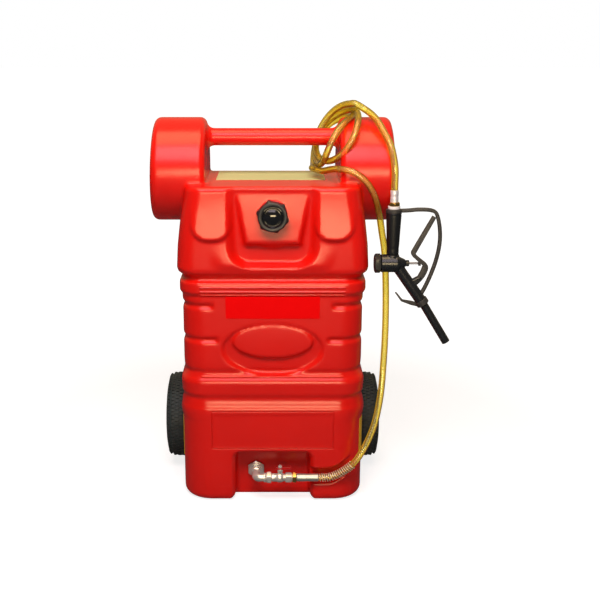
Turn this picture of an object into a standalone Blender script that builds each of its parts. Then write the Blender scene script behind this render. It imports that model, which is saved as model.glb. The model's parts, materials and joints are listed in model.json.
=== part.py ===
"""Wheeled fuel caddy: a moulded tank with a handle bar between two drums, a screw cap, an outlet valve,
a delivery hose looped round the bar, and a trigger nozzle.

Lengths are in metres. +Z is up, the front faces -Y, and the origin is the middle of the tank's footprint.
"""

import math

import bmesh
import bpy
from mathutils import Vector

# Clearances
SEAT_GAP = 0.0003
RUN_GAP = 0.0006
OVERRUN = 0.012

# Tank body
BODY_HEIGHT = 0.823
BODY_HALF_WIDTH = 0.238
BODY_DEPTH = 0.306
BODY_WALL = 0.006
SHOULDER_TAPER = 0.024
GROOVE_DEPTH = 0.008
WAIST_SETBACK = 0.011
CORNER_RADIUS = 0.075
BACK_CORNER_RADIUS = 0.030
TOP_EDGE_RADIUS = 0.012
FOOT_EDGE_RADIUS = 0.020

# Each level of the body: shares of height, taper, groove, side setback, front setback and corner radius
BODY_LEVEL_SHARES = (
    (0.0729, 0.00, 0.00, 0.45, 0.00, 1.00),
    (0.2697, 0.00, 0.00, 0.45, 0.00, 1.00),
    (0.2868, 0.00, 0.00, 0.15, 0.00, 1.00),
    (0.3038, 0.00, 0.00, 0.00, 0.00, 1.00),
    (0.3183, 0.00, 0.00, 0.12, 0.20, 0.97),
    (0.3530, 0.00, 0.25, 0.45, 0.60, 0.88),
    (0.3694, 0.00, 0.05, 0.34, 0.36, 0.82),
    (0.3937, 0.00, 0.00, 0.30, 0.30, 0.80),
    (0.4034, 0.00, 0.10, 0.40, 0.50, 0.80),
    (0.4125, 0.00, 0.30, 0.70, 0.85, 0.80),
    (0.4260, 0.00, 0.62, 0.86, 0.92, 0.80),
    (0.4399, 0.00, 0.10, 0.95, 0.98, 0.80),
    (0.4617, 0.00, 0.00, 0.97, 1.00, 0.80),
    (0.6075, 0.00, 0.00, 1.00, 1.00, 0.75),
    (0.6731, 0.00, 0.00, 0.95, 1.00, 0.70),
    (0.6804, 0.00, 0.00, 0.60, 0.60, 0.70),
    (0.6902, 0.00, 0.00, 0.42, 0.42, 0.70),
    (0.7169, 0.00, 0.08, 0.42, 0.42, 0.70),
    (0.7278, 0.00, 0.50, 0.50, 0.50, 0.68),
    (0.7363, 0.00, 0.90, 0.55, 0.60, 0.66),
    (0.7448, 0.00, 0.65, 0.35, 0.40, 0.64),
    (0.7533, 0.00, 0.15, 0.08, 0.10, 0.62),
    (0.7655, 0.00, 0.00, 0.00, 0.00, 0.60),
    (0.8202, 0.13, 0.00, 0.00, 0.00, 0.60),
    (0.8809, 0.38, 0.00, 0.00, 0.00, 0.60),
    (0.9234, 0.60, 0.00, 0.00, 0.00, 0.60),
    (0.9636, 0.83, 0.00, 0.00, 0.00, 0.60),
)
FRONT_CORNER_STEPS = 5
BACK_CORNER_STEPS = 2
EDGE_STEPS = 3

# Drums and handle bar
DRUM_RADIUS = 0.130
DRUM_INSET = 0.072
DRUM_OVERHANG = 0.068
DRUM_EDGE_RADIUS = 0.020
DRUM_DOME = 0.004
DRUM_RISE = 0.021
BAR_RADIUS = 0.022
BAR_RISE = 0.081
BAR_FLARE = 0.018
DRUM_STEPS = 28
BAR_STEPS = 16

# Upper front of the tank
RECESS_HALF_WIDTH = 0.114
RECESS_BOTTOM_HALF_WIDTH = 0.104
RECESS_FLOOR_DROP = 0.185
RECESS_HEAD_DROP = 0.020
RECESS_CORNER = 0.028
RECESS_DEPTH = 0.028
RECESS_HEAD_DEPTH = 0.007
RECESS_DRAFT = 0.012
PAD_TOP_DROP = 0.012
PAD_BOTTOM_DROP = 0.137
PAD_TOP_HALF_WIDTH = 0.088
PAD_BOTTOM_HALF_WIDTH = 0.064
PAD_TOP_SETBACK = 0.013
PAD_BOTTOM_SETBACK = 0.003
PAD_DRAFT = 0.010
LOBE_CENTRE = 0.158
LOBE_HALF_WIDTH = 0.043
LOBE_TOP_DROP = 0.030
LOBE_BOTTOM_DROP = 0.128
LOBE_RISE = 0.005
LOBE_DRAFT = 0.012

# Oval recess and its raised oval
OVAL_HEIGHT_SHARE = 0.5225
OVAL_HALF_WIDTH = 0.105
OVAL_HALF_HEIGHT = 0.047
OVAL_RECESS_DROP = 0.018
OVAL_RECESS_HALF_WIDTH = 0.131
OVAL_RECESS_HALF_HEIGHT = 0.068
OVAL_RECESS_DEPTH = 0.010
OVAL_STEPS = 28

# Short grooves that wrap the front corners
WRAP_GROOVE_HEIGHT_SHARES = (0.6367, 0.5298)
WRAP_GROOVE_STARTS = (0.150, 0.138)
WRAP_GROOVE_HALF_HEIGHT = 0.0085
WRAP_GROOVE_DEPTH = 0.006

# Lower front of the tank
PANEL_HALF_WIDTH = 0.155
PANEL_LOW_SHARE = 0.1798
PANEL_HIGH_SHARE = 0.2953
PANEL_DEPTH = 0.0012
NICHE_HALF_WIDTH = 0.106
NICHE_BACK_HALF_WIDTH = 0.093
NICHE_HEIGHT = 0.140
NICHE_DEPTH = 0.050
NICHE_CORNER = 0.022
CHANNEL_DEPTH = 0.017
CHANNEL_HALF_HEIGHT = 0.021

# Labels
LABEL_THICKNESS = 0.0006
FRONT_LABEL_HALF_WIDTH = 0.117
FRONT_LABEL_LOW_SHARE = 0.5990
FRONT_LABEL_HIGH_SHARE = 0.6725
TOP_LABEL_HALF_WIDTH = 0.137
TOP_LABEL_LEFT_SHIFT = 0.005
TOP_LABEL_FRONT = -0.033
TOP_LABEL_BACK = 0.125
SIDE_LABEL_LOW_SHARE = 0.1288
SIDE_LABEL_HIGH_SHARE = 0.2612
SIDE_LABEL_TURN = 30.0
SIDE_LABEL_STRAIGHT = 0.014
SIDE_LABEL_STEPS = 4

# Filler neck and cap
CAP_DROP = 0.069
BOSS_RADIUS = 0.041
BOSS_SETBACK = 0.001
NECK_RADIUS = 0.028
NECK_BORE_RADIUS = 0.023
NECK_LENGTH = 0.014
GASKET_THICKNESS = 0.0015
CAP_DISC_THICKNESS = 0.004
CAP_DISC_CROWN = 0.006
CAP_WINDOW_RADIUS = 0.0255
CAP_RING_RADIUS = 0.0345
CAP_LOBE_RISE = 0.0045
CAP_LOBES = 6
CAP_LOBE_STEPS = 5
CAP_LIP = 0.004
CAP_EDGE = 0.002

# Axle and wheels
AXLE_RADIUS = 0.008
AXLE_HEIGHT = 0.136
AXLE_INSET = 0.032
WHEEL_RADIUS = 0.1180
TYRE_WIDTH = 0.074
TYRE_OVERHANG = 0.0545
TYRE_SHOULDER = 0.024
TYRE_WALL = 0.008
TREAD_GROOVES = 2
TREAD_GROOVE_DEPTH = 0.004
TREAD_GROOVE_WIDTH = 0.006
WELL_GAP = 0.012
WELL_SIDE_GAP = 0.0085
RIM_SEAT_RADIUS = 0.0505
RIM_LIP = 0.008
RIM_HALF_WIDTH = 0.029
RIM_DROP = 0.007
RIM_SHEET = 0.003
HUB_RADIUS = 0.0205
HUB_HALF_LENGTH = 0.0285
BEARING_RADIUS = 0.0175
BEARING_WIDTH = 0.010
SPACER_RADIUS = 0.012
WASHER_RADIUS = 0.015
WASHER_THICKNESS = 0.002
PUSH_CAP_RADIUS = 0.012
PUSH_CAP_LENGTH = 0.007
PUSH_CAP_WALL = 0.002
AXLE_CLAMP_PLACE = 0.150
AXLE_CLAMP_WIDTH = 0.040
AXLE_CLAMP_PLATE = 0.003
AXLE_CLAMP_FLANGE = 0.026
SCREW_RADIUS = 0.0025
SCREW_HEAD_RADIUS = 0.005
SCREW_HEAD_HEIGHT = 0.003
SCREW_DEPTH = 0.004
WHEEL_STEPS = 24
RIM_STEPS = 18
MEDIUM_STEPS = 20
SMALL_STEPS = 16
TINY_STEPS = 12

# Outlet: bulkhead, elbow, valve and hose end
OUTLET_X = -0.0435
OUTLET_HEIGHT = 0.071
RUN_FORWARD = 0.007
FLOW_RADIUS = 0.006
BULKHEAD_TAIL_RADIUS = 0.0105
BULKHEAD_TAIL = 0.014
BULKHEAD_HEX = 0.0205
BULKHEAD_HEX_THICKNESS = 0.007
BULKHEAD_HUB_RADIUS = 0.0135
BULKHEAD_HUB = 0.008
BULKHEAD_GASKET = 0.002
BULKHEAD_NUT_HEX = 0.017
BULKHEAD_NUT_THICKNESS = 0.007
ELBOW_RADIUS = 0.0100
ELBOW_BEAD_RADIUS = 0.0120
ELBOW_BEAD = 0.007
ELBOW_BEND = 0.011
ELBOW_BEND_STEPS = 2
UNION_START = -0.016
UNION_LENGTH = 0.0125
UNION_HEX = 0.0140
VALVE_LENGTH = 0.032
VALVE_RADIUS = 0.0125
VALVE_END_RADIUS = 0.0105
VALVE_STEM_PLACE = 0.0190
BALL_RADIUS = 0.0085
STEM_RADIUS = 0.0030
STEM_BOSS_RADIUS = 0.0060
STEM_BOSS_RISE = 0.0175
GLAND_NUT_HEX = 0.0068
GLAND_NUT_HEIGHT = 0.006
LEVER_THICKNESS = 0.003
LEVER_WIDTH = 0.012
LEVER_REACH = 0.029
LEVER_TAIL = 0.012
LEVER_TAB = 0.007
LEVER_NUT_HEX = 0.0050
LEVER_NUT_HEIGHT = 0.005
STEM_TIP = 0.002
NIPPLE_LENGTH = 0.0215
NIPPLE_HEX = 0.0125
SWIVEL_LENGTH = 0.010
SWIVEL_HEX = 0.0128
FERRULE_LENGTH = 0.057
FERRULE_RADIUS = 0.0100
FERRULE_GROOVE = 0.0008

# Hose
HOSE_RADIUS = 0.0085
HOSE_POINT_SPACING = 0.034
GUARD_LENGTH = 0.098
GUARD_WIRE_RADIUS = 0.0008
GUARD_TURNS = 12
GUARD_TURN_STEPS = 8

# Nozzle
NOZZLE_INSET = 0.010
NOZZLE_GAP = 0.010
NOZZLE_DROP = 0.0335
UPPER_FERRULE_LENGTH = 0.029
INLET_NUT_LENGTH = 0.009
INLET_NUT_HEX = 0.0115
SEAL_RING_LENGTH = 0.007
SEAL_RING_RADIUS = 0.0150
GRIP_TOP_RADIUS = 0.0195
GRIP_BOTTOM_RADIUS = 0.0145
INLET_RADIUS = 0.0105
INLET_BORE_RADIUS = 0.0065
GUARD_EYE_HEIGHT = 0.008
INLET_TUBE_LENGTH = 0.1356
HOUSING_RADIUS = 0.0225
HOUSING_LEFT = 0.028
HOUSING_RIGHT = 0.015
CHAMBER_RADIUS = 0.0150
CHAMBER_RIGHT = 0.002
PASSAGE_RADIUS = 0.0080
PASSAGE_RIGHT = 0.022
CONE_LENGTH = 0.018
CONE_TOP_RADIUS = 0.0090
GLAND_HEX = 0.0070
GLAND_LENGTH = 0.008
ROD_RADIUS = 0.0030
ROD_END = 0.0640
END_CAP_HEX = 0.0215
END_CAP_LENGTH = 0.0165
END_CAP_PLUG = 0.004
POPPET_RADIUS = 0.0115
POPPET_THICKNESS = 0.005
SPRING_WIRE_RADIUS = 0.0008
SPRING_RADIUS = 0.0085
SPRING_TURNS = 4
HOLDER_RADIUS = 0.0145
HOLDER_START_X = 0.004
HOLDER_START_Z = 0.001
HOLDER_ANGLE = 54.8
HOLDER_LENGTH = 0.130
HOLDER_BORE_RADIUS = 0.0108
SPOUT_RADIUS = 0.0103
SPOUT_WALL = 0.0013
SPOUT_INSERT = 0.018
SPOUT_ANGLE = 60.0
SPOUT_LENGTH = 0.116
TRIGGER_HALF_WIDTH = 0.0055
TRIGGER_EYE_RADIUS = 0.0065
PIN_RADIUS = 0.0025
EAR_THICKNESS = 0.0035
PIVOT_X = 0.067
PIVOT_DROP = 0.040
GUARD_HALF_WIDTH = 0.0060
STRAP_HALF_THICKNESS = 0.0042
HOOK_HALF_WIDTH = 0.0040
HOOK_COLLAR_WALL = 0.0022
HOOK_COLLAR_LENGTH = 0.014
HOOK_REACH = 0.038
HOOK_RISE = 0.012
HOOK_TIP_REACH = 0.016
HOOK_TIP_RISE = 0.020
TRIGGER_HEIGHT = 0.155
TRIGGER_REACH = 0.029
TRIGGER_THICKNESS = 0.0060
GUARD_REACH = 0.116
GUARD_ROOT_SHARE = 0.75
GUARD_FOOT_SHARE = 0.85

# The guard's bow, as shares of its reach beyond its foot and of its height above the foot
GUARD_BOW_SHARES = (
    (-1.05, 1.010),
    (-0.50, 1.022),
    (0.20, 1.020),
    (0.58, 0.985),
    (0.76, 0.935),
    (0.93, 0.810),
    (1.00, 0.680),
    (0.96, 0.540),
    (0.80, 0.380),
    (0.52, 0.215),
    (0.20, 0.080),
)

# The trigger's middle line from its pivot, as shares of its reach, its height and its thickness
TRIGGER_SHARES = (
    (0.00, -0.010, 0.80),
    (0.27, 0.050, 0.90),
    (0.50, 0.130, 1.00),
    (0.60, 0.190, 1.00),
    (0.48, 0.240, 0.90),
    (-0.30, 0.350, 0.80),
    (-0.58, 0.415, 0.90),
    (-0.43, 0.490, 0.90),
    (0.37, 0.765, 0.75),
    (1.04, 0.995, 0.60),
)

# Places that follow from the sizes above
FRONT = -BODY_DEPTH / 2
BACK = BODY_DEPTH / 2
DRUM_Y = BACK - DRUM_RADIUS
DRUM_Z = BODY_HEIGHT + DRUM_RISE
DRUM_INNER_FACE = BODY_HALF_WIDTH - DRUM_INSET
DRUM_OUTER_FACE = BODY_HALF_WIDTH + DRUM_OVERHANG
BAR_Z = DRUM_Z + BAR_RISE
CAP_Z = BODY_HEIGHT - CAP_DROP
BOSS_Y = FRONT + BOSS_SETBACK
NECK_END = BOSS_Y - NECK_LENGTH
AXLE_Y = BACK - AXLE_INSET
TYRE_OUTER_FACE = BODY_HALF_WIDTH + TYRE_OVERHANG
WHEEL_X = TYRE_OUTER_FACE - TYRE_WIDTH / 2
WELL_INNER = TYRE_OUTER_FACE - TYRE_WIDTH - WELL_SIDE_GAP
AXLE_END = WHEEL_X + HUB_HALF_LENGTH + RUN_GAP + WASHER_THICKNESS + PUSH_CAP_LENGTH
NICHE_Y = FRONT + NICHE_DEPTH
RUN_Y = FRONT - RUN_FORWARD
WAIST_FRONT = FRONT + WAIST_SETBACK
UPPER_FRONT_INSET = RECESS_DEPTH + BODY_WALL
SMOOTH_ANGLE = math.radians(35)
OVAL_HEIGHT = BODY_HEIGHT * OVAL_HEIGHT_SHARE
OVAL_RECESS_HEIGHT = OVAL_HEIGHT - OVAL_RECESS_DROP
WRAP_GROOVE_HEIGHTS = [BODY_HEIGHT * share for share in WRAP_GROOVE_HEIGHT_SHARES]
NOZZLE_X = DRUM_OUTER_FACE - NOZZLE_INSET
NOZZLE_Y = DRUM_Y - DRUM_RADIUS - NOZZLE_GAP
NOZZLE_TOP = DRUM_Z - NOZZLE_DROP
TUBE_TOP = NOZZLE_TOP - UPPER_FERRULE_LENGTH - INLET_NUT_LENGTH - SEAL_RING_LENGTH - 3 * SEAT_GAP
HOUSING_HEIGHT = TUBE_TOP - INLET_TUBE_LENGTH
PIVOT_Z = HOUSING_HEIGHT - PIVOT_DROP

# The bodies with many crossing cuts
MUCH_CUT = ("tank_shell", "nozzle_body", "valve_body")

# The hose's coil: its middle, two half axes and a bow, each with its change in a turn, in metres
COIL_FROM_DRUM = Vector((-0.041, 0.002, 0.0815))
COIL_MIDDLE = Vector((DRUM_INNER_FACE, DRUM_Y, DRUM_Z)) + COIL_FROM_DRUM
COIL_MIDDLE_DRIFT = Vector((0.017, -0.019, 0.012))
COIL_RISE = Vector((0.055, 0.020, 0.067))
COIL_RISE_DRIFT = Vector((-0.009, -0.002, 0.003))
COIL_SIDE = Vector((-0.007, -0.088, 0.003))
COIL_SIDE_DRIFT = Vector((0.025, -0.001, 0.000))
COIL_BOW = Vector((0.015, -0.001, -0.011))
COIL_BOW_DRIFT = Vector((-0.008, 0.000, 0.005))
COIL_TURNS = 2.5
COIL_TURN_STEPS = 24

# The hose's route across the right foot: share of the tank's half width, back from its front, height
FOOT_ROUTE = (
    (0.57353, -0.0070, 0.0710),
    (0.65126, -0.0072, 0.0745),
    (0.75630, -0.0075, 0.0880),
    (0.87815, -0.0080, 0.1120),
)

# Its route up the side: out from the tank's side, back from its front, share of its height
SIDE_ROUTE = (
    (-0.0080, -0.0020, 0.17254),
    (0.0090, 0.0100, 0.20778),
    (0.0240, 0.0260, 0.24787),
    (0.0350, 0.0440, 0.29405),
    (0.0430, 0.0600, 0.34872),
    (0.0480, 0.0750, 0.41798),
    (0.0520, 0.0890, 0.51762),
    (0.0520, 0.0960, 0.62940),
    (0.0485, 0.0990, 0.73390),
    (0.0440, 0.0980, 0.79465),
)

# Its route over the shoulder to the coil, from the middle of the right drum's outer face
SHOULDER_ROUTE = (
    (-0.0320, -0.0850, -0.1480),
    (-0.0420, -0.1020, -0.0970),
    (-0.0560, -0.1310, -0.0520),
    (-0.0770, -0.1470, -0.0160),
    (-0.1040, -0.1490, 0.0080),
    (-0.1280, -0.1410, 0.0160),
    (-0.1500, -0.1230, 0.0160),
    (-0.1700, -0.0980, 0.0110),
    (-0.1950, -0.0710, 0.0040),
)

# Its route from the coil over the right drum and down to the nozzle, from the same middle
UPPER_ROUTE = (
    (-0.0800, -0.0420, 0.1740),
    (-0.0600, -0.0630, 0.1570),
    (-0.0460, -0.0880, 0.1360),
    (-0.0330, -0.1100, 0.1070),
    (-0.0225, -0.1260, 0.0770),
    (-0.0150, -0.1350, 0.0480),
    (-0.0105, -0.1395, 0.0180),
)


def clear_scene():
    for old in list(bpy.data.objects):
        bpy.data.objects.remove(old, do_unlink=True)


def finish(name, colour, roughness, metallic=0.0, alpha=1.0):
    """The look of one piece."""
    material = bpy.data.materials.new(name)
    material.use_nodes = True
    shader = material.node_tree.nodes["Principled BSDF"]
    shader.inputs["Base Color"].default_value = (*colour, 1.0)
    shader.inputs["Roughness"].default_value = roughness
    shader.inputs["Metallic"].default_value = metallic
    shader.inputs["Alpha"].default_value = alpha
    material.diffuse_color = (*colour, 1.0)
    return material


RED_PLASTIC = ((0.62, 0.030, 0.020), 0.38, 0.0)
RED_PAINT = ((0.45, 0.010, 0.010), 0.35, 0.0)
RED_FILM = ((0.80, 0.010, 0.015), 0.25, 0.0)
YELLOW_FILM = ((0.78, 0.66, 0.18), 0.35, 0.0)
BLACK_PLASTIC = ((0.025, 0.027, 0.028), 0.40, 0.0)
GLOSS_BLACK = ((0.010, 0.011, 0.012), 0.12, 0.0)
RUBBER = ((0.020, 0.024, 0.024), 0.75, 0.0)
STEEL = ((0.62, 0.61, 0.56), 0.28, 1.0)
BRASS = ((0.80, 0.55, 0.20), 0.30, 1.0)
HOSE_YELLOW = ((0.62, 0.45, 0.02), 0.20, 0.0)
WHITE_NYLON = ((0.80, 0.80, 0.77), 0.40, 0.0)


def mesh_of(name, points, faces):
    """A mesh with its faces turned outwards."""
    shape = bmesh.new()
    corners = [shape.verts.new(point) for point in points]
    for face in faces:
        shape.faces.new([corners[index] for index in face])
    bmesh.ops.recalc_face_normals(shape, faces=shape.faces)
    mesh = bpy.data.meshes.new(name)
    shape.to_mesh(mesh)
    shape.free()
    mesh.shade_smooth()
    mesh.set_sharp_from_angle(angle=SMOOTH_ANGLE)
    return mesh


def placed(name, mesh, look, place=(0, 0, 0), pointing=None, parent=None):
    """An object of this mesh. Pointing turns its own Z axis to that direction."""
    thing = bpy.data.objects.new(name, mesh)
    bpy.context.scene.collection.objects.link(thing)
    if look is not None:
        mesh.materials.append(finish(name, *look))
    thing.location = place
    if pointing is not None:
        thing.rotation_euler = Vector(pointing).to_track_quat("Z", "Y").to_euler()
    if parent is not None:
        thing.parent = parent
        thing.matrix_parent_inverse = parent.matrix_world.inverted()
    return thing


def pivot(name, place):
    """An empty on a joint's axis, which carries the pieces that turn about it."""
    marker = bpy.data.objects.new(name, None)
    bpy.context.scene.collection.objects.link(marker)
    marker.location = place
    bpy.context.view_layer.update()
    return marker


def cutter(thing):
    thing.hide_render = True
    thing.display_type = "WIRE"
    return thing


def combine(target, other, operation):
    step = target.modifiers.new(other.name, "BOOLEAN")
    step.operation = operation
    step.solver = "MANIFOLD" if target.name in MUCH_CUT else "EXACT"
    step.object = cutter(other)


def cut(target, other):
    combine(target, other, "DIFFERENCE")


def unite(target, other):
    combine(target, other, "UNION")


def turned(name, outline, steps, lobes=0, lobe_rise=0.0, phase=0.0):
    """A solid turned about Z. The outline of (radius, height) runs from axis to axis or is a loop.
    A third entry of True lets the lobes push that point out. The phase turns it by a share of a step."""
    open_ended = outline[0][0] == 0 and outline[-1][0] == 0
    inner = outline[1:-1] if open_ended else outline
    points = []
    for step in range(steps):
        angle = 2 * math.pi * (step + phase) / steps
        swell = lobe_rise * (0.5 + 0.5 * math.cos(lobes * angle)) ** 0.7 if lobes else 0.0
        for station in inner:
            radius = station[0] + (swell if len(station) > 2 and station[2] else 0.0)
            points.append((radius * math.cos(angle), radius * math.sin(angle), station[1]))
    count = len(inner)
    faces = []
    rungs = count - 1 if open_ended else count
    for step in range(steps):
        this, after = step * count, (step + 1) % steps * count
        for rung in range(rungs):
            low, high = rung, (rung + 1) % count
            faces.append((this + low, after + low, after + high, this + high))
    if open_ended:
        for station, rung in ((outline[0], 0), (outline[-1], count - 1)):
            points.append((0, 0, station[1]))
            for step in range(steps):
                faces.append((step * count + rung, (step + 1) % steps * count + rung, len(points) - 1))
    return mesh_of(name, points, faces)


def rod(radius, low, high):
    return [(0, low), (radius, low), (radius, high), (0, high)]


def sleeve(inner, outer, low, high):
    return [(inner, low), (outer, low), (outer, high), (inner, high)]


def hexed(half_flats):
    """The corner radius of a hexagon with this half width across its flats."""
    return half_flats / math.cos(math.pi / 6)


def arc(centre_u, centre_v, radius, start, end, steps):
    """Points on an arc, from one angle to another in degrees."""
    return [
        (
            centre_u + radius * math.cos(math.radians(start + (end - start) * step / steps)),
            centre_v + radius * math.sin(math.radians(start + (end - start) * step / steps)),
        )
        for step in range(steps + 1)
    ]


def stacked(name, rings):
    """A closed solid through rings of as many points each, capped at both ends."""
    count = len(rings[0])
    points = [point for ring in rings for point in ring]
    faces = [tuple(range(count)), tuple(range(len(points) - count, len(points)))]
    for level in range(len(rings) - 1):
        for index in range(count):
            after = (index + 1) % count
            base, over = level * count, (level + 1) * count
            faces.append((base + index, base + after, over + after, over + index))
    return mesh_of(name, points, faces)


def plate(name, outline, low, high, plane="XZ"):
    """A plate of this outline: in XZ it is thick along Y, in YZ along X, in XY along Z."""
    turn = {
        "XZ": lambda u, v, w: (u, w, v),
        "YZ": lambda u, v, w: (w, u, v),
        "XY": lambda u, v, w: (u, v, w),
    }[plane]
    return stacked(name, [[turn(u, v, w) for u, v in outline] for w in (low, high)])


def box_outline(left, right, low, high):
    return [(left, low), (right, low), (right, high), (left, high)]


def strap_outline(stations):
    """The outline of a bar along these stations of (x, z, half width)."""
    left, right = [], []
    for index, (x, z, half) in enumerate(stations):
        before = stations[max(index - 1, 0)]
        after = stations[min(index + 1, len(stations) - 1)]
        run_x, run_z = after[0] - before[0], after[1] - before[1]
        length = math.hypot(run_x, run_z)
        left.append((x - half * run_z / length, z + half * run_x / length))
        right.append((x + half * run_z / length, z - half * run_x / length))
    return left + right[::-1]


def smooth_path(points, spacing):
    """Points about this far apart on a smooth curve through the given ones."""
    knots = [Vector(point) for point in points]
    ends = [2 * knots[0] - knots[1]] + knots + [2 * knots[-1] - knots[-2]]
    dense = []
    fine_steps = 12
    for index in range(1, len(ends) - 2):
        p0, p1, p2, p3 = ends[index - 1 : index + 3]
        for step in range(fine_steps):
            share = step / fine_steps
            dense.append(
                0.5
                * (
                    2 * p1
                    + (p2 - p0) * share
                    + (2 * p0 - 5 * p1 + 4 * p2 - p3) * share**2
                    + (3 * p1 - p0 - 3 * p2 + p3) * share**3
                )
            )
    dense.append(knots[-1])
    lengths = [0.0]
    for before, after in zip(dense, dense[1:]):
        lengths.append(lengths[-1] + (after - before).length)
    count = max(round(lengths[-1] / spacing), 1)
    path = []
    for step in range(count + 1):
        wanted = lengths[-1] * step / count
        place = next(index for index in range(1, len(lengths)) if lengths[index] >= wanted - spacing / 1000)
        span = lengths[place] - lengths[place - 1]
        share = min(max((wanted - lengths[place - 1]) / span, 0.0), 1.0)
        path.append(dense[place - 1].lerp(dense[place], share))
    return path


def tube(name, path, radius, resolution, look):
    """A round solid along a path, as a curve with filled ends."""
    curve = bpy.data.curves.new(name, "CURVE")
    curve.dimensions = "3D"
    line = curve.splines.new("POLY")
    line.points.add(len(path) - 1)
    for point, place in zip(line.points, path):
        point.co = (*place, 1.0)
    curve.bevel_depth = radius
    curve.bevel_resolution = resolution
    curve.use_fill_caps = True
    line.use_smooth = True
    curve.materials.append(finish(name, *look))
    thing = bpy.data.objects.new(name, curve)
    bpy.context.scene.collection.objects.link(thing)
    return thing


def piped(name, path, outer_radii, inner, steps, side):
    """A hollow pipe along a path in the plane that this side direction is square to, open at both ends."""
    rings = []
    for radii in (outer_radii, [inner] * len(path)):
        for index, place in enumerate(path):
            before, after = path[max(index - 1, 0)], path[min(index + 1, len(path) - 1)]
            run = (after - before).normalized()
            up = run.cross(side)
            ring = []
            for step in range(steps):
                angle = 2 * math.pi * step / steps
                ring.append(place + radii[index] * (math.cos(angle) * side + math.sin(angle) * up))
            rings.append(ring)
    half = len(path)
    order = list(range(half)) + list(range(2 * half - 1, half - 1, -1))
    points = [point for index in order for point in rings[index]]
    faces = []
    for level in range(2 * half):
        base, over = level * steps, (level + 1) % (2 * half) * steps
        for index in range(steps):
            after = (index + 1) % steps
            faces.append((base + index, base + after, over + after, over + index))
    return mesh_of(name, points, faces)


def body_ring(half_width, front, back, radius, back_radius, height, front_steps, back_steps):
    """One level of the body: a rectangle with round corners, wider ones at the front."""
    right = arc(half_width - back_radius, back - back_radius, back_radius, 90, 0, back_steps)
    right += arc(half_width - radius, front + radius, radius, 0, -90, front_steps)
    left = [(-x, y) for x, y in reversed(right)]
    return [(x, y, height) for x, y in right + left]


def body_level(shares):
    """The half width, front, back, corner radius and height of one named level."""
    height, taper, groove, side, front, corner = shares
    cut_in = groove * GROOVE_DEPTH
    return (
        BODY_HALF_WIDTH - taper * SHOULDER_TAPER - cut_in - side * WAIST_SETBACK,
        FRONT + cut_in + front * WAIST_SETBACK,
        BACK - cut_in,
        corner * CORNER_RADIUS,
        height * BODY_HEIGHT,
    )


def tank_body():
    """The body's outer shape, from the rounded foot to the rounded top edge."""
    levels = [body_level(shares) for shares in BODY_LEVEL_SHARES]
    foot, head = levels[0], levels[-1]
    rings = []
    for step in range(EDGE_STEPS + 1):
        angle = math.pi / 2 * step / EDGE_STEPS
        inset = FOOT_EDGE_RADIUS * (1 - math.sin(angle))
        height = FOOT_EDGE_RADIUS * (1 - math.cos(angle))
        rings.append((foot[0] - inset, foot[1] + inset, foot[2] - inset, foot[3] - inset, height))
    rings += levels
    for step in range(EDGE_STEPS + 1):
        angle = math.pi / 2 * step / EDGE_STEPS
        inset = TOP_EDGE_RADIUS * (1 - math.cos(angle))
        height = BODY_HEIGHT - TOP_EDGE_RADIUS * (1 - math.sin(angle))
        half_width = BODY_HALF_WIDTH - SHOULDER_TAPER - inset
        rings.append((half_width, head[1] + inset, head[2] - inset, head[3] - inset, height))
    return stacked(
        "tank_shell",
        [
            body_ring(half, front, back, radius, min(BACK_CORNER_RADIUS, radius), height,
                      FRONT_CORNER_STEPS, BACK_CORNER_STEPS)
            for half, front, back, radius, height in rings
        ],
    )


def drum_outline(shrink):
    """One drum from its inner face to its slightly domed outer end, less a wall."""
    edge = DRUM_EDGE_RADIUS - min(shrink, DRUM_EDGE_RADIUS / 2)
    radius = DRUM_RADIUS - shrink
    low, high = DRUM_INNER_FACE + shrink, DRUM_OUTER_FACE - shrink
    steps = EDGE_STEPS if shrink == 0 else 1
    inner = [(r, h) for h, r in arc(low + edge, radius - edge, edge, 180, 90, steps)]
    outer = [(r, h) for h, r in arc(high - edge, radius - edge, edge, 90, 0, steps)]
    return [(0, low), *inner, *outer, (0, high + DRUM_DOME)]


def handle_bar():
    """The round bar, flared where it meets the drums."""
    foot = DRUM_INNER_FACE + DRUM_EDGE_RADIUS / 2
    spread = []
    for step in range(EDGE_STEPS + 1):
        angle = math.pi / 2 * step / EDGE_STEPS
        radius = BAR_RADIUS + BAR_FLARE * (1 - math.sin(angle))
        spread.append((radius, DRUM_INNER_FACE - BAR_FLARE * (1 - math.cos(angle))))
    outline = [(0, foot), (spread[0][0], foot), *spread]
    outline += [(radius, -height) for radius, height in reversed(outline)]
    mesh = turned("handle_bar", outline, BAR_STEPS)
    return placed("handle_bar", mesh, None, (0, DRUM_Y, BAR_Z), (1, 0, 0))


def recess_outline(grow):
    """The U-shaped recess round the filler pad, seen from the front."""
    top = BODY_HEIGHT - RECESS_HEAD_DROP
    low = BODY_HEIGHT - RECESS_FLOOR_DROP - grow
    half, low_half = RECESS_HALF_WIDTH + grow, RECESS_BOTTOM_HALF_WIDTH + grow
    corner = arc(low_half - RECESS_CORNER, low + RECESS_CORNER, RECESS_CORNER, 0, -90, 4)
    right = [(half, top)] + corner
    return right + [(-x, z) for x, z in reversed(right)]


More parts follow.
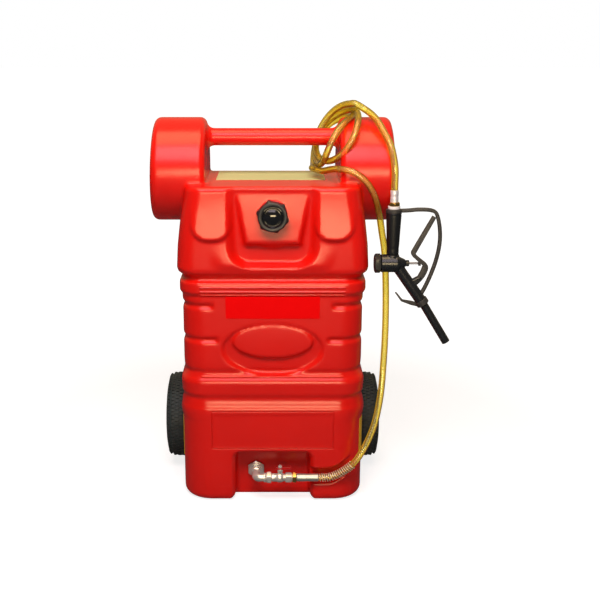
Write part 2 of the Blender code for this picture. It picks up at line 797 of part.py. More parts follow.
def filler_recess():
    """Deep at the foot and shallow at the head, with sloping sides."""
    top = BODY_HEIGHT - RECESS_HEAD_DROP
    low = BODY_HEIGHT - RECESS_FLOOR_DROP
    rings = []
    for grow, floor in ((RECESS_DRAFT, False), (-RECESS_DRAFT / 2, True)):
        ring = []
        for x, z in recess_outline(grow):
            share = (top - z) / (top - low)
            depth = RECESS_HEAD_DEPTH + (RECESS_DEPTH - RECESS_HEAD_DEPTH) * min(max(share, 0), 1) ** 0.6
            ring.append((x, FRONT + depth if floor else FRONT - RECESS_DRAFT / 2, z))
        rings.append(ring)
    return placed("filler_recess", stacked("filler_recess", rings), None)


def filler_pad():
    """The sloping pad that carries the filler neck."""
    rings = []
    for grow, floor in ((PAD_DRAFT, True), (0, False)):
        high = BODY_HEIGHT - PAD_TOP_DROP
        low = BODY_HEIGHT - PAD_BOTTOM_DROP - grow
        back = FRONT + RECESS_DEPTH + BODY_WALL / 2
        top_y = back if floor else FRONT + PAD_TOP_SETBACK
        low_y = back if floor else FRONT + PAD_BOTTOM_SETBACK
        top_half, low_half = PAD_TOP_HALF_WIDTH + grow, PAD_BOTTOM_HALF_WIDTH + grow
        rings.append([(-low_half, low_y, low), (low_half, low_y, low),
                      (top_half, top_y, high), (-top_half, top_y, high)])
    return placed("filler_pad", stacked("filler_pad", rings), None)


def front_lobe(side):
    """One of the two raised pads beside the recess."""
    rings = []
    for grow, front in ((0, FRONT + LOBE_RISE), (0, FRONT), (-LOBE_DRAFT, FRONT - LOBE_RISE)):
        half = LOBE_HALF_WIDTH + grow
        high = BODY_HEIGHT - LOBE_TOP_DROP + grow
        low = BODY_HEIGHT - LOBE_BOTTOM_DROP - grow
        middle = side * LOBE_CENTRE
        corner = LOBE_HALF_WIDTH / 2
        outline = [(middle + half, high), *arc(middle + half - corner, low + corner, corner, 0, -90, 2),
                   *arc(middle - half + corner, low + corner, corner, -90, -180, 2), (middle - half, high)]
        rings.append([(x, front, z) for x, z in outline])
    name = "lobe_right" if side > 0 else "lobe_left"
    return placed(name, stacked(name, rings), None)


def oval_recess():
    """The ring-shaped recess round the raised oval, deepest at the oval's foot."""
    points, faces = [], []
    lip = WAIST_FRONT - OVERRUN / 2
    for step in range(OVAL_STEPS):
        angle = 2 * math.pi * step / OVAL_STEPS
        across, up = math.cos(angle), math.sin(angle)
        depth = OVAL_RECESS_DEPTH * (0.3 + 0.35 * (1 - up))
        outer = (OVAL_RECESS_HALF_WIDTH * across, OVAL_RECESS_HEIGHT + OVAL_RECESS_HALF_HEIGHT * up)
        inner = (OVAL_HALF_WIDTH * across, OVAL_HEIGHT + OVAL_HALF_HEIGHT * up)
        points.append((outer[0], lip, outer[1]))
        points.append((outer[0], WAIST_FRONT, outer[1]))
        points.append((inner[0], WAIST_FRONT + depth, inner[1]))
        points.append((inner[0], lip, inner[1]))
    count = 4
    for step in range(OVAL_STEPS):
        this, after = step * count, (step + 1) % OVAL_STEPS * count
        for rung in range(count):
            over = (rung + 1) % count
            faces.append((this + rung, after + rung, after + over, this + over))
    return placed("oval_recess", mesh_of("oval_recess", points, faces), None)


def wrap_groove(side, height, start):
    """A round-ended groove from the front, round the corner and along the side."""
    half_width = BODY_HALF_WIDTH - WAIST_SETBACK
    radius = CORNER_RADIUS * 3 / 4
    path = [(start, WAIST_FRONT), (start + WRAP_GROOVE_HALF_HEIGHT, WAIST_FRONT)]
    path += arc(half_width - radius, WAIST_FRONT + radius, radius, -90, 0, 5)
    path.append((half_width, BACK - BACK_CORNER_RADIUS))
    rings = []
    for index, (x, y) in enumerate(path):
        before, after = path[max(index - 1, 0)], path[min(index + 1, len(path) - 1)]
        run = Vector((after[0] - before[0], after[1] - before[1])).normalized()
        out = Vector((run.y, -run.x))
        narrow = 0.55 if index == 0 else 1.0
        half = WRAP_GROOVE_HALF_HEIGHT * narrow
        ring = []
        for reach, rise in ((OVERRUN, -2 * half), (OVERRUN, 2 * half),
                            (-WRAP_GROOVE_DEPTH, half / 2), (-WRAP_GROOVE_DEPTH, -half / 2)):
            ring.append((side * (x + out.x * reach), y + out.y * reach, height + rise))
        rings.append(ring)
    name = f"wrap_groove_{round(height * 1000)}_{'right' if side > 0 else 'left'}"
    return placed(name, stacked(name, rings), None)


def niche():
    """The niche for the outlet, open at the floor, its sides flaring to the feet."""
    rings = []
    for share, reach in ((1.0, -OVERRUN), (1.0, 0), (0.35, NICHE_DEPTH / 4), (0.0, NICHE_DEPTH)):
        half = NICHE_BACK_HALF_WIDTH + (NICHE_HALF_WIDTH - NICHE_BACK_HALF_WIDTH) * share
        high = NICHE_HEIGHT - NICHE_CORNER / 4 * (1 - share)
        right = [(half, -OVERRUN), *arc(half - NICHE_CORNER, high - NICHE_CORNER, NICHE_CORNER, 0, 90, 4)]
        outline = right + [(-x, z) for x, z in reversed(right)]
        rings.append([(x, FRONT + reach, z) for x, z in outline])
    return placed("niche", stacked("niche", rings), None)


def drum_middle():
    """The middle of the right drum's outer face."""
    return Vector((DRUM_OUTER_FACE, DRUM_Y, DRUM_Z))


def lower_route():
    """The hose's way across the right foot, up the side and over the shoulder to the coil."""
    foot = [Vector((BODY_HALF_WIDTH * share, FRONT + y, z)) for share, y, z in FOOT_ROUTE]
    side = [Vector((BODY_HALF_WIDTH + x, FRONT + y, BODY_HEIGHT * share)) for x, y, share in SIDE_ROUTE]
    return [*foot, *side, *(drum_middle() + Vector(step) for step in SHOULDER_ROUTE)]


def hose_channel():
    """The shallow channel across the right foot, under and over the hose."""
    lower, upper = [], []
    for x, _, z in [(NICHE_BACK_HALF_WIDTH, 0, OUTLET_HEIGHT), *lower_route()[:6]]:
        lower.append((x, z - CHANNEL_HALF_HEIGHT))
        upper.append((x, z + CHANNEL_HALF_HEIGHT))
    outline = lower + upper[::-1]
    mesh = plate("hose_channel", outline, FRONT - OVERRUN, FRONT + CHANNEL_DEPTH)
    return placed("hose_channel", mesh, None)


def wheel_well(side):
    """Round over the wheel and open below it."""
    radius = WHEEL_RADIUS + WELL_GAP
    outline = [*arc(AXLE_Y, AXLE_HEIGHT, radius, 0, 180, WHEEL_STEPS // 2), (AXLE_Y - radius, -OVERRUN),
               (AXLE_Y + radius, -OVERRUN)]
    name = "wheel_well_right" if side > 0 else "wheel_well_left"
    near, far = sorted((side * WELL_INNER, side * (BODY_HALF_WIDTH + OVERRUN)))
    return placed(name, plate(name, outline, near, far, "YZ"), None)


def axle_channel():
    """The slot across the back that the axle lies in, with a round bottom."""
    radius = AXLE_RADIUS + SEAT_GAP
    seat = arc(AXLE_Y, AXLE_HEIGHT, radius, 90, 270, 8)
    outline = [*seat, (BACK + OVERRUN, AXLE_HEIGHT - radius), (BACK + OVERRUN, AXLE_HEIGHT + radius)]
    reach = BODY_HALF_WIDTH + OVERRUN
    return placed("axle_channel", plate("axle_channel", outline, -reach, reach, "YZ"), None)


def body_cavity():
    """The hollow of the body, stepped back behind the niche, the oval, the recess and the axle."""
    low_half = WELL_INNER - BODY_WALL
    mid_half = BODY_HALF_WIDTH - WAIST_SETBACK - GROOVE_DEPTH - BODY_WALL
    top_half = BODY_HALF_WIDTH - SHOULDER_TAPER - BODY_WALL
    niche_front = NICHE_Y + BODY_WALL
    mid_front = WAIST_FRONT + OVAL_RECESS_DEPTH + BODY_WALL
    top_front = FRONT + UPPER_FRONT_INSET
    plain_back = BACK - GROOVE_DEPTH - BODY_WALL
    axle_back = AXLE_Y - AXLE_RADIUS - SEAT_GAP - BODY_WALL
    axle_half = AXLE_RADIUS + BODY_WALL
    foot = FOOT_EDGE_RADIUS / 2
    well_top = AXLE_HEIGHT + WHEEL_RADIUS + WELL_GAP + BODY_WALL
    slope = axle_half
    levels = (
        (BODY_WALL, low_half - foot, niche_front + foot, plain_back - foot),
        (BODY_WALL + foot, low_half, niche_front, plain_back),
        (AXLE_HEIGHT - axle_half - slope, low_half, niche_front, plain_back),
        (AXLE_HEIGHT - axle_half, low_half, niche_front, axle_back),
        (AXLE_HEIGHT + axle_half, low_half, niche_front, axle_back),
        (AXLE_HEIGHT + axle_half + slope, low_half, niche_front, plain_back),
        (well_top, low_half, mid_front, plain_back),
        (well_top + slope, mid_half, mid_front, plain_back),
        (BODY_HEIGHT - RECESS_FLOOR_DROP - RECESS_DRAFT - slope, mid_half, mid_front, plain_back),
        (BODY_HEIGHT - RECESS_FLOOR_DROP - RECESS_DRAFT, mid_half, top_front, plain_back),
        (BODY_HEIGHT - TOP_EDGE_RADIUS - BODY_WALL, top_half, top_front, plain_back),
        (BODY_HEIGHT - BODY_WALL, top_half - TOP_EDGE_RADIUS, top_front, plain_back),
    )
    radius = CORNER_RADIUS / 2
    rings = [body_ring(half, front, back, radius, BACK_CORNER_RADIUS, height, 2, 2)
             for height, half, front, back in levels]
    return placed("body_cavity", stacked("body_cavity", rings), None)


def tank():
    """The one-piece moulding: body, drums, bar and filler neck, hollow inside."""
    shell = placed("tank_shell", tank_body(), RED_PLASTIC)
    for side in (-1, 1):
        name = "drum_right" if side > 0 else "drum_left"
        drum = turned(name, drum_outline(0), DRUM_STEPS)
        unite(shell, placed(name, drum, None, (0, DRUM_Y, DRUM_Z), (side, 0, 0)))
    unite(shell, handle_bar())
    cut(shell, filler_recess())
    for side in (-1, 1):
        unite(shell, front_lobe(side))
    unite(shell, filler_pad())
    root = BOSS_Y - FRONT - RECESS_DEPTH
    neck = [(0, root), (BOSS_RADIUS, root), (BOSS_RADIUS, 0), (NECK_RADIUS, 0), (NECK_RADIUS, NECK_LENGTH),
            (0, NECK_LENGTH)]
    neck = turned("filler_neck", neck, DRUM_STEPS)
    unite(shell, placed("filler_neck", neck, None, (0, BOSS_Y, CAP_Z), (0, -1, 0)))
    cut(shell, oval_recess())
    for height, start in zip(WRAP_GROOVE_HEIGHTS, WRAP_GROOVE_STARTS):
        for side in (-1, 1):
            cut(shell, wrap_groove(side, height, start))
    low, high = BODY_HEIGHT * PANEL_LOW_SHARE, BODY_HEIGHT * PANEL_HIGH_SHARE
    panel = box_outline(-PANEL_HALF_WIDTH, PANEL_HALF_WIDTH, low, high)
    cut(shell, placed("panel", plate("panel", panel, FRONT - OVERRUN, FRONT + PANEL_DEPTH), None))
    cut(shell, niche())
    cut(shell, hose_channel())
    for side in (-1, 1):
        cut(shell, wheel_well(side))
    cut(shell, axle_channel())
    for side in (-1, 1):
        name = "clamp_hole_right" if side > 0 else "clamp_hole_left"
        hole = turned(name, rod(SCREW_RADIUS + SEAT_GAP, -OVERRUN, SCREW_DEPTH), TINY_STEPS)
        place = (side * AXLE_CLAMP_PLACE, BACK, clamp_screw_height())
        cut(shell, placed(name, hole, None, place, (0, -1, 0)))
    outlet = turned("outlet_hole", rod(BULKHEAD_TAIL_RADIUS + SEAT_GAP, 0, NICHE_DEPTH / 2), SMALL_STEPS)
    cut(shell, placed("outlet_hole", outlet, None,
                      (OUTLET_X, NICHE_Y - NICHE_DEPTH / 4, OUTLET_HEIGHT), (0, 1, 0)))
    bore = rod(NECK_BORE_RADIUS, -UPPER_FRONT_INSET - OVERRUN, NECK_LENGTH + OVERRUN)
    bore = turned("neck_bore", bore, MEDIUM_STEPS)
    cut(shell, placed("neck_bore", bore, None, (0, BOSS_Y, CAP_Z), (0, -1, 0)))
    cut(shell, body_cavity())
    for side in (-1, 1):
        name = "drum_cavity_right" if side > 0 else "drum_cavity_left"
        hollow = turned(name, drum_outline(BODY_WALL), DRUM_STEPS // 2)
        cut(shell, placed(name, hollow, None, (0, DRUM_Y, DRUM_Z), (side, 0, 0)))
    return shell


def label(name, outline, low, high, plane, look):
    return placed(name, plate(name, outline, low, high, plane), look)


def labels():
    """Bare label films: red on the waist, pale yellow on the top and low on both sides."""
    face = WAIST_FRONT - SEAT_GAP
    low, high = BODY_HEIGHT * FRONT_LABEL_LOW_SHARE, BODY_HEIGHT * FRONT_LABEL_HIGH_SHARE
    outline = box_outline(-FRONT_LABEL_HALF_WIDTH, FRONT_LABEL_HALF_WIDTH, low, high)
    label("front_label", outline, face - LABEL_THICKNESS, face, "XZ", RED_FILM)
    top = BODY_HEIGHT + SEAT_GAP
    left, right = [side * TOP_LABEL_HALF_WIDTH - TOP_LABEL_LEFT_SHIFT for side in (-1, 1)]
    outline = box_outline(left, right, TOP_LABEL_FRONT, TOP_LABEL_BACK)
    label("top_label", outline, top, top + LABEL_THICKNESS, "XY", YELLOW_FILM)
    side_face = BODY_HALF_WIDTH - BODY_LEVEL_SHARES[0][3] * WAIST_SETBACK
    middle_x, middle_y = side_face - CORNER_RADIUS, FRONT + CORNER_RADIUS
    inner = CORNER_RADIUS + 2 * SEAT_GAP
    outer = inner + LABEL_THICKNESS
    for side in (-1, 1):
        name = "right_side_label" if side > 0 else "left_side_label"
        outline = []
        for radius in (inner, outer):
            curve = arc(middle_x, middle_y, radius, -SIDE_LABEL_TURN, 0, SIDE_LABEL_STEPS)
            curve.append((middle_x + radius, middle_y + SIDE_LABEL_STRAIGHT))
            outline += [(side * x, y) for x, y in (curve if radius == inner else reversed(curve))]
        low, high = BODY_HEIGHT * SIDE_LABEL_LOW_SHARE, BODY_HEIGHT * SIDE_LABEL_HIGH_SHARE
        label(name, outline, low, high, "XY", YELLOW_FILM)


def cap():
    """The two-piece cap: a disc and gasket that close the neck, held by a lobed ring."""
    carrier = pivot("cap_axis", (0, NECK_END, CAP_Z))
    front = (0, -1, 0)
    here = (0, NECK_END, CAP_Z)
    gasket_end = SEAT_GAP + GASKET_THICKNESS
    gasket = sleeve(NECK_BORE_RADIUS, NECK_RADIUS - SEAT_GAP, SEAT_GAP, gasket_end)
    placed("cap_gasket", turned("cap_gasket", gasket, MEDIUM_STEPS), RUBBER, here, front, carrier)
    low = gasket_end + SEAT_GAP
    high = low + CAP_DISC_THICKNESS
    crown = CAP_WINDOW_RADIUS - RUN_GAP
    disc = [(0, low), (NECK_RADIUS, low), (NECK_RADIUS, high), (crown, high), (crown, high + CAP_DISC_CROWN),
            (crown * 5 / 6, high + CAP_DISC_CROWN), (crown * 3 / 4, high + CAP_DISC_CROWN / 2),
            (crown / 2, high + CAP_DISC_CROWN / 4), (0, high + CAP_DISC_CROWN / 8)]
    placed("cap_disc", turned("cap_disc", disc, MEDIUM_STEPS), GLOSS_BLACK, here, front, carrier)
    lip = high + SEAT_GAP
    end = lip + CAP_LIP
    foot = -NECK_LENGTH + RUN_GAP
    bore = NECK_RADIUS + RUN_GAP
    ring = [(bore, foot), (CAP_RING_RADIUS, foot, True), (CAP_RING_RADIUS, end - CAP_EDGE, True),
            (CAP_RING_RADIUS - CAP_EDGE, end, True), (CAP_WINDOW_RADIUS, end), (CAP_WINDOW_RADIUS, lip),
            (bore, lip)]
    steps = CAP_LOBES * CAP_LOBE_STEPS
    mesh = turned("cap_ring", ring, steps, CAP_LOBES, CAP_LOBE_RISE)
    placed("cap_ring", mesh, BLACK_PLASTIC, here, front, carrier)


def clamp_screw_height():
    return AXLE_HEIGHT + AXLE_RADIUS + AXLE_CLAMP_FLANGE / 2


def axle_parts():
    """The axle and what holds it in the tank's back."""
    mesh = turned("axle", rod(AXLE_RADIUS, -AXLE_END, AXLE_END), SMALL_STEPS)
    placed("axle", mesh, STEEL, (0, AXLE_Y, AXLE_HEIGHT), (1, 0, 0))
    tongue = AXLE_RADIUS - SEAT_GAP
    nose = AXLE_Y + AXLE_RADIUS + SEAT_GAP
    face = BACK + SEAT_GAP
    outline = [
        (nose, AXLE_HEIGHT - tongue / 3),
        (nose + tongue / 2, AXLE_HEIGHT - tongue),
        (face + AXLE_CLAMP_PLATE, AXLE_HEIGHT - tongue),
        (face + AXLE_CLAMP_PLATE, AXLE_HEIGHT + tongue + AXLE_CLAMP_FLANGE),
        (face, AXLE_HEIGHT + tongue + AXLE_CLAMP_FLANGE),
        (face, AXLE_HEIGHT + tongue),
        (nose + tongue / 2, AXLE_HEIGHT + tongue),
        (nose, AXLE_HEIGHT + tongue / 3),
    ]
    for side in (-1, 1):
        word = "right" if side > 0 else "left"
        middle = side * AXLE_CLAMP_PLACE
        half = AXLE_CLAMP_WIDTH / 2
        clamp = placed(f"{word}_axle_clamp", plate(f"{word}_axle_clamp", outline, middle - half,
                                                   middle + half, "YZ"), STEEL)
        place = (middle, face + AXLE_CLAMP_PLATE, clamp_screw_height())
        hole = turned(f"{word}_clamp_bore", rod(SCREW_RADIUS + SEAT_GAP, -OVERRUN, OVERRUN), TINY_STEPS)
        cut(clamp, placed(f"{word}_clamp_bore", hole, None, place, (0, 1, 0)))
        depth = AXLE_CLAMP_PLATE + SCREW_DEPTH
        screw = [(0, -depth), (SCREW_RADIUS, -depth), (SCREW_RADIUS, SEAT_GAP),
                 (SCREW_HEAD_RADIUS, SEAT_GAP), (SCREW_HEAD_RADIUS, SCREW_HEAD_HEIGHT / 2),
                 (SCREW_RADIUS, SCREW_HEAD_HEIGHT), (0, SCREW_HEAD_HEIGHT)]
        mesh = turned(f"{word}_clamp_screw", screw, TINY_STEPS)
        placed(f"{word}_clamp_screw", mesh, STEEL, place, (0, 1, 0))


def tyre_outline():
    """The tyre's section: grooved tread, round shoulders, walls and beads, hollow towards the rim."""
    half = TYRE_WIDTH / 2
    shoulder = TYRE_SHOULDER
    crown_half = half - shoulder
    outer = []
    pitch = 2 * crown_half / (TREAD_GROOVES - 1)
    for index in range(TREAD_GROOVES):
        middle = -crown_half + pitch * index
        edge, deep = TREAD_GROOVE_WIDTH / 2, WHEEL_RADIUS - TREAD_GROOVE_DEPTH
        outer += [(WHEEL_RADIUS, middle - edge), (deep, middle - edge / 2), (deep, middle + edge / 2),
                  (WHEEL_RADIUS, middle + edge)]
    right = [(r, h) for h, r in arc(crown_half + TREAD_GROOVE_WIDTH / 2, WHEEL_RADIUS - shoulder, shoulder
                                    - TREAD_GROOVE_WIDTH / 2, 75, 0, 2)]
    left = [(r, -h) for r, h in reversed(right)]
    bead = RIM_SEAT_RADIUS + RUN_GAP
    inside = RIM_HALF_WIDTH - SEAT_GAP
    foot = [(bead + RIM_LIP * 2, half - TYRE_WALL / 2), (bead + RIM_LIP, inside), (bead, inside),
            (bead, inside - TYRE_WALL)]
    hollow = [(WHEEL_RADIUS - shoulder, half - TYRE_WALL), (WHEEL_RADIUS - TYRE_WALL * 2, crown_half)]
    side = right + foot + hollow
    mirrored = [(r, -h) for r, h in reversed(side)]
    return outer + side + mirrored


def rim_outline():
    """The rim's section: flanges, bead seats, a dropped middle, a disc and the hub with its seats."""
    seat, lip = RIM_SEAT_RADIUS, RIM_SEAT_RADIUS + RIM_LIP
    drop = seat - RIM_DROP
    half = RIM_HALF_WIDTH
    well = half / 2
    under = seat - RIM_SHEET
    bearing = BEARING_RADIUS + SEAT_GAP
    step = HUB_HALF_LENGTH - BEARING_WIDTH
    right = [
        (drop, well / 2), (seat, well), (seat, half), (lip, half), (lip, half + RIM_SHEET),
        (under, half + RIM_SHEET), (drop - RIM_SHEET, well / 2), (drop - RIM_SHEET, RIM_SHEET),
        (HUB_RADIUS, RIM_SHEET), (HUB_RADIUS, HUB_HALF_LENGTH),
        (bearing, HUB_HALF_LENGTH), (bearing, step), (AXLE_RADIUS + RIM_SHEET, step),
    ]
    return right + [(r, -h) for r, h in reversed(right)]


def wheel(side):
    """A pneumatic wheel on two bearings, with its spacer, washer and push-on cap."""
    word = "right" if side > 0 else "left"
    middle = side * WHEEL_X
    centre = (middle, AXLE_Y, AXLE_HEIGHT)
    out = (side, 0, 0)
    hub = pivot(f"{word}_wheel_axis", centre)
    placed(f"{word}_tyre", turned(f"{word}_tyre", tyre_outline(), WHEEL_STEPS), RUBBER, centre, out, hub)
    placed(f"{word}_rim", turned(f"{word}_rim", rim_outline(), RIM_STEPS), STEEL, centre, out, hub)
    bore = AXLE_RADIUS + SEAT_GAP
    low = HUB_HALF_LENGTH - BEARING_WIDTH + SEAT_GAP
    for place, sign in (("outer", 1), ("inner", -1)):
        name = f"{word}_{place}_bearing"
        ends = sorted((sign * low, sign * HUB_HALF_LENGTH))
        placed(name, turned(name, sleeve(bore, BEARING_RADIUS, *ends), SMALL_STEPS), STEEL, centre, out, hub)
    wall = WELL_INNER - abs(middle) + SEAT_GAP
    spacer = sleeve(bore, SPACER_RADIUS, wall, -HUB_HALF_LENGTH - RUN_GAP)
    placed(f"{word}_spacer", turned(f"{word}_spacer", spacer, SMALL_STEPS), STEEL, centre, out)
    start = HUB_HALF_LENGTH + RUN_GAP
    washer = sleeve(bore, WASHER_RADIUS, start, start + WASHER_THICKNESS)
    placed(f"{word}_washer", turned(f"{word}_washer", washer, SMALL_STEPS), STEEL, centre, out)
    start += WASHER_THICKNESS + SEAT_GAP
    hollow = AXLE_END - WHEEL_X + SEAT_GAP
    push_cap = [(0, hollow), (bore, hollow), (bore, start), (PUSH_CAP_RADIUS, start),
                (PUSH_CAP_RADIUS, hollow - PUSH_CAP_WALL), (bore, hollow + PUSH_CAP_WALL),
                (0, hollow + PUSH_CAP_WALL)]
    placed(f"{word}_push_cap", turned(f"{word}_push_cap", push_cap, SMALL_STEPS), STEEL, centre, out)


def bulkhead():
    """The fitting through the niche's back wall, its gasket outside and its nut inside."""
    here = (OUTLET_X, NICHE_Y, OUTLET_HEIGHT)
    front = (0, -1, 0)
    tail = BULKHEAD_TAIL_RADIUS
    gasket_end = SEAT_GAP + BULKHEAD_GASKET
    gasket = sleeve(tail + SEAT_GAP, BULKHEAD_HEX, SEAT_GAP, gasket_end)
    placed("bulkhead_gasket", turned("bulkhead_gasket", gasket, SMALL_STEPS), RUBBER, here, front)
    start = gasket_end + SEAT_GAP
    end = start + BULKHEAD_HEX_THICKNESS
    hexagon = turned("bulkhead_fitting", rod(hexed(BULKHEAD_HEX), start, end), 6)
    fitting = placed("bulkhead_fitting", hexagon, STEEL, here, front)
    stem = [(0, -BODY_WALL - BULKHEAD_TAIL), (tail, -BODY_WALL - BULKHEAD_TAIL), (tail, (start + end) / 2),
            (BULKHEAD_HUB_RADIUS, (start + end) / 2), (BULKHEAD_HUB_RADIUS, end + BULKHEAD_HUB),
            (0, end + BULKHEAD_HUB)]
    unite(fitting, placed("bulkhead_stem", turned("bulkhead_stem", stem, SMALL_STEPS), None, here, front))
    bore = rod(FLOW_RADIUS, -BODY_WALL - BULKHEAD_TAIL - OVERRUN, end + BULKHEAD_HUB + OVERRUN)
    cut(fitting, placed("bulkhead_bore", turned("bulkhead_bore", bore, SMALL_STEPS), None, here, front))
    nut_start = -BODY_WALL - SEAT_GAP
    nut = placed("bulkhead_nut", turned("bulkhead_nut", rod(hexed(BULKHEAD_NUT_HEX), nut_start
                                                            - BULKHEAD_NUT_THICKNESS, nut_start), 6),
                 BRASS, here, front)
    hole = rod(tail + SEAT_GAP, nut_start - BULKHEAD_NUT_THICKNESS - OVERRUN, nut_start + OVERRUN)
    cut(nut, placed("bulkhead_nut_bore", turned("bulkhead_nut_bore", hole, SMALL_STEPS), None, here, front))
    return NICHE_Y - end - BULKHEAD_HUB


def elbow(start_y):
    """The elbow: forward from the bulkhead, then along the front towards the valve."""
    start = Vector((OUTLET_X, start_y - SEAT_GAP, OUTLET_HEIGHT))
    corner = Vector((OUTLET_X, RUN_Y, OUTLET_HEIGHT))
    end = Vector((UNION_START - SEAT_GAP, RUN_Y, OUTLET_HEIGHT))
    front, along = Vector((0, -1, 0)), Vector((1, 0, 0))
    edge = ELBOW_BEAD / 8
    path = [start, start + front * ELBOW_BEAD, start + front * (ELBOW_BEAD + edge)]
    for step in range(ELBOW_BEND_STEPS + 1):
        angle = math.pi / 2 * step / ELBOW_BEND_STEPS
        path.append(corner - ELBOW_BEND * (front * (1 - math.sin(angle)) - along * (1 - math.cos(angle))))
    path += [end - along * (ELBOW_BEAD + edge), end - along * ELBOW_BEAD, end]
    bead, bend = ELBOW_BEAD_RADIUS, ELBOW_RADIUS
    radii = [bead, bead] + [bend] * (len(path) - 4) + [bead, bead]
    mesh = piped("outlet_elbow", path, radii, FLOW_RADIUS, SMALL_STEPS, Vector((0, 0, 1)))
    placed("outlet_elbow", mesh, STEEL)


def hex_sleeve(name, start, length, half_flats, bore, look):
    """A hexagonal nut with a round bore on the outlet's run."""
    here = (start, RUN_Y, OUTLET_HEIGHT)
    nut = placed(name, turned(name, rod(hexed(half_flats), 0, length), 6), look, here, (1, 0, 0))
    hole = turned(f"{name}_bore", rod(bore, -OVERRUN, length + OVERRUN), SMALL_STEPS)
    cut(nut, placed(f"{name}_bore", hole, None, here, (1, 0, 0)))
    return start + length


def ball_outline(radius, steps):
    """A half circle from pole to pole."""
    inner = [(r, h) for h, r in arc(0, 0, radius, 180, 0, steps)][1:-1]
    return [(0, -radius), *inner, (0, radius)]


def valve(start):
    """The ball valve: body, ball, stem, gland nut, lever and lever nut."""
    here = (start, RUN_Y, OUTLET_HEIGHT)
    along = (1, 0, 0)
    middle = VALVE_STEM_PLACE - start
    step = VALVE_LENGTH / 5
    outline = [(0, 0), (VALVE_END_RADIUS, 0), (VALVE_END_RADIUS, middle - step - step / 3),
               (VALVE_RADIUS, middle - step), (VALVE_RADIUS, middle + step / 2),
               (VALVE_END_RADIUS, middle + step), (VALVE_END_RADIUS, VALVE_LENGTH), (0, VALVE_LENGTH)]
    body = placed("valve_body", turned("valve_body", outline, SMALL_STEPS), STEEL, here, along)
    axis = (VALVE_STEM_PLACE, RUN_Y, OUTLET_HEIGHT)
    boss = rod(STEM_BOSS_RADIUS, STEM_BOSS_RADIUS, STEM_BOSS_RISE)
    boss = turned("stem_boss", boss, SMALL_STEPS, phase=0.5)
    unite(body, placed("stem_boss", boss, None, axis))
    hole = turned("valve_bore", rod(FLOW_RADIUS, -OVERRUN, VALVE_LENGTH + OVERRUN), SMALL_STEPS)
    cut(body, placed("valve_bore", hole, None, here, along))
    hollow = turned("ball_seat", ball_outline(BALL_RADIUS + RUN_GAP, 6), SMALL_STEPS, phase=0.3)
    cut(body, placed("ball_seat", hollow, None, axis))
    hole = turned("stem_hole", rod(STEM_RADIUS + SEAT_GAP, BALL_RADIUS / 2, STEM_BOSS_RISE + OVERRUN),
                  TINY_STEPS, phase=0.4)
    cut(body, placed("stem_hole", hole, None, axis))
    turning = pivot("valve_stem_axis", axis)
    ball = placed("valve_ball", turned("valve_ball", ball_outline(BALL_RADIUS, 6), SMALL_STEPS),
                  STEEL, axis, None, turning)
    hole = turned("ball_bore", rod(FLOW_RADIUS * 0.9, -2 * BALL_RADIUS, 2 * BALL_RADIUS), TINY_STEPS)
    cut(ball, placed("ball_bore", hole, None, axis, along))
    low = BALL_RADIUS + SEAT_GAP
    gland_low = STEM_BOSS_RISE + SEAT_GAP
    lever_low = gland_low + GLAND_NUT_HEIGHT + SEAT_GAP
    nut_low = lever_low + LEVER_THICKNESS + SEAT_GAP
    tip = nut_low + LEVER_NUT_HEIGHT + STEM_TIP
    stem = turned("valve_stem", rod(STEM_RADIUS, low, tip), TINY_STEPS)
    placed("valve_stem", stem, STEEL, axis, None, turning)
    around = STEM_RADIUS + SEAT_GAP
    for name, half_flats, base, height, look, carrier in (
        ("gland_nut", GLAND_NUT_HEX, gland_low, GLAND_NUT_HEIGHT, STEEL, None),
        ("lever_nut", LEVER_NUT_HEX, nut_low, LEVER_NUT_HEIGHT, STEEL, turning),
    ):
        nut = turned(name, rod(hexed(half_flats), base, base + height), 6)
        nut = placed(name, nut, look, axis, None, carrier)
        hole = rod(around, base - STEM_TIP, base + height + STEM_TIP)
        cut(nut, placed(f"{name}_bore", turned(f"{name}_bore", hole, TINY_STEPS), None, axis))
    half = LEVER_WIDTH / 2
    outline = [(-LEVER_TAIL, -half * 0.7), (0, -half), (LEVER_REACH, -half), (LEVER_REACH, half), (0, half),
               (-LEVER_TAIL, half * 0.7)]
    lever = plate("valve_lever", outline, lever_low, lever_low + LEVER_THICKNESS, "XY")
    lever = placed("valve_lever", lever, RED_PAINT, axis, None, turning)
    tab = plate("lever_tab", box_outline(LEVER_REACH - LEVER_THICKNESS, LEVER_REACH, lever_low
                                         + LEVER_THICKNESS / 2, lever_low + LEVER_TAB), -half, half)
    unite(lever, placed("lever_tab", tab, None, axis))
    hole = turned("lever_bore", rod(around, lever_low - OVERRUN / 4, lever_low + OVERRUN / 2), TINY_STEPS)
    cut(lever, placed("lever_bore", hole, None, axis))
    return start + VALVE_LENGTH


def outlet():
    """Everything from the tank's wall to the lower end of the hose. Gives where the hose starts."""
    elbow(bulkhead())
    bore = FLOW_RADIUS
    end = hex_sleeve("union_nut", UNION_START, UNION_LENGTH, UNION_HEX, bore, STEEL)
    end = valve(end + SEAT_GAP)
    end = hex_sleeve("hex_nipple", end + SEAT_GAP, NIPPLE_LENGTH, NIPPLE_HEX, bore, STEEL)
    end = hex_sleeve("swivel_nut", end + SEAT_GAP, SWIVEL_LENGTH, SWIVEL_HEX, bore, BRASS)
    start = end + SEAT_GAP
    name = "lower_ferrule"
    ferrule = ferrule_outline(FERRULE_LENGTH)
    placed(name, turned(name, ferrule, SMALL_STEPS), STEEL, (start, RUN_Y, OUTLET_HEIGHT), (1, 0, 0))
    return start + FERRULE_LENGTH


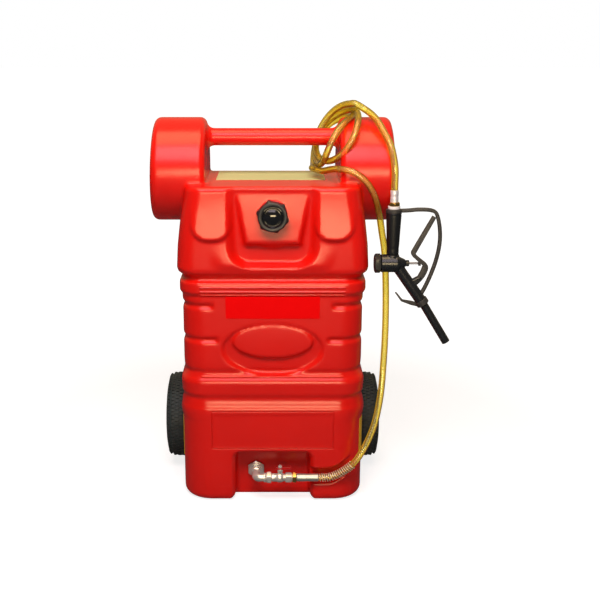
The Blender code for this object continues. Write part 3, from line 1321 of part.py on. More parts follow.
def ferrule_outline(length):
    """A crimped sleeve with a shallow groove round its middle."""
    radius, low = FERRULE_RADIUS, FERRULE_RADIUS - FERRULE_GROOVE
    outline = [(FLOW_RADIUS, 0), (radius, 0)]
    middle = length / 2
    outline += [(radius, middle - FERRULE_GROOVE * 2), (low, middle - FERRULE_GROOVE),
                (low, middle + FERRULE_GROOVE), (radius, middle + FERRULE_GROOVE * 2)]
    return [*outline, (radius, length), (FLOW_RADIUS, length)]


def coil_point(turns):
    """A point of the coil after this many turns. The first point is at the bottom of a turn."""
    angle = math.pi + 2 * math.pi * turns
    middle = COIL_MIDDLE + turns * COIL_MIDDLE_DRIFT
    rise = COIL_RISE + turns * COIL_RISE_DRIFT
    side = COIL_SIDE + turns * COIL_SIDE_DRIFT
    bow = COIL_BOW + turns * COIL_BOW_DRIFT
    return middle + rise * math.cos(angle) + side * math.sin(angle) + bow * math.cos(2 * angle)


def coil_path():
    """The coil's points, with a short straight run at each end."""
    steps = round(COIL_TURNS * COIL_TURN_STEPS)
    points = [coil_point(COIL_TURNS * step / steps) for step in range(steps + 1)]
    straight = 2 * HOSE_RADIUS
    slight = COIL_TURNS / steps / 8
    first = (coil_point(slight) - points[0]).normalized()
    last = (points[-1] - coil_point(COIL_TURNS - slight)).normalized()
    points[1] = points[0] + first * straight
    points[-2] = points[-1] - last * straight
    return points, first, last


def least_gap(path, radius, apart):
    """The least gap between two stretches of a tube that lie at least this many points apart."""
    closest = min(
        (path[i] - path[j]).length for i in range(len(path)) for j in range(i + apart, len(path))
    )
    return closest - 2 * radius


def helix(path, length, radius, turns, turn_steps, lead):
    """A spring's points round the first stretch of a path."""
    points = []
    total = turns * turn_steps
    lengths = [0.0]
    for before, after in zip(path, path[1:]):
        lengths.append(lengths[-1] + (after - before).length)
    for step in range(total + 1):
        wanted = lead + (length - lead) * step / total
        place = max(index for index in range(len(path) - 1) if lengths[index] <= wanted)
        run = (path[place + 1] - path[place]).normalized()
        middle = path[place] + run * (wanted - lengths[place])
        side = run.cross(Vector((0, 1, 0))).normalized()
        other = run.cross(side)
        angle = 2 * math.pi * step / turn_steps
        points.append(middle + radius * (math.cos(angle) * side + math.sin(angle) * other))
    return points


def hose(start_x):
    """The hose in three nodes, and the spring guard round its lower end."""
    diameter = 2 * HOSE_RADIUS
    coil, first, last = coil_path()
    start = Vector((start_x + SEAT_GAP, RUN_Y, OUTLET_HEIGHT))
    after = start + Vector((diameter, 0, 0))
    joint = coil[0]
    lower = smooth_path([after, *lower_route()[1:], joint - first * diameter], HOSE_POINT_SPACING)
    lower = [start, *lower, joint - first * SEAT_GAP]
    tube("hose_lower", lower, HOSE_RADIUS, 2, HOSE_YELLOW)
    print(f"least gap of the coil to itself: {1000 * least_gap(coil, HOSE_RADIUS, 8):.2f} mm")
    tube("hose_coil", coil, HOSE_RADIUS, 1, HOSE_YELLOW)
    top = Vector((NOZZLE_X, NOZZLE_Y, NOZZLE_TOP + SEAT_GAP))
    above = top + Vector((0, 0, diameter))
    over = [drum_middle() + Vector(step) for step in UPPER_ROUTE]
    upper = smooth_path([coil[-1] + last * diameter, *over, above], HOSE_POINT_SPACING)
    upper = [coil[-1] + last * SEAT_GAP, *upper, top]
    tube("hose_upper", upper, HOSE_RADIUS, 2, HOSE_YELLOW)
    around = (HOSE_RADIUS + SEAT_GAP + GUARD_WIRE_RADIUS) / math.cos(math.pi / GUARD_TURN_STEPS)
    spring = helix(lower, GUARD_LENGTH, around, GUARD_TURNS, GUARD_TURN_STEPS, 2 * GUARD_WIRE_RADIUS)
    print(f"least gap of the spring guard to itself: "
          f"{1000 * least_gap(spring, GUARD_WIRE_RADIUS, GUARD_TURN_STEPS - 1):.2f} mm")
    tube("spring_guard", spring, GUARD_WIRE_RADIUS, 1, STEEL)


def nozzle_inlet():
    """What hangs on the hose above the nozzle's own tube."""
    down = (0, 0, -1)
    place = (NOZZLE_X, NOZZLE_Y, NOZZLE_TOP)
    name = "upper_ferrule"
    placed(name, turned(name, ferrule_outline(UPPER_FERRULE_LENGTH), SMALL_STEPS), STEEL, place, down)
    top = NOZZLE_TOP - UPPER_FERRULE_LENGTH - SEAT_GAP
    nut = placed("inlet_nut", turned("inlet_nut", rod(hexed(INLET_NUT_HEX), 0, INLET_NUT_LENGTH), 6), BRASS,
                 (NOZZLE_X, NOZZLE_Y, top), down)
    hole = turned("inlet_nut_bore", rod(FLOW_RADIUS, -OVERRUN, INLET_NUT_LENGTH + OVERRUN), SMALL_STEPS)
    cut(nut, placed("inlet_nut_bore", hole, None, (NOZZLE_X, NOZZLE_Y, top), down))
    top -= INLET_NUT_LENGTH + SEAT_GAP
    ring = sleeve(FLOW_RADIUS, SEAL_RING_RADIUS, 0, SEAL_RING_LENGTH)
    placed("inlet_seal_ring", turned("inlet_seal_ring", ring, SMALL_STEPS), WHITE_NYLON,
           (NOZZLE_X, NOZZLE_Y, top), down)


def holder_frame():
    """The spout holder's start and direction."""
    start = Vector((NOZZLE_X + HOLDER_START_X, NOZZLE_Y, HOUSING_HEIGHT + HOLDER_START_Z))
    angle = math.radians(HOLDER_ANGLE)
    return start, Vector((math.cos(angle), 0, -math.sin(angle)))


def nozzle_body(carrier):
    """The casting: inlet tube, valve housing with its cone, spout holder and the trigger's ears."""
    centre = (NOZZLE_X, NOZZLE_Y, HOUSING_HEIGHT)
    along = (1, 0, 0)
    cone_start = HOUSING_RIGHT
    cone_end = cone_start + CONE_LENGTH
    outline = [(0, -HOUSING_LEFT), (HOUSING_RADIUS, -HOUSING_LEFT), (HOUSING_RADIUS, cone_start * 0.8),
               (HOUSING_RADIUS * 0.8, cone_start), (CONE_TOP_RADIUS, cone_end), (0, cone_end)]
    body = placed("nozzle_body", turned("nozzle_body", outline, MEDIUM_STEPS), BLACK_PLASTIC, centre, along,
                  carrier)
    inlet = rod(INLET_RADIUS, HOUSING_RADIUS / 2, INLET_TUBE_LENGTH)
    inlet = turned("inlet_tube", inlet, SMALL_STEPS, phase=0.5)
    unite(body, placed("inlet_tube", inlet, None, centre))
    start, run = holder_frame()
    holder = turned("spout_holder", rod(HOLDER_RADIUS, 0, HOLDER_LENGTH), MEDIUM_STEPS, phase=0.5)
    unite(body, placed("spout_holder", holder, None, start, run))
    reach = EAR_THICKNESS + TRIGGER_HALF_WIDTH + SEAT_GAP
    pivot_place = Vector((NOZZLE_X + PIVOT_X, NOZZLE_Y, PIVOT_Z))
    root = start + run * (pivot_place - start).dot(run)
    side = run * (TRIGGER_EYE_RADIUS + EAR_THICKNESS)
    eye = [(pivot_place.x + x, pivot_place.z + z)
           for x, z in arc(0, 0, TRIGGER_EYE_RADIUS, HOLDER_ANGLE * -1 + 10, HOLDER_ANGLE * -1 + 170, 5)]
    outline = [(root.x - side.x, root.z - side.z), (root.x + side.x, root.z + side.z), *eye]
    ears = plate("trigger_ears", outline, NOZZLE_Y - reach, NOZZLE_Y + reach)
    unite(body, placed("trigger_ears", ears, None))
    slot = TRIGGER_HALF_WIDTH + SEAT_GAP
    away = (pivot_place - root).normalized()
    floor = root + away * (HOLDER_RADIUS + SEAT_GAP)
    wide = run * (TRIGGER_EYE_RADIUS * 3)
    head = away * (TRIGGER_EYE_RADIUS * 4)
    corners = [floor - wide, floor + wide, floor + wide + head, floor - wide + head]
    gap = plate("ear_slot", [(corner.x, corner.z) for corner in corners], NOZZLE_Y - slot, NOZZLE_Y + slot)
    cut(body, placed("ear_slot", gap, None))
    hole = turned("pin_hole", rod(PIN_RADIUS + SEAT_GAP, -2 * reach, 2 * reach), TINY_STEPS)
    cut(body, placed("pin_hole", hole, None, pivot_place, (0, 1, 0)))
    open_end = -HOUSING_LEFT - OVERRUN
    rod_bore = ROD_RADIUS + SEAT_GAP
    hollow = [(0, open_end), (CHAMBER_RADIUS, open_end), (CHAMBER_RADIUS, CHAMBER_RIGHT),
              (PASSAGE_RADIUS, CHAMBER_RIGHT), (PASSAGE_RADIUS, PASSAGE_RIGHT), (rod_bore, PASSAGE_RIGHT),
              (rod_bore, cone_end + OVERRUN), (0, cone_end + OVERRUN)]
    inlet = rod(INLET_BORE_RADIUS, CHAMBER_RADIUS / 2, INLET_TUBE_LENGTH + OVERRUN)
    holder_bore = rod(HOLDER_BORE_RADIUS, HOLDER_RADIUS, HOLDER_LENGTH + OVERRUN)
    for name, outline, place, direction, steps, phase in (
        ("chamber", hollow, centre, along, MEDIUM_STEPS, 0.0),
        ("inlet_bore", inlet, centre, None, SMALL_STEPS, 0.3),
        ("holder_bore", holder_bore, start, run, SMALL_STEPS, 0.4),
    ):
        cut(body, placed(name, turned(name, outline, steps, phase=phase), None, place, direction))


def guard_stations(eye_height):
    """The guard's middle line, from the eye round the inlet tube to its foot on the spout holder."""
    start, run = holder_frame()
    away = Vector((-run.z, 0, run.x))
    foot = start + run * (HOLDER_LENGTH * GUARD_FOOT_SHARE) + away * (HOLDER_RADIUS + SEAT_GAP)
    top_x, top_z = NOZZLE_X + GRIP_TOP_RADIUS * GUARD_ROOT_SHARE, eye_height
    half = STRAP_HALF_THICKNESS
    line = [(top_x, top_z, half)]
    for share_x, share_z in GUARD_BOW_SHARES:
        x = foot.x + (NOZZLE_X + GUARD_REACH - foot.x) * share_x
        line.append((x, foot.z + (top_z - foot.z) * share_z, half))
    line.append((foot.x + away.x * half, foot.z + away.z * half, half))
    return line


def trigger(carrier):
    """The bent lever, its flat that pushes the rod, and the pin that it turns on."""
    place = Vector((NOZZLE_X + PIVOT_X, NOZZLE_Y, PIVOT_Z))
    stations = [(TRIGGER_REACH * across, TRIGGER_HEIGHT * up, TRIGGER_THICKNESS * half)
                for across, up, half in TRIGGER_SHARES]
    mesh = plate("trigger", strap_outline(stations), -TRIGGER_HALF_WIDTH, TRIGGER_HALF_WIDTH)
    lever = placed("trigger", mesh, BLACK_PLASTIC, place, None, carrier)
    lever.matrix_world.translation = place
    eye = rod(TRIGGER_EYE_RADIUS, -TRIGGER_HALF_WIDTH, TRIGGER_HALF_WIDTH)
    eye = turned("trigger_eye", eye, SMALL_STEPS)
    unite(lever, placed("trigger_eye", eye, None, place, (0, 1, 0)))
    push_x = ROD_END - PIVOT_X + SEAT_GAP
    push_z = HOUSING_HEIGHT - PIVOT_Z
    block = box_outline(push_x, push_x + TRIGGER_THICKNESS, push_z - 2 * ROD_RADIUS, push_z + 2 * ROD_RADIUS)
    block = plate("push_flat", block, -TRIGGER_HALF_WIDTH * 0.8, TRIGGER_HALF_WIDTH * 0.8)
    unite(lever, placed("push_flat", block, None, place))
    hole = turned("trigger_bore", rod(PIN_RADIUS + SEAT_GAP, -OVERRUN, OVERRUN), TINY_STEPS)
    cut(lever, placed("trigger_bore", hole, None, place, (0, 1, 0)))
    half = TRIGGER_HALF_WIDTH + SEAT_GAP + EAR_THICKNESS
    pin = turned("trigger_pin", rod(PIN_RADIUS, -half, half), TINY_STEPS)
    placed("trigger_pin", pin, STEEL, place, (0, 1, 0), carrier)


def guard(eye_low, eye_high, carrier):
    """The trigger guard: an eye round the inlet tube and a bow down to the spout holder."""
    middle = (eye_low + eye_high) / 2
    outline = strap_outline(guard_stations(middle))
    mesh = plate("trigger_guard", outline, NOZZLE_Y - GUARD_HALF_WIDTH, NOZZLE_Y + GUARD_HALF_WIDTH)
    bow = placed("trigger_guard", mesh, BLACK_PLASTIC, (0, 0, 0), None, carrier)
    eye = turned("guard_eye", rod(GRIP_TOP_RADIUS, eye_low, eye_high), MEDIUM_STEPS)
    unite(bow, placed("guard_eye", eye, None, (NOZZLE_X, NOZZLE_Y, 0)))
    hole = rod(INLET_RADIUS + SEAT_GAP, eye_low - OVERRUN, eye_high + OVERRUN)
    hole = turned("guard_eye_bore", hole, SMALL_STEPS)
    cut(bow, placed("guard_eye_bore", hole, None, (NOZZLE_X, NOZZLE_Y, 0)))
    start, run = holder_frame()
    hole = turned("guard_foot_bed", rod(HOLDER_RADIUS + SEAT_GAP, 0, HOLDER_LENGTH), MEDIUM_STEPS)
    cut(bow, placed("guard_foot_bed", hole, None, start, run))


def nozzle_valve(carrier):
    """Inside the housing: the end cap, the poppet with its rod, the spring and the gland."""
    centre = (NOZZLE_X, NOZZLE_Y, HOUSING_HEIGHT)
    along = (1, 0, 0)
    face = -HOUSING_LEFT - SEAT_GAP
    end_cap = turned("end_cap", rod(hexed(END_CAP_HEX), face - END_CAP_LENGTH, face), 6)
    plug = rod(CHAMBER_RADIUS - SEAT_GAP, face - END_CAP_LENGTH / 2, face + END_CAP_PLUG)
    plug = turned("end_cap_plug", plug, SMALL_STEPS)
    end_cap = placed("end_cap", end_cap, BLACK_PLASTIC, centre, along, carrier)
    unite(end_cap, placed("end_cap_plug", plug, None, centre, along))
    inside = face + END_CAP_PLUG
    disc_end = CHAMBER_RIGHT - SEAT_GAP
    disc_start = disc_end - POPPET_THICKNESS
    tip = ROD_RADIUS / 3
    poppet = [(0, disc_start), (POPPET_RADIUS, disc_start), (POPPET_RADIUS, disc_end),
              (ROD_RADIUS, disc_end), (ROD_RADIUS, ROD_END - tip), (ROD_RADIUS - tip, ROD_END), (0, ROD_END)]
    placed("poppet", turned("poppet", poppet, SMALL_STEPS), STEEL, centre, along, carrier)
    low = inside + SEAT_GAP + SPRING_WIRE_RADIUS
    high = disc_start - SEAT_GAP - SPRING_WIRE_RADIUS
    line = [Vector((NOZZLE_X + end, NOZZLE_Y, HOUSING_HEIGHT)) for end in (low, high)]
    points = helix(line, high - low, SPRING_RADIUS, SPRING_TURNS, GUARD_TURN_STEPS, 0.0)
    spring = tube("poppet_spring", points, SPRING_WIRE_RADIUS, 1, STEEL)
    spring.parent = carrier
    spring.matrix_parent_inverse = carrier.matrix_world.inverted()
    gland_start = HOUSING_RIGHT + CONE_LENGTH + SEAT_GAP
    gland_end = gland_start + GLAND_LENGTH
    gland = turned("rod_gland", rod(hexed(GLAND_HEX), gland_start, gland_end), 6)
    gland = placed("rod_gland", gland, BRASS, centre, along, carrier)
    hole = rod(ROD_RADIUS + SEAT_GAP, gland_start - OVERRUN, gland_end + OVERRUN)
    hole = turned("rod_gland_bore", hole, TINY_STEPS)
    cut(gland, placed("rod_gland_bore", hole, None, centre, along))


def grip(top, carrier):
    """The tapered sleeve on the inlet tube, between the guard's eye and the housing."""
    low = HOUSING_HEIGHT + HOUSING_RADIUS + SEAT_GAP
    bore = INLET_RADIUS + SEAT_GAP
    edge = (GRIP_TOP_RADIUS - INLET_RADIUS) / 4
    outline = [(bore, low), (GRIP_BOTTOM_RADIUS, low), (GRIP_TOP_RADIUS, top - edge),
               (GRIP_TOP_RADIUS - edge, top), (bore, top)]
    mesh = turned("grip_sleeve", outline, MEDIUM_STEPS)
    placed("grip_sleeve", mesh, RUBBER, (NOZZLE_X, NOZZLE_Y, 0), None, carrier)


def spout(carrier):
    """The bent pipe in the end of the holder."""
    start, run = holder_frame()
    end = start + run * HOLDER_LENGTH
    angle = math.radians(SPOUT_ANGLE)
    fall = Vector((math.cos(angle), 0, -math.sin(angle)))
    path = [end - run * SPOUT_INSERT, end, end + (run + fall) * SPOUT_RADIUS / 2]
    path.append(path[-1] + fall * (SPOUT_LENGTH - SPOUT_RADIUS))
    mesh = piped("spout", path, [SPOUT_RADIUS] * len(path), SPOUT_RADIUS - SPOUT_WALL, SMALL_STEPS,
                 Vector((0, 1, 0)))
    placed("spout", mesh, BLACK_PLASTIC, (0, 0, 0), None, carrier)


def hook(carrier):
    """The hook that hangs the nozzle up: a collar on the holder's end and a bent arm."""
    start, run = holder_frame()
    collar_end = HOLDER_LENGTH - SEAT_GAP
    collar_start = collar_end - HOOK_COLLAR_LENGTH
    outer = HOLDER_RADIUS + HOOK_COLLAR_WALL
    collar = placed("nozzle_hook", turned("nozzle_hook", rod(outer, collar_start, collar_end), MEDIUM_STEPS),
                    BLACK_PLASTIC, start, run, carrier)
    out = Vector((run.z, 0, -run.x))
    root = start + run * (collar_start + collar_end) / 2 + out * HOLDER_RADIUS
    half = HOOK_COLLAR_LENGTH / 2
    elbow_place = root + Vector((-HOOK_REACH, 0, HOOK_RISE))
    tip = elbow_place + Vector((-HOOK_TIP_REACH, 0, HOOK_TIP_RISE))
    thin = HOOK_HALF_WIDTH / 2
    outline = [
        (root.x + run.x * half + out.x * -thin, root.z + run.z * half - out.z * thin),
        (elbow_place.x - thin, elbow_place.z - thin),
        (tip.x - thin, tip.z),
        (tip.x + thin, tip.z + thin),
        (elbow_place.x + thin, elbow_place.z + thin),
        (root.x - run.x * half - out.x * thin, root.z - run.z * half - out.z * thin),
    ]
    arm = plate("hook_arm", outline, NOZZLE_Y - HOOK_HALF_WIDTH, NOZZLE_Y + HOOK_HALF_WIDTH)
    unite(collar, placed("hook_arm", arm, None))
    hole = rod(HOLDER_RADIUS + SEAT_GAP, -OVERRUN, HOLDER_LENGTH + OVERRUN)
    hole = turned("hook_bore", hole, MEDIUM_STEPS)
    cut(collar, placed("hook_bore", hole, None, start, run))


def nozzle():
    """The trigger nozzle, hung from the hose's end and turning about the inlet's axis."""
    nozzle_inlet()
    carrier = pivot("nozzle_axis", (NOZZLE_X, NOZZLE_Y, TUBE_TOP))
    nozzle_body(carrier)
    eye_high = TUBE_TOP - SEAT_GAP
    eye_low = eye_high - GUARD_EYE_HEIGHT
    guard(eye_low, eye_high, carrier)
    grip(eye_low - SEAT_GAP, carrier)
    nozzle_valve(carrier)
    trigger(carrier)
    spout(carrier)
    hook(carrier)


def main():
    clear_scene()
    tank()
    labels()
    cap()
    axle_parts()
    for side in (-1, 1):
        wheel(side)
    hose(outlet())
    nozzle()


main()
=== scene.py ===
# %% [markdown]
# # A wheeled fuel caddy
# The object is a red moulded tank on two wheels. A delivery hose leaves its foot, climbs its side, is looped
# round the handle bar and ends in a trigger nozzle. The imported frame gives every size. This lesson gives each
# part its real surface: soft moulded plastic, clear hose, plated brass, cast and moulded nozzle parts.

import json
import math

import bmesh
import bpy
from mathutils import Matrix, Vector

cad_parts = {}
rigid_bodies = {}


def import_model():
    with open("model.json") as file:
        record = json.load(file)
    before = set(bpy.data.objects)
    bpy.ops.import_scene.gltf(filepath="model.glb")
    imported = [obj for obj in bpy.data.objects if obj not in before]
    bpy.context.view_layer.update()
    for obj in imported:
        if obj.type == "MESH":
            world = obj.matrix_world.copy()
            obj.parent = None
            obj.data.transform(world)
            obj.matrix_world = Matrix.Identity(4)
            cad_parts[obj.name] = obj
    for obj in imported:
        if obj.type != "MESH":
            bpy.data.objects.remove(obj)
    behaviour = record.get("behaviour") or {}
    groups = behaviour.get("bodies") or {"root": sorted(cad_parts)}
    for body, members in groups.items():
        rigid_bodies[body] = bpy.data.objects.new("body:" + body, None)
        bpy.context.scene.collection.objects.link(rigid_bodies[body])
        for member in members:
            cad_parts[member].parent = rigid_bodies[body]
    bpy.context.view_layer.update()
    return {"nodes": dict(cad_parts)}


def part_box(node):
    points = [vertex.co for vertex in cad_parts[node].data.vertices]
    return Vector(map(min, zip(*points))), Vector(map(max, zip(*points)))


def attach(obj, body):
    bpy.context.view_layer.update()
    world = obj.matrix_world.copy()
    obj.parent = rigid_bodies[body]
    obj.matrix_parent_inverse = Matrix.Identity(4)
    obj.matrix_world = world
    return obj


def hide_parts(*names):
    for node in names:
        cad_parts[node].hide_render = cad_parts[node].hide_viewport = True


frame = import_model()

# %% [markdown]
# ## Camera
# The photograph was taken from a little above the handle, from the front. The camera stands where the long
# sides of the tank meet at the right height, and a small shift sets the object left of the middle.

# %% Camera
CAMERA_PLACE = Vector((0.0, -2.490, 1.185))
CAMERA_PITCH_DEGREES = 15.33
CAMERA_LENS_MM = 59.04
CAMERA_SHIFT = 0.0455
SENSOR_WIDTH_MM = 36

bpy.ops.object.camera_add(location=CAMERA_PLACE)
camera = bpy.context.object
camera.rotation_euler = (math.radians(90 - CAMERA_PITCH_DEGREES), 0, 0)
camera.data.lens = CAMERA_LENS_MM
camera.data.sensor_width = SENSOR_WIDTH_MM
camera.data.shift_x = CAMERA_SHIFT
bpy.context.scene.camera = camera
print("camera stands", round(-CAMERA_PLACE.y, 2), "m in front of the origin")

# %% [markdown]
# ## Modelling helpers
# Operators act on all that is selected, so each helper first drops every selection. A turned piece starts as
# a circle primitive. Its corners become the outline of half a section, and Spin carries that outline round.
# A finished piece keeps its place in its mesh, so its object goes back to the origin.


# %% Selection and placing
def pick_only(thing):
    if bpy.context.mode != "OBJECT":
        bpy.ops.object.mode_set(mode="OBJECT")
    bpy.ops.object.select_all(action="DESELECT")
    thing.select_set(True)
    bpy.context.view_layer.objects.active = thing


def named(thing, name):
    thing.name = name
    thing.data.name = name
    return thing


def settle(thing, place=(0, 0, 0), direction=None):
    """Turns the piece's own Z to a direction, moves it, and leaves its object at the origin."""
    pick_only(thing)
    if direction is not None:
        thing.rotation_euler = Vector(direction).to_track_quat("Z", "Y").to_euler()
    thing.location = place
    bpy.ops.object.transform_apply(location=True, rotation=True, scale=True)
    return thing


def tidy_faces(thing, merge=0.00001):
    """Closes seams and turns the faces outwards."""
    pick_only(thing)
    bpy.ops.object.mode_set(mode="EDIT")
    bpy.ops.mesh.select_all(action="SELECT")
    bpy.ops.mesh.remove_doubles(threshold=merge)
    bpy.ops.mesh.delete_loose()
    bpy.ops.mesh.select_all(action="SELECT")
    bpy.ops.mesh.normals_make_consistent(inside=False)
    bpy.ops.object.mode_set(mode="OBJECT")
    return thing


def apply_step(thing, kind, **settings):
    """Adds one modifier, sets it and applies it."""
    pick_only(thing)
    step = thing.modifiers.new(kind.lower(), kind)
    for name, value in settings.items():
        setattr(step, name, value)
    bpy.ops.object.modifier_apply(modifier=step.name)
    return thing


def rounded(thing, width, segments=2, angle=30):
    """Rounds the sharp edges and shades the piece smooth."""
    apply_step(thing, "BEVEL", width=width, segments=segments, limit_method="ANGLE",
               angle_limit=math.radians(angle), harden_normals=False)
    return smooth(thing)


def smooth(thing, angle=35):
    pick_only(thing)
    bpy.ops.object.shade_smooth_by_angle(angle=math.radians(angle))
    return thing


def joined(name, things):
    """Several meshes as one piece."""
    pick_only(things[0])
    for thing in things:
        thing.select_set(True)
    bpy.ops.object.join()
    return named(bpy.context.object, name)


def cut_away(thing, cutter, operation="DIFFERENCE", solver="EXACT"):
    apply_step(thing, "BOOLEAN", object=cutter, operation=operation, solver=solver)
    bpy.data.objects.remove(cutter)
    return thing


print("helpers are ready")


# %% Turned and extruded pieces
def sketched(name, corners, fill="NOTHING"):
    """A circle primitive with its corners moved to these places, in edit mode and selected."""
    bpy.ops.mesh.primitive_circle_add(vertices=len(corners), radius=1, fill_type=fill)
    piece = named(bpy.context.object, name)
    pick_only(piece)
    bpy.ops.object.mode_set(mode="EDIT")
    sketch = bmesh.from_edit_mesh(piece.data)
    sketch.verts.ensure_lookup_table()
    for point, corner in zip(sketch.verts, corners):
        point.co = corner
    bmesh.update_edit_mesh(piece.data)
    bpy.ops.mesh.select_all(action="SELECT")
    return piece


def turned(name, outline, steps=64, place=(0, 0, 0), direction=(0, 0, 1)):
    """A piece turned about an axis. The outline is a closed loop of (radius, height)."""
    piece = sketched(name, [(radius, 0, height) for radius, height in outline])
    bpy.ops.mesh.spin(steps=steps, angle=2 * math.pi, center=(0, 0, 0), axis=(0, 0, 1))
    bpy.ops.object.mode_set(mode="OBJECT")
    return settle(tidy_faces(piece), place, direction)


def extruded(name, corners, shift):
    """A filled outline drawn out along a shift."""
    piece = sketched(name, corners, "NGON")
    bpy.ops.mesh.extrude_region_move(TRANSFORM_OT_translate={"value": shift})
    bpy.ops.object.mode_set(mode="OBJECT")
    return tidy_faces(piece)


print("turning and extruding are ready")

# %% Profiles and nuts
HEX_FACE_SHARE = 0.93
HEX_CHAMFER_DEGREES = 28


def rod(radius, low, high):
    return [(0, low), (radius, low), (radius, high), (0, high)]


def sleeve(inner, outer, low, high):
    return [(inner, low), (outer, low), (outer, high), (inner, high)]


def mirrored(half):
    """A profile followed by its mirror image."""
    return half + [(radius, -height) for radius, height in reversed(half)]


def arc(centre, radius, start, end, steps):
    """Points on an arc, from one angle to another in degrees."""
    points = []
    for step in range(steps + 1):
        angle = math.radians(start + (end - start) * step / steps)
        points.append((centre[0] + radius * math.cos(angle), centre[1] + radius * math.sin(angle)))
    return points


def hex_nut(name, half_flats, low, high, bore, place, direction):
    """A hexagon whose corners are turned off at both ends, as on a real nut."""
    corner = half_flats / math.cos(math.pi / 6)
    bpy.ops.mesh.primitive_cylinder_add(vertices=6, radius=corner, depth=high - low,
                                        location=(0, 0, (low + high) / 2))
    piece = settle(named(bpy.context.object, name), (0, 0, (low + high) / 2))
    face = half_flats * HEX_FACE_SHARE
    fall = (corner - face) * math.tan(math.radians(HEX_CHAMFER_DEGREES))
    envelope = [(bore, low), (face, low), (corner * 1.001, low + fall), (corner * 1.001, high - fall),
                (face, high), (bore, high)]
    cut_away(piece, turned(f"{name}_envelope", envelope, 48), "INTERSECT")
    rounded(piece, half_flats / 60, 2, 20)
    return settle(piece, place, direction)


print("nuts are ready")


# %% Lines and wires
def through(points, steps):
    """A smooth line through points of any dimension, with this many steps between two of them."""
    knots = [Vector(point) for point in points]
    ends = [2 * knots[0] - knots[1]] + knots + [2 * knots[-1] - knots[-2]]
    line = []
    for index in range(1, len(ends) - 2):
        p0, p1, p2, p3 = ends[index - 1: index + 3]
        for step in range(steps):
            t = step / steps
            line.append(0.5 * (2 * p1 + (p2 - p0) * t + (2 * p0 - 5 * p1 + 4 * p2 - p3) * t**2
                               + (3 * p1 - p0 - 3 * p2 + p3) * t**3))
    line.append(knots[-1])
    return line


def wire(name, line, radius, resolution=4, shares=None):
    """A round solid along a line, kept as a curve."""
    curve = bpy.data.curves.new(name, "CURVE")
    curve.dimensions = "3D"
    spline = curve.splines.new("POLY")
    spline.points.add(len(line) - 1)
    for index, place in enumerate(line):
        spline.points[index].co = (*place, 1.0)
        spline.points[index].radius = shares[index] if shares else 1.0
    spline.use_smooth = True
    curve.bevel_depth = radius
    curve.bevel_resolution = resolution
    curve.use_fill_caps = True
    piece = bpy.data.objects.new(name, curve)
    bpy.context.scene.collection.objects.link(piece)
    return piece


def as_mesh(thing):
    """A curve made a mesh, with its end caps merged to its wall."""
    pick_only(thing)
    bpy.ops.object.convert(target="MESH")
    return smooth(tidy_faces(bpy.context.object), 50)


print("lines and wires are ready")


# %% Meshes through rings of points
def from_points(name, points, faces):
    mesh = bpy.data.meshes.new(name)
    mesh.from_pydata(points, [], faces)
    piece = bpy.data.objects.new(name, mesh)
    bpy.context.scene.collection.objects.link(piece)
    return tidy_faces(piece)


def ring_walls(rings, closed=False):
    """Faces between rings of as many points each. A closed row of rings ends where it began."""
    count = len(rings[0])
    faces = []
    for level in range(len(rings) if closed else len(rings) - 1):
        base, over = level * count, (level + 1) % len(rings) * count
        for index in range(count):
            after = (index + 1) % count
            faces.append((base + index, base + after, over + after, over + index))
    return faces


def stacked(name, rings):
    """A closed shell through rings of as many points each."""
    count = len(rings[0])
    points = [point for ring in rings for point in ring]
    ends = [tuple(range(count)), tuple(range(len(points) - count, len(points)))]
    return from_points(name, points, ends + ring_walls(rings))


def prism(name, outline, axis, low, high):
    """A bar between two places on an axis (0, 1 or 2), with its outline in the other two."""
    rings = [[(*corner[:axis], value, *corner[axis:]) for corner in outline] for value in (low, high)]
    return stacked(name, rings)


print("ring meshes are ready")


# %% Measures and shares
def span(node, axis):
    """Where a solid of the frame begins and ends along an axis."""
    low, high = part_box(node)
    return getattr(low, axis), getattr(high, axis)


def share_of(value, low, high):
    """Where a value lies between two others, from 0 to 1."""
    return min(max((value - low) / (high - low), 0.0), 1.0)


def between(low, high, share):
    return low + (high - low) * share


def steadily(value, low, high):
    """Zero below one value, one above the other, and a smooth rise between them."""
    t = share_of(value, low, high)
    return t * t * (3 - 2 * t)


SIDES = ((-1, "left"), (1, "right"))

# %% [markdown]
# ## Finishes
# Each finish is one set of nodes on a Principled BSDF. Object coordinates drive every pattern, because a
# finished piece has its place in its mesh. Noise gives the colour a slight drift, the gloss small changes and
# the surface its grain. A value that is the same all over is set on the shader itself.


# %% Nodes and one finish with its grain
def set_inputs(node, **values):
    """Sets input values. A low line in a name stands for a space."""
    for socket, value in values.items():
        node.inputs[socket.replace("_", " ")].default_value = value
    return node


def add_node(tree, kind, operation=None, **values):
    node = tree.nodes.new(f"ShaderNode{kind}")
    if operation:
        node.operation = operation
    return set_inputs(node, **values)


def link_all(tree, *links):
    """Makes links, each one given as (node, output, node, input)."""
    for source, output, target, socket in links:
        tree.links.new(source.outputs[output], target.inputs[socket])


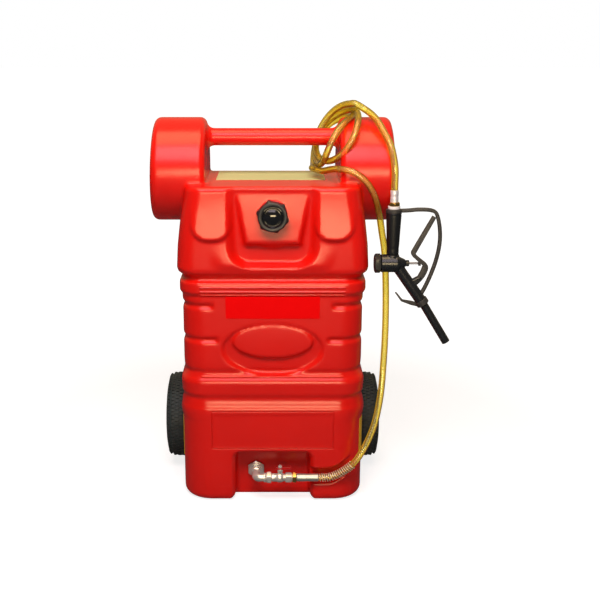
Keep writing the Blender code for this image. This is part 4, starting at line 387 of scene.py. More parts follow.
def finish(name, colour, roughness, metallic=0.0, drift=0.08, drift_scale=9.0, grain=0.0, grain_scale=900.0,
           wave=0.0, wave_scale=14.0, gloss_change=0.06, gloss_scale=60.0, **sockets):
    """Colour drift, gloss changes, fine grain and broad waves, each from its own noise."""
    material = bpy.data.materials.new(name)
    material.use_nodes = True
    tree = material.node_tree
    shader = set_inputs(tree.nodes["Principled BSDF"], Metallic=metallic, **sockets)
    place = add_node(tree, "TexCoord")

    def noise(scale, detail):
        node = add_node(tree, "TexNoise", Scale=scale, Detail=detail)
        link_all(tree, (place, "Object", node, "Vector"))
        return node

    tint = add_node(tree, "ValToRGB")
    low = [channel * (1 - drift) for channel in colour]
    high = [min(channel * (1 + drift), 1.0) for channel in colour]
    for element, position, shade in zip(tint.color_ramp.elements, (0.3, 0.7), (low, high)):
        element.position = position
        element.color = (*shade, 1)
    gloss = add_node(tree, "MapRange", To_Min=max(roughness - gloss_change, 0.02),
                     To_Max=roughness + gloss_change)
    link_all(tree, (noise(drift_scale, 3), "Fac", tint, "Fac"), (tint, "Color", shader, "Base Color"),
             (noise(gloss_scale, 4), "Fac", gloss, "Value"), (gloss, "Result", shader, "Roughness"))
    before = None
    for height, scale, detail in ((wave, wave_scale, 1), (grain, grain_scale, 2)):
        if height:
            bump = add_node(tree, "Bump", Strength=1.0, Distance=height)
            link_all(tree, (noise(scale, detail), "Fac", bump, "Height"), (bump, "Normal", shader, "Normal"))
            if before is not None:
                link_all(tree, (before, "Normal", bump, "Normal"))
            before = bump
    return material


# %% The object's own finishes
TANK_PLASTIC = finish("tank_plastic", (0.720, 0.0065, 0.0030), 0.25, drift=0.03, grain=0.00003,
                      grain_scale=1100, wave=0.0008, wave_scale=15, gloss_change=0.03, gloss_scale=35)
LABEL_RED = finish("label_red_film", (0.84, 0.001, 0.002), 0.50, drift=0.02, gloss_change=0.03,
                   Specular_IOR_Level=0.03)
LABEL_YELLOW = finish("label_yellow_film", (0.64, 0.66, 0.27), 0.40, drift=0.04, gloss_change=0.04)
SIDE_YELLOW = finish("side_yellow_film", (0.78, 0.48, 0.02), 0.40, drift=0.04, gloss_change=0.04,
                     Specular_IOR_Level=0.3)
BLACK_NYLON = finish("black_nylon", (0.018, 0.020, 0.020), 0.36, drift=0.15, grain=0.00004,
                     grain_scale=1800, gloss_change=0.08)
BLACK_CASTING = finish("black_casting", (0.010, 0.013, 0.015), 0.27, drift=0.15, grain=0.00003,
                       grain_scale=1400, gloss_change=0.05, Specular_IOR_Level=0.8)
GUARD_NYLON = finish("guard_nylon", (0.034, 0.034, 0.031), 0.46, drift=0.12, grain=0.00006,
                     grain_scale=1500, gloss_change=0.08)
GLOSS_BLACK = finish("gloss_black", (0.006, 0.007, 0.008), 0.08, drift=0.1, gloss_change=0.02,
                     Coat_Weight=0.6, Coat_Roughness=0.05)
GRIP_RUBBER = finish("grip_rubber", (0.008, 0.010, 0.011), 0.34, drift=0.15, grain=0.00006,
                     grain_scale=1300, gloss_change=0.08)
SEAL_RUBBER = finish("seal_rubber", (0.02, 0.02, 0.02), 0.7, drift=0.15, grain=0.00005)
TYRE_RUBBER = finish("tyre_rubber", (0.026, 0.040, 0.041), 0.62, drift=0.22, drift_scale=40,
                     grain=0.00012, grain_scale=700, gloss_change=0.1)
RIM_PAINT = finish("rim_paint", (0.62, 0.62, 0.60), 0.35, drift=0.05, grain=0.00004, gloss_change=0.06)
ZINC = finish("zinc_plate", (0.60, 0.60, 0.57), 0.30, 1.0, drift=0.12, drift_scale=60, grain=0.00003,
              gloss_change=0.1, gloss_scale=200)
NICKEL = finish("nickel_plate", (0.78, 0.78, 0.72), 0.22, 0.6, drift=0.06, drift_scale=50, grain=0.00002,
                gloss_change=0.05, gloss_scale=160)
SPRING_STEEL = finish("spring_steel", (0.86, 0.80, 0.60), 0.30, 0.5, drift=0.08, drift_scale=60,
                      gloss_change=0.05)
SATIN_STEEL = finish("satin_steel", (0.50, 0.54, 0.52), 0.30, 0.7, drift=0.08, drift_scale=70,
                     grain=0.00003, gloss_change=0.08, gloss_scale=240)
BRASS = finish("brass", (0.80, 0.52, 0.17), 0.22, 1.0, drift=0.1, drift_scale=80, grain=0.00002,
               gloss_change=0.06, gloss_scale=200)
LEVER_PAINT = finish("lever_paint", (0.42, 0.008, 0.010), 0.28, drift=0.1, grain=0.00003)
WHITE_NYLON = finish("white_nylon", (0.80, 0.80, 0.77), 0.35, drift=0.03, grain=0.00002)
ALUMINIUM = finish("ferrule_aluminium", (0.90, 0.90, 0.90), 0.36, 0.5, drift=0.04, drift_scale=90,
                   grain=0.00003, gloss_change=0.06, gloss_scale=300)
HOSE_CLEAR = finish("hose_clear_yellow", (0.96, 0.90, 0.50), 0.06, drift=0.01, drift_scale=20,
                    gloss_change=0.02, gloss_scale=30, Transmission_Weight=0.92, IOR=1.20, Coat_Weight=0.7,
                    Coat_Roughness=0.05)
print("finishes made:", len([m for m in bpy.data.materials if m.use_nodes]))

# %% [markdown]
# The hose's colour lies in its wall, and light that crosses more of the wall comes out deeper. At the hose's
# two sides, where the wall is seen edge-on, a ramp over the viewing angle paints shade into the colour, and
# where the hose faces the camera it paints a pale highlight.

# %% Painted shade and highlight across the hose
# Facing share and colour: a pale painted highlight face-on, deeper painted shade towards the hose's edges.
HOSE_SHADE_TINTS = (
    (0.00, (1.00, 0.96, 0.62)),
    (0.10, (0.98, 0.90, 0.42)),
    (0.38, (0.90, 0.72, 0.16)),
    (0.85, (0.34, 0.22, 0.02)),
)
tree = HOSE_CLEAR.node_tree
hose_depth = add_node(tree, "VolumeAbsorption", Color=(0.80, 0.72, 0.03, 1), Density=220.0)
hose_side = add_node(tree, "LayerWeight", Blend=0.5)
# This ramp paints shade at the hose's sides and a highlight in its middle into the base colour.
hose_painted_shade = add_node(tree, "ValToRGB")
while len(hose_painted_shade.color_ramp.elements) < len(HOSE_SHADE_TINTS):
    hose_painted_shade.color_ramp.elements.new(0.5)
for element, (position, colour) in zip(hose_painted_shade.color_ramp.elements, HOSE_SHADE_TINTS):
    element.position = position
    element.color = (*colour, 1)
link_all(tree, (hose_depth, "Volume", tree.nodes["Material Output"], "Volume"),
         (hose_side, "Facing", hose_painted_shade, "Fac"),
         (hose_painted_shade, "Color", tree.nodes["Principled BSDF"], "Base Color"))
print("tints along the hose's wall:", len(HOSE_SHADE_TINTS))

# %% [markdown]
# The moulding has thin raised lines under its main groove and round its lower panel. The mesh carries them
# too, and a bump over X and Z sharpens them on the front.

# %% Thin lines of the moulding
LINE_HEIGHTS = (0.5735, 0.5624, 0.5532, 0.3400)
LINE_HALF_LENGTH = 0.180
LINE_HALF_HEIGHT = 0.0034
LINE_RISE = 0.0013
OUTLINE_HALF_WIDTH = 0.1550
OUTLINE_LOW, OUTLINE_HIGH = 0.1480, 0.2490
OUTLINE_HALF_LINE = 0.0016
FRONT_LIMIT_Y = -0.10


def line_height(material):
    """Bump height of the straight lines and of the panel's outline, and its place in the finish."""
    tree = material.node_tree
    split = add_node(tree, "SeparateXYZ")
    link_all(tree, (tree.nodes["Texture Coordinate"], "Object", split, "Vector"))

    def sum_of(operation, first, second=0):
        node = add_node(tree, "Math", operation)
        for socket, value in zip(node.inputs, (first, second)):
            if isinstance(value, (int, float)):
                socket.default_value = value
            else:
                tree.links.new(value, socket)
        return node.outputs["Value"]

    def apart(first, second):
        return sum_of("ABSOLUTE", sum_of("SUBTRACT", first, second))

    def pulse(value, half):
        node = add_node(tree, "MapRange", From_Max=half, To_Min=1.0, To_Max=0.0)
        node.interpolation_type = "SMOOTHSTEP"
        tree.links.new(value, node.inputs["Value"])
        return node.outputs["Result"]

    across = sum_of("ABSOLUTE", split.outputs["X"])
    total = 0.0
    for height in LINE_HEIGHTS:
        total = sum_of("ADD", pulse(apart(split.outputs["Z"], height), LINE_HALF_HEIGHT), total)
    total = sum_of("MULTIPLY", total, sum_of("LESS_THAN", across, LINE_HALF_LENGTH))
    beside = sum_of("SUBTRACT", across, OUTLINE_HALF_WIDTH)
    middle, half = (OUTLINE_LOW + OUTLINE_HIGH) / 2, (OUTLINE_HIGH - OUTLINE_LOW) / 2
    over = sum_of("SUBTRACT", apart(split.outputs["Z"], middle), half)
    edge = sum_of("ABSOLUTE", sum_of("MAXIMUM", beside, over))
    total = sum_of("ADD", total, sum_of("MULTIPLY", pulse(edge, OUTLINE_HALF_LINE), -1.0))
    total = sum_of("MULTIPLY", total, sum_of("LESS_THAN", split.outputs["Y"], FRONT_LIMIT_Y))
    shader = tree.nodes["Principled BSDF"]
    bump = add_node(tree, "Bump", Strength=1.0, Distance=LINE_RISE)
    tree.links.new(total, bump.inputs["Height"])
    tree.links.new(shader.inputs["Normal"].links[0].from_socket, bump.inputs["Normal"])
    link_all(tree, (bump, "Normal", shader, "Normal"))


line_height(TANK_PLASTIC)
print("straight lines:", len(LINE_HEIGHTS))

# %% [markdown]
# A piece is dressed in one step: its finish, the body it moves with and the solids it stands for.


# %% Dressing a piece
def dress(piece, material, body, slot, *stands_for):
    piece.data.materials.clear()
    piece.data.materials.append(material)
    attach(piece, body)
    if stands_for:
        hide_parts(*stands_for)
    return piece


def paint_node(name, material):
    """A new finish on a solid whose shape is right as it is."""
    node = frame["nodes"][name]
    node.data.materials.clear()
    node.data.materials.append(material)


print("solids in the frame:", len(frame["nodes"]))

# %% [markdown]
# ## The delivery hose
# The hose is 2.7 m of clear yellow PVC, 17 mm across. It leaves the crimped sleeve at the foot, climbs the
# right side, crosses the shoulder, makes two and a half loops round the bar and comes down to the nozzle.
# A clear hose only looks real if it has its bore, so it is a mesh tube with an outer and an inner wall. Its
# path is a list of points up the side, loops that are computed, and a list down to the nozzle. The loops lie
# lower than in the solids, as in the photograph.

# %% The hose's route
HOSE_RADIUS = 0.0085
HOSE_BORE_RADIUS = 0.0056
HOSE_STEP = 0.010
FERRULE_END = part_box("lower_ferrule")[1].x
RUN_Y = -0.160
OUTLET_HEIGHT = 0.071
NOZZLE_X = 0.296
NOZZLE_Y = -0.117
NOZZLE_TOP = 0.8105
LOWER_ROUTE = (
    (0.1365, -0.1600, 0.0710),
    (0.1550, -0.1602, 0.0745),
    (0.1800, -0.1605, 0.0880),
    (0.2090, -0.1610, 0.1120),
    (0.2300, -0.1550, 0.1420),
    (0.2470, -0.1430, 0.1710),
    (0.2620, -0.1270, 0.2040),
    (0.2730, -0.1090, 0.2420),
    (0.2810, -0.0930, 0.2870),
    (0.2860, -0.0780, 0.3440),
    (0.2900, -0.0640, 0.4260),
    (0.2900, -0.0570, 0.5180),
    (0.2865, -0.0540, 0.6040),
    (0.2820, -0.0550, 0.6540),
    (0.2740, -0.0620, 0.6960),
    (0.2640, -0.0790, 0.7470),
    (0.2500, -0.1080, 0.7920),
    (0.2290, -0.1240, 0.8280),
    (0.2020, -0.1260, 0.8520),
    (0.1780, -0.1180, 0.8600),
    (0.1560, -0.1000, 0.8600),
    (0.1400, -0.0750, 0.8550),
    (0.1220, -0.0480, 0.8480),
)
UPPER_ROUTE = (
    (0.2240, -0.0190, 0.9990),
    (0.2440, -0.0400, 0.9850),
    (0.2590, -0.0650, 0.9670),
    (0.2725, -0.0870, 0.9420),
    (0.2835, -0.1030, 0.9210),
    (0.2910, -0.1120, 0.8920),
    (0.2955, -0.1165, 0.8620),
)
print("points up the side and down to the nozzle:", len(LOWER_ROUTE), len(UPPER_ROUTE))

# %% The loops round the bar
COIL_MIDDLE = Vector((0.138, 0.025, 0.9210))
COIL_MIDDLE_DRIFT = Vector((0.013, -0.019, 0.008))
COIL_RISE = Vector((0.051, 0.020, 0.0595))
COIL_RISE_DRIFT = Vector((-0.009, -0.002, 0.003))
COIL_SIDE = Vector((-0.007, -0.088, 0.003))
COIL_SIDE_DRIFT = Vector((0.025, -0.001, 0.000))
COIL_BOW = Vector((0.015, -0.001, -0.011))
COIL_BOW_DRIFT = Vector((-0.008, 0.000, 0.005))
COIL_TURNS = 2.5
COIL_TURN_STEPS = 48


def coil_point(turns):
    """A point of the coil after this many turns, starting at the bottom of a turn."""
    angle = math.pi + 2 * math.pi * turns
    middle = COIL_MIDDLE + turns * COIL_MIDDLE_DRIFT
    rise = COIL_RISE + turns * COIL_RISE_DRIFT
    side = COIL_SIDE + turns * COIL_SIDE_DRIFT
    bow = COIL_BOW + turns * COIL_BOW_DRIFT
    return middle + rise * math.cos(angle) + side * math.sin(angle) + bow * math.cos(2 * angle)


print("the loops start at", [round(c, 3) for c in coil_point(0)])


# %% The whole line of the hose
def lengths_along(line):
    """The way along a line to each of its points."""
    lengths = [0.0]
    for before, after in zip(line, line[1:]):
        lengths.append(lengths[-1] + (after - before).length)
    return lengths


def evenly(line, spacing):
    """Points about this far apart along a line of short steps."""
    lengths = lengths_along(line)
    count = round(lengths[-1] / spacing)
    points, place = [], 1
    for step in range(count + 1):
        wanted = lengths[-1] * step / count
        while place < len(line) - 1 and lengths[place] < wanted:
            place += 1
        share = share_of(wanted, lengths[place - 1], lengths[place])
        points.append(line[place - 1].lerp(line[place], share))
    return points, lengths[-1]


coil_steps = round(COIL_TURNS * COIL_TURN_STEPS)
coil = [coil_point(COIL_TURNS * step / coil_steps) for step in range(coil_steps + 1)]
first = (coil[1] - coil[0]).normalized()
last = (coil[-1] - coil[-2]).normalized()
hose_start = Vector((FERRULE_END + 0.0003, RUN_Y, OUTLET_HEIGHT))
rising = through([hose_start, *LOWER_ROUTE, coil[0] - first * 2 * HOSE_RADIUS, coil[0]], 8)
hose_top = Vector((NOZZLE_X, NOZZLE_Y, NOZZLE_TOP + 0.0003))
falling = through([coil[-1], coil[-1] + last * 2 * HOSE_RADIUS, *UPPER_ROUTE,
                   hose_top + Vector((0, 0, 2 * HOSE_RADIUS)), hose_top], 8)
hose_line, hose_length = evenly(rising[:-1] + coil + falling[1:], HOSE_STEP)
print(f"hose: {hose_length:.3f} m in {len(hose_line)} points")


# %% The hose as a tube with a bore
def hollow_tube(name, line, outer, inner, sides):
    """A tube wall along a line: the outer rings out, the inner rings back, so both ends close."""
    up = Vector((0, 0, 1))
    frames = []
    for index, place in enumerate(line):
        run = (line[min(index + 1, len(line) - 1)] - line[max(index - 1, 0)]).normalized()
        up = (up - run * up.dot(run)).normalized() if index else run.orthogonal().normalized()
        frames.append((place, up.copy(), run.cross(up)))
    rings = []
    for radius, order in ((outer, frames), (inner, frames[::-1])):
        for place, side, other in order:
            angles = [2 * math.pi * step / sides for step in range(sides)]
            rings.append([tuple(place + radius * (math.cos(a) * side + math.sin(a) * other)) for a in angles])
    points = [point for ring in rings for point in ring]
    return smooth(from_points(name, points, ring_walls(rings, closed=True)), 60)


delivery_hose = hollow_tube("delivery_hose", hose_line, HOSE_RADIUS, HOSE_BORE_RADIUS, 24)
dress(delivery_hose, HOSE_CLEAR, "caddy", "hose_yellow", "hose_lower", "hose_coil", "hose_upper")
print("hose faces:", len(delivery_hose.data.polygons))

# %% [markdown]
# A spring keeps the hose from kinking where it leaves the sleeve. It is one round wire wound on the hose, so
# a helix about the route's first stretch is enough.

# %% The spring round the hose's end
SPRING_LENGTH = 0.098
SPRING_TURNS = 16
SPRING_WIRE_RADIUS = 0.0012
SPRING_TURN_STEPS = 14
SPRING_GAP = 0.0004

spring_line = []
distances = lengths_along(hose_line)
spring_radius = HOSE_RADIUS + SPRING_WIRE_RADIUS + SPRING_GAP
spring_steps = SPRING_TURNS * SPRING_TURN_STEPS
for step in range(spring_steps + 1):
    wanted = 2 * SPRING_WIRE_RADIUS + (SPRING_LENGTH - 2 * SPRING_WIRE_RADIUS) * step / spring_steps
    place = max(index for index in range(len(hose_line) - 1) if distances[index] <= wanted)
    run = (hose_line[place + 1] - hose_line[place]).normalized()
    middle = hose_line[place] + run * (wanted - distances[place])
    side = run.cross(Vector((0, 1, 0))).normalized()
    angle = 2 * math.pi * step / SPRING_TURN_STEPS
    spring_line.append(middle + spring_radius * (math.cos(angle) * side + math.sin(angle) * run.cross(side)))
hose_spring = as_mesh(wire("hose_spring", spring_line, SPRING_WIRE_RADIUS, 2))
dress(hose_spring, SPRING_STEEL, "caddy", "zinc_steel", "spring_guard")
print("spring turns:", SPRING_TURNS)

# %% [markdown]
# ## The moulded tank
# The real tank is one hollow moulding with soft edges everywhere. It could be stacked from boxes and
# bevelled, but its waist changes at every height. So a fine grid primitive is wrapped round it like a sheet:
# one direction of the grid runs round the body, the other runs up through the named levels. The reliefs of
# the front are pressed into that sheet. Drums and bar are turned. A voxel remesh fuses them all, and a light
# smoothing gives the seams the round corners of moulded plastic.

# %% Sizes of the body
BODY_HEIGHT = 0.823
BODY_HALF_WIDTH = 0.238
BODY_FRONT = -0.153
BODY_BACK = 0.153
SHOULDER_TAPER = 0.024
GROOVE_DEPTH = 0.008
WAIST_SETBACK = 0.011
CORNER_RADIUS = 0.075
BACK_CORNER_RADIUS = 0.030
TOP_EDGE_RADIUS = 0.012
FOOT_EDGE_RADIUS = 0.020
print("body height:", BODY_HEIGHT, "m")

# %% Levels of the body
# Height share, taper share, groove share, side and front setback shares, corner share
BODY_LEVEL_SHARES = (
    (0.0729, 0.00, 0.00, 0.45, 0.00, 1.00),
    (0.2640, 0.00, 0.00, 0.45, 0.00, 1.00),
    (0.2800, 0.00, 0.00, 0.15, 0.00, 1.00),
    (0.2960, 0.00, 0.00, 0.00, 0.00, 1.00),
    (0.3080, 0.00, 0.00, 0.12, 0.08, 0.97),
    (0.3190, 0.00, 0.00, 0.30, 0.42, 0.94),
    (0.3420, 0.00, 0.25, 0.45, 0.60, 0.88),
    (0.3600, 0.00, 0.05, 0.34, 0.36, 0.82),
    (0.3937, 0.00, 0.00, 0.30, 0.30, 0.80),
    (0.4034, 0.00, 0.10, 0.40, 0.50, 0.80),
    (0.4125, 0.00, 0.30, 0.70, 0.85, 0.80),
    (0.4260, 0.00, 0.62, 0.86, 0.92, 0.80),
    (0.4399, 0.00, 0.10, 0.95, 0.98, 0.80),
    (0.4617, 0.00, 0.00, 0.97, 1.00, 0.80),
    (0.6075, 0.00, 0.00, 1.00, 1.00, 0.75),
    (0.6700, 0.00, 0.00, 0.95, 1.00, 0.70),
    (0.6740, 0.00, 0.00, 0.60, 0.70, 0.70),
    (0.6800, 0.00, 0.00, 0.42, 0.46, 0.70),
    (0.7090, 0.00, 0.02, 0.44, 0.42, 0.70),
    (0.7165, 0.00, 0.92, 0.53, 0.66, 0.68),
    (0.7235, 0.00, 1.00, 0.55, 0.70, 0.66),
    (0.7320, 0.00, 0.65, 0.35, 0.42, 0.64),
    (0.7410, 0.00, 0.15, 0.08, 0.10, 0.62),
    (0.7530, 0.00, 0.00, 0.00, 0.00, 0.60),
    (0.8202, 0.13, 0.00, 0.00, 0.00, 0.60),
    (0.8809, 0.38, 0.00, 0.00, 0.00, 0.60),
    (0.9234, 0.60, 0.00, 0.00, 0.00, 0.60),
    (0.9636, 0.83, 0.00, 0.00, 0.00, 0.60),
)
print("levels of the body:", len(BODY_LEVEL_SHARES))


# %% The body's section at any height
def edge_inset(beyond, radius):
    """How far a round edge steps in at this height beyond its start."""
    lean = max(beyond, 0) / radius
    return radius * (1 - math.sqrt(max(1 - lean * lean, 0)))


def body_level(height):
    """Half width, front, back, front corner radius and back corner radius at this height."""
    rows = BODY_LEVEL_SHARES
    share = height / BODY_HEIGHT
    index = min(max(sum(1 for row in rows if row[0] <= share) - 1, 0), len(rows) - 2)
    low, high = rows[index], rows[index + 1]
    t = steadily(share, low[0], high[0])
    taper = between(low[1], high[1], share_of(share, low[0], high[0]))
    groove, side, front, corner = (between(low[k], high[k], t) for k in (2, 3, 4, 5))
    if share > rows[-1][0]:
        taper = rows[-1][1] + (1 - rows[-1][1]) * (share - rows[-1][0]) / (1 - rows[-1][0])
    inset = edge_inset(FOOT_EDGE_RADIUS - height, FOOT_EDGE_RADIUS)
    inset += edge_inset(height - BODY_HEIGHT + TOP_EDGE_RADIUS, TOP_EDGE_RADIUS)
    cut_in = groove * GROOVE_DEPTH + inset
    return (
        BODY_HALF_WIDTH - taper * SHOULDER_TAPER - cut_in - side * WAIST_SETBACK,
        BODY_FRONT + cut_in + front * WAIST_SETBACK,
        BODY_BACK - cut_in,
        corner * CORNER_RADIUS - inset,
        BACK_CORNER_RADIUS - inset,
    )


print("waist, half width:", round(body_level(0.45)[0], 4))

# %% [markdown]
# The reliefs of the front are heights over X and Z. Each one is a distance to an outline, and a smooth step
# of that distance gives the sloping wall that a moulding needs to leave its mould. The filler recess has a
# sloping pad in it, a lobe on each side, and a low swelling outside its lower corners.

# %% Reliefs of the front
RECESS_HALF_WIDTH = 0.104
RECESS_BOTTOM_HALF_WIDTH = 0.101
RECESS_FLOOR_DROP = 0.1945
RECESS_HEAD_DROP = 0.009
RECESS_CORNER = 0.046
RECESS_DEPTH = 0.025
RECESS_HEAD_DEPTH = 0.007
RECESS_WALL = 0.018
PAD_TOP_DROP = 0.004
PAD_BOTTOM_DROP = 0.137
PAD_TOP_HALF_WIDTH = 0.088
PAD_BOTTOM_HALF_WIDTH = 0.064
PAD_TOP_SETBACK = 0.0095
PAD_BOTTOM_SETBACK = 0.003
PAD_WALL = 0.010
LOBE_CENTRE = 0.150
LOBE_HALF_WIDTH = 0.056
LOBE_TOP_DROP = 0.014
LOBE_BOTTOM_DROP = 0.134
LOBE_RISE = 0.0100
LOBE_WALL = 0.013
RIM_RISE = 0.0050
RIM_WIDTH = 0.062
RIM_TOP_DROP = 0.133
CHIN_HALF_WIDTH = 0.036
CHIN_HALF_HEIGHT = 0.014
CHIN_RISE = 0.005
OVAL_HEIGHT = 0.432
OVAL_HALF_WIDTH = 0.103
OVAL_HALF_HEIGHT = 0.044
OVAL_RECESS_HEIGHT = 0.411
OVAL_RECESS_HALF_WIDTH = 0.131
OVAL_RECESS_HALF_HEIGHT = 0.071
OVAL_RECESS_DEPTH = 0.011
OVAL_RECESS_WALL_SHARE = 0.09
OVAL_DOME = 0.0015
PANEL_HALF_WIDTH = 0.155
PANEL_LOW = 0.148
PANEL_HIGH = 0.243
PANEL_DEPTH = 0.0016
print("depth of the filler recess:", RECESS_DEPTH, "m")


# %% Recess, lobes and swelling
def box_distance(x, z, half_width, low, high, corner):
    """How far a point lies outside a box with round corners. Inside it is negative."""
    across = abs(x) - half_width + corner
    up = abs(z - (low + high) / 2) - (high - low) / 2 + corner
    return math.hypot(max(across, 0), max(up, 0)) + min(max(across, up), 0) - corner


def filler_relief(x, z):
    """The U-shaped recess, with the sloping pad that carries the neck."""
    head, floor = BODY_HEIGHT - RECESS_HEAD_DROP, BODY_HEIGHT - RECESS_FLOOR_DROP
    down = share_of(z, head, floor)
    half = between(RECESS_HALF_WIDTH, RECESS_BOTTOM_HALF_WIDTH, down)
    outside = box_distance(x, z, half, floor, head + RECESS_CORNER, RECESS_CORNER)
    spread = RECESS_WALL * (0.35 + 0.35 * steadily(z, floor, floor + RECESS_CORNER))
    at_head = steadily(BODY_HEIGHT - z, 0, RECESS_HEAD_DROP)
    depth = between(RECESS_HEAD_DEPTH, RECESS_DEPTH, down**0.6)
    depth *= steadily(-outside, -spread, spread) * at_head
    top, foot = BODY_HEIGHT - PAD_TOP_DROP, BODY_HEIGHT - PAD_BOTTOM_DROP
    rise = share_of(z, foot, top)
    beyond = max(abs(x) - between(PAD_BOTTOM_HALF_WIDTH, PAD_TOP_HALF_WIDTH, rise), foot - z)
    on_pad = steadily(-beyond, -PAD_WALL, 0.001)
    pad = between(PAD_BOTTOM_SETBACK, PAD_TOP_SETBACK, rise) * at_head
    return depth + (min(pad, depth) - depth) * on_pad


def lobe_relief(x, z):
    """The raised pads beside the recess, square at the head and round at the foot."""
    high, low = BODY_HEIGHT - LOBE_TOP_DROP, BODY_HEIGHT - LOBE_BOTTOM_DROP
    outside = box_distance(abs(x) - LOBE_CENTRE, z, LOBE_HALF_WIDTH, low, high + LOBE_HALF_WIDTH,
                           LOBE_HALF_WIDTH * 0.85)
    down = share_of(z, high, low)
    wall = LOBE_WALL * (1 - 0.4 * steadily(down, 0.6, 0.95))
    return -LOBE_RISE * down**1.8 * steadily(-outside, 0, wall)


def rim_relief(x, z):
    """The swelling outside the recess's lower corners. It faces upwards and catches the light."""
    floor, top = BODY_HEIGHT - RECESS_FLOOR_DROP, BODY_HEIGHT - RIM_TOP_DROP
    outside = box_distance(x, z, RECESS_BOTTOM_HALF_WIDTH, floor, BODY_HEIGHT + RECESS_CORNER, RECESS_CORNER)
    beside = steadily(outside, -0.006, 0.004) * (1 - steadily(outside, RIM_WIDTH * 0.4, RIM_WIDTH))
    return -RIM_RISE * share_of(z, top, floor) ** 1.2 * beside * steadily(z, floor - 0.014, floor + 0.006)


print(f"filler recess at its floor: {1000 * filler_relief(0.09, 0.66):.1f} mm deep")


# %% Chin, oval and panel
def chin_relief(x, z):
    """The rounded chin under the pad's foot, which shades the recess below it."""
    middle = BODY_HEIGHT - PAD_BOTTOM_DROP - 0.003
    across, up = x / CHIN_HALF_WIDTH, (z - middle) / CHIN_HALF_HEIGHT
    return -CHIN_RISE * steadily(1 - math.hypot(across, up), 0, 0.4) * steadily(-up, -0.15, 0.1)


def oval_relief(x, z):
    """The raised and slightly domed oval in its ring-shaped recess."""
    up = (z - OVAL_HEIGHT) / OVAL_HALF_HEIGHT
    inner = math.hypot(x / OVAL_HALF_WIDTH, up)
    outer = math.hypot(x / OVAL_RECESS_HALF_WIDTH, (z - OVAL_RECESS_HEIGHT) / OVAL_RECESS_HALF_HEIGHT)
    if outer >= 1:
        return 0.0
    deep = OVAL_RECESS_DEPTH * (0.3 + 0.35 * (1 - up / max(inner, 0.001)))
    if inner <= 1:
        return deep * steadily(inner, 0.955, 1.0) - OVAL_DOME * (1 - inner * inner)
    return deep * steadily(1 - outer, 0, OVAL_RECESS_WALL_SHARE)


def panel_relief(x, z):
    outside = box_distance(x, z, PANEL_HALF_WIDTH, PANEL_LOW, PANEL_HIGH, 0.004)
    return PANEL_DEPTH * steadily(-outside, -0.001, 0.003)


FRONT_RELIEFS = (filler_relief, rim_relief, chin_relief, lobe_relief, oval_relief, panel_relief)
print("reliefs of the front:", len(FRONT_RELIEFS))

# %% [markdown]
# Four short grooves wrap the front corners. They are pressed in along the wall's own direction, so they run
# on round the corner and along the side.

# %% Grooves that wrap the corners
WRAP_GROOVE_HEIGHTS = (0.524, 0.436)
WRAP_GROOVE_STARTS = (0.150, 0.138)
WRAP_GROOVE_HALF_HEIGHT = 0.0085
WRAP_GROOVE_DEPTH = 0.006


def wrap_groove(x, y, z):
    deep = 0.0
    for height, start in zip(WRAP_GROOVE_HEIGHTS, WRAP_GROOVE_STARTS):
        half = WRAP_GROOVE_HALF_HEIGHT
        across = 1 - steadily(abs(z - height), half * 0.25, half * 1.15)
        begin = steadily(abs(x), start - half * 0.6, start + half * 0.6)
        end = 1 - steadily(y, BODY_BACK - BACK_CORNER_RADIUS * 1.3, BODY_BACK - BACK_CORNER_RADIUS * 0.9)
        deep += WRAP_GROOVE_DEPTH * across * begin * end
    return deep


print("wrapped grooves on each side:", len(WRAP_GROOVE_HEIGHTS))

# %% The wrapped sheet
GRID_FRONT = 140
GRID_CORNER = 26
GRID_SIDE = 56
GRID_BACK_CORNER = 8
GRID_BACK = 60
GRID_LEVELS = 290


def body_ring(height):
    """One turn of the body at this height, as (x, y, outward x, outward y), from the middle of the back."""
    half, front, back, corner, back_corner = body_level(height)
    corner, back_corner = max(corner, 0.004), max(back_corner, 0.004)
    right = []
    for step in range(GRID_BACK // 2):
        right.append(((half - back_corner) * step / (GRID_BACK // 2), back, 0, 1))
    for step in range(GRID_BACK_CORNER):
        angle = math.pi / 2 * (1 - step / GRID_BACK_CORNER)
        out_x, out_y = math.cos(angle), math.sin(angle)
        right.append((half - back_corner + back_corner * out_x, back - back_corner + back_corner * out_y,
                      out_x, out_y))
    for step in range(GRID_SIDE):
        y = back - back_corner + (front + corner - back + back_corner) * step / GRID_SIDE
        right.append((half, y, 1, 0))
    for step in range(GRID_CORNER):
        angle = -math.pi / 2 * step / GRID_CORNER
        out_x, out_y = math.cos(angle), math.sin(angle)
        right.append((half - corner + corner * out_x, front + corner + corner * out_y, out_x, out_y))
    for step in range(GRID_FRONT // 2):
        right.append(((half - corner) * (1 - step / (GRID_FRONT // 2)), front, 0, -1))
    left = [(-x, y, -out_x, out_y) for x, y, out_x, out_y in reversed(right[1:])]
    return right + [(0, front, 0, -1)] + left


def sheet_place(spot, height):
    """A spot of a ring with the reliefs pressed in."""
    x, y, out_x, out_y = spot
    groove = wrap_groove(x, y, height)
    facing = steadily(-out_y, 0.55, 0.98)
    relief = sum(form(x, height) for form in FRONT_RELIEFS) * facing
    return (x - out_x * groove, y - out_y * groove + relief, height)


print("spots in a ring:", len(body_ring(0.4)))

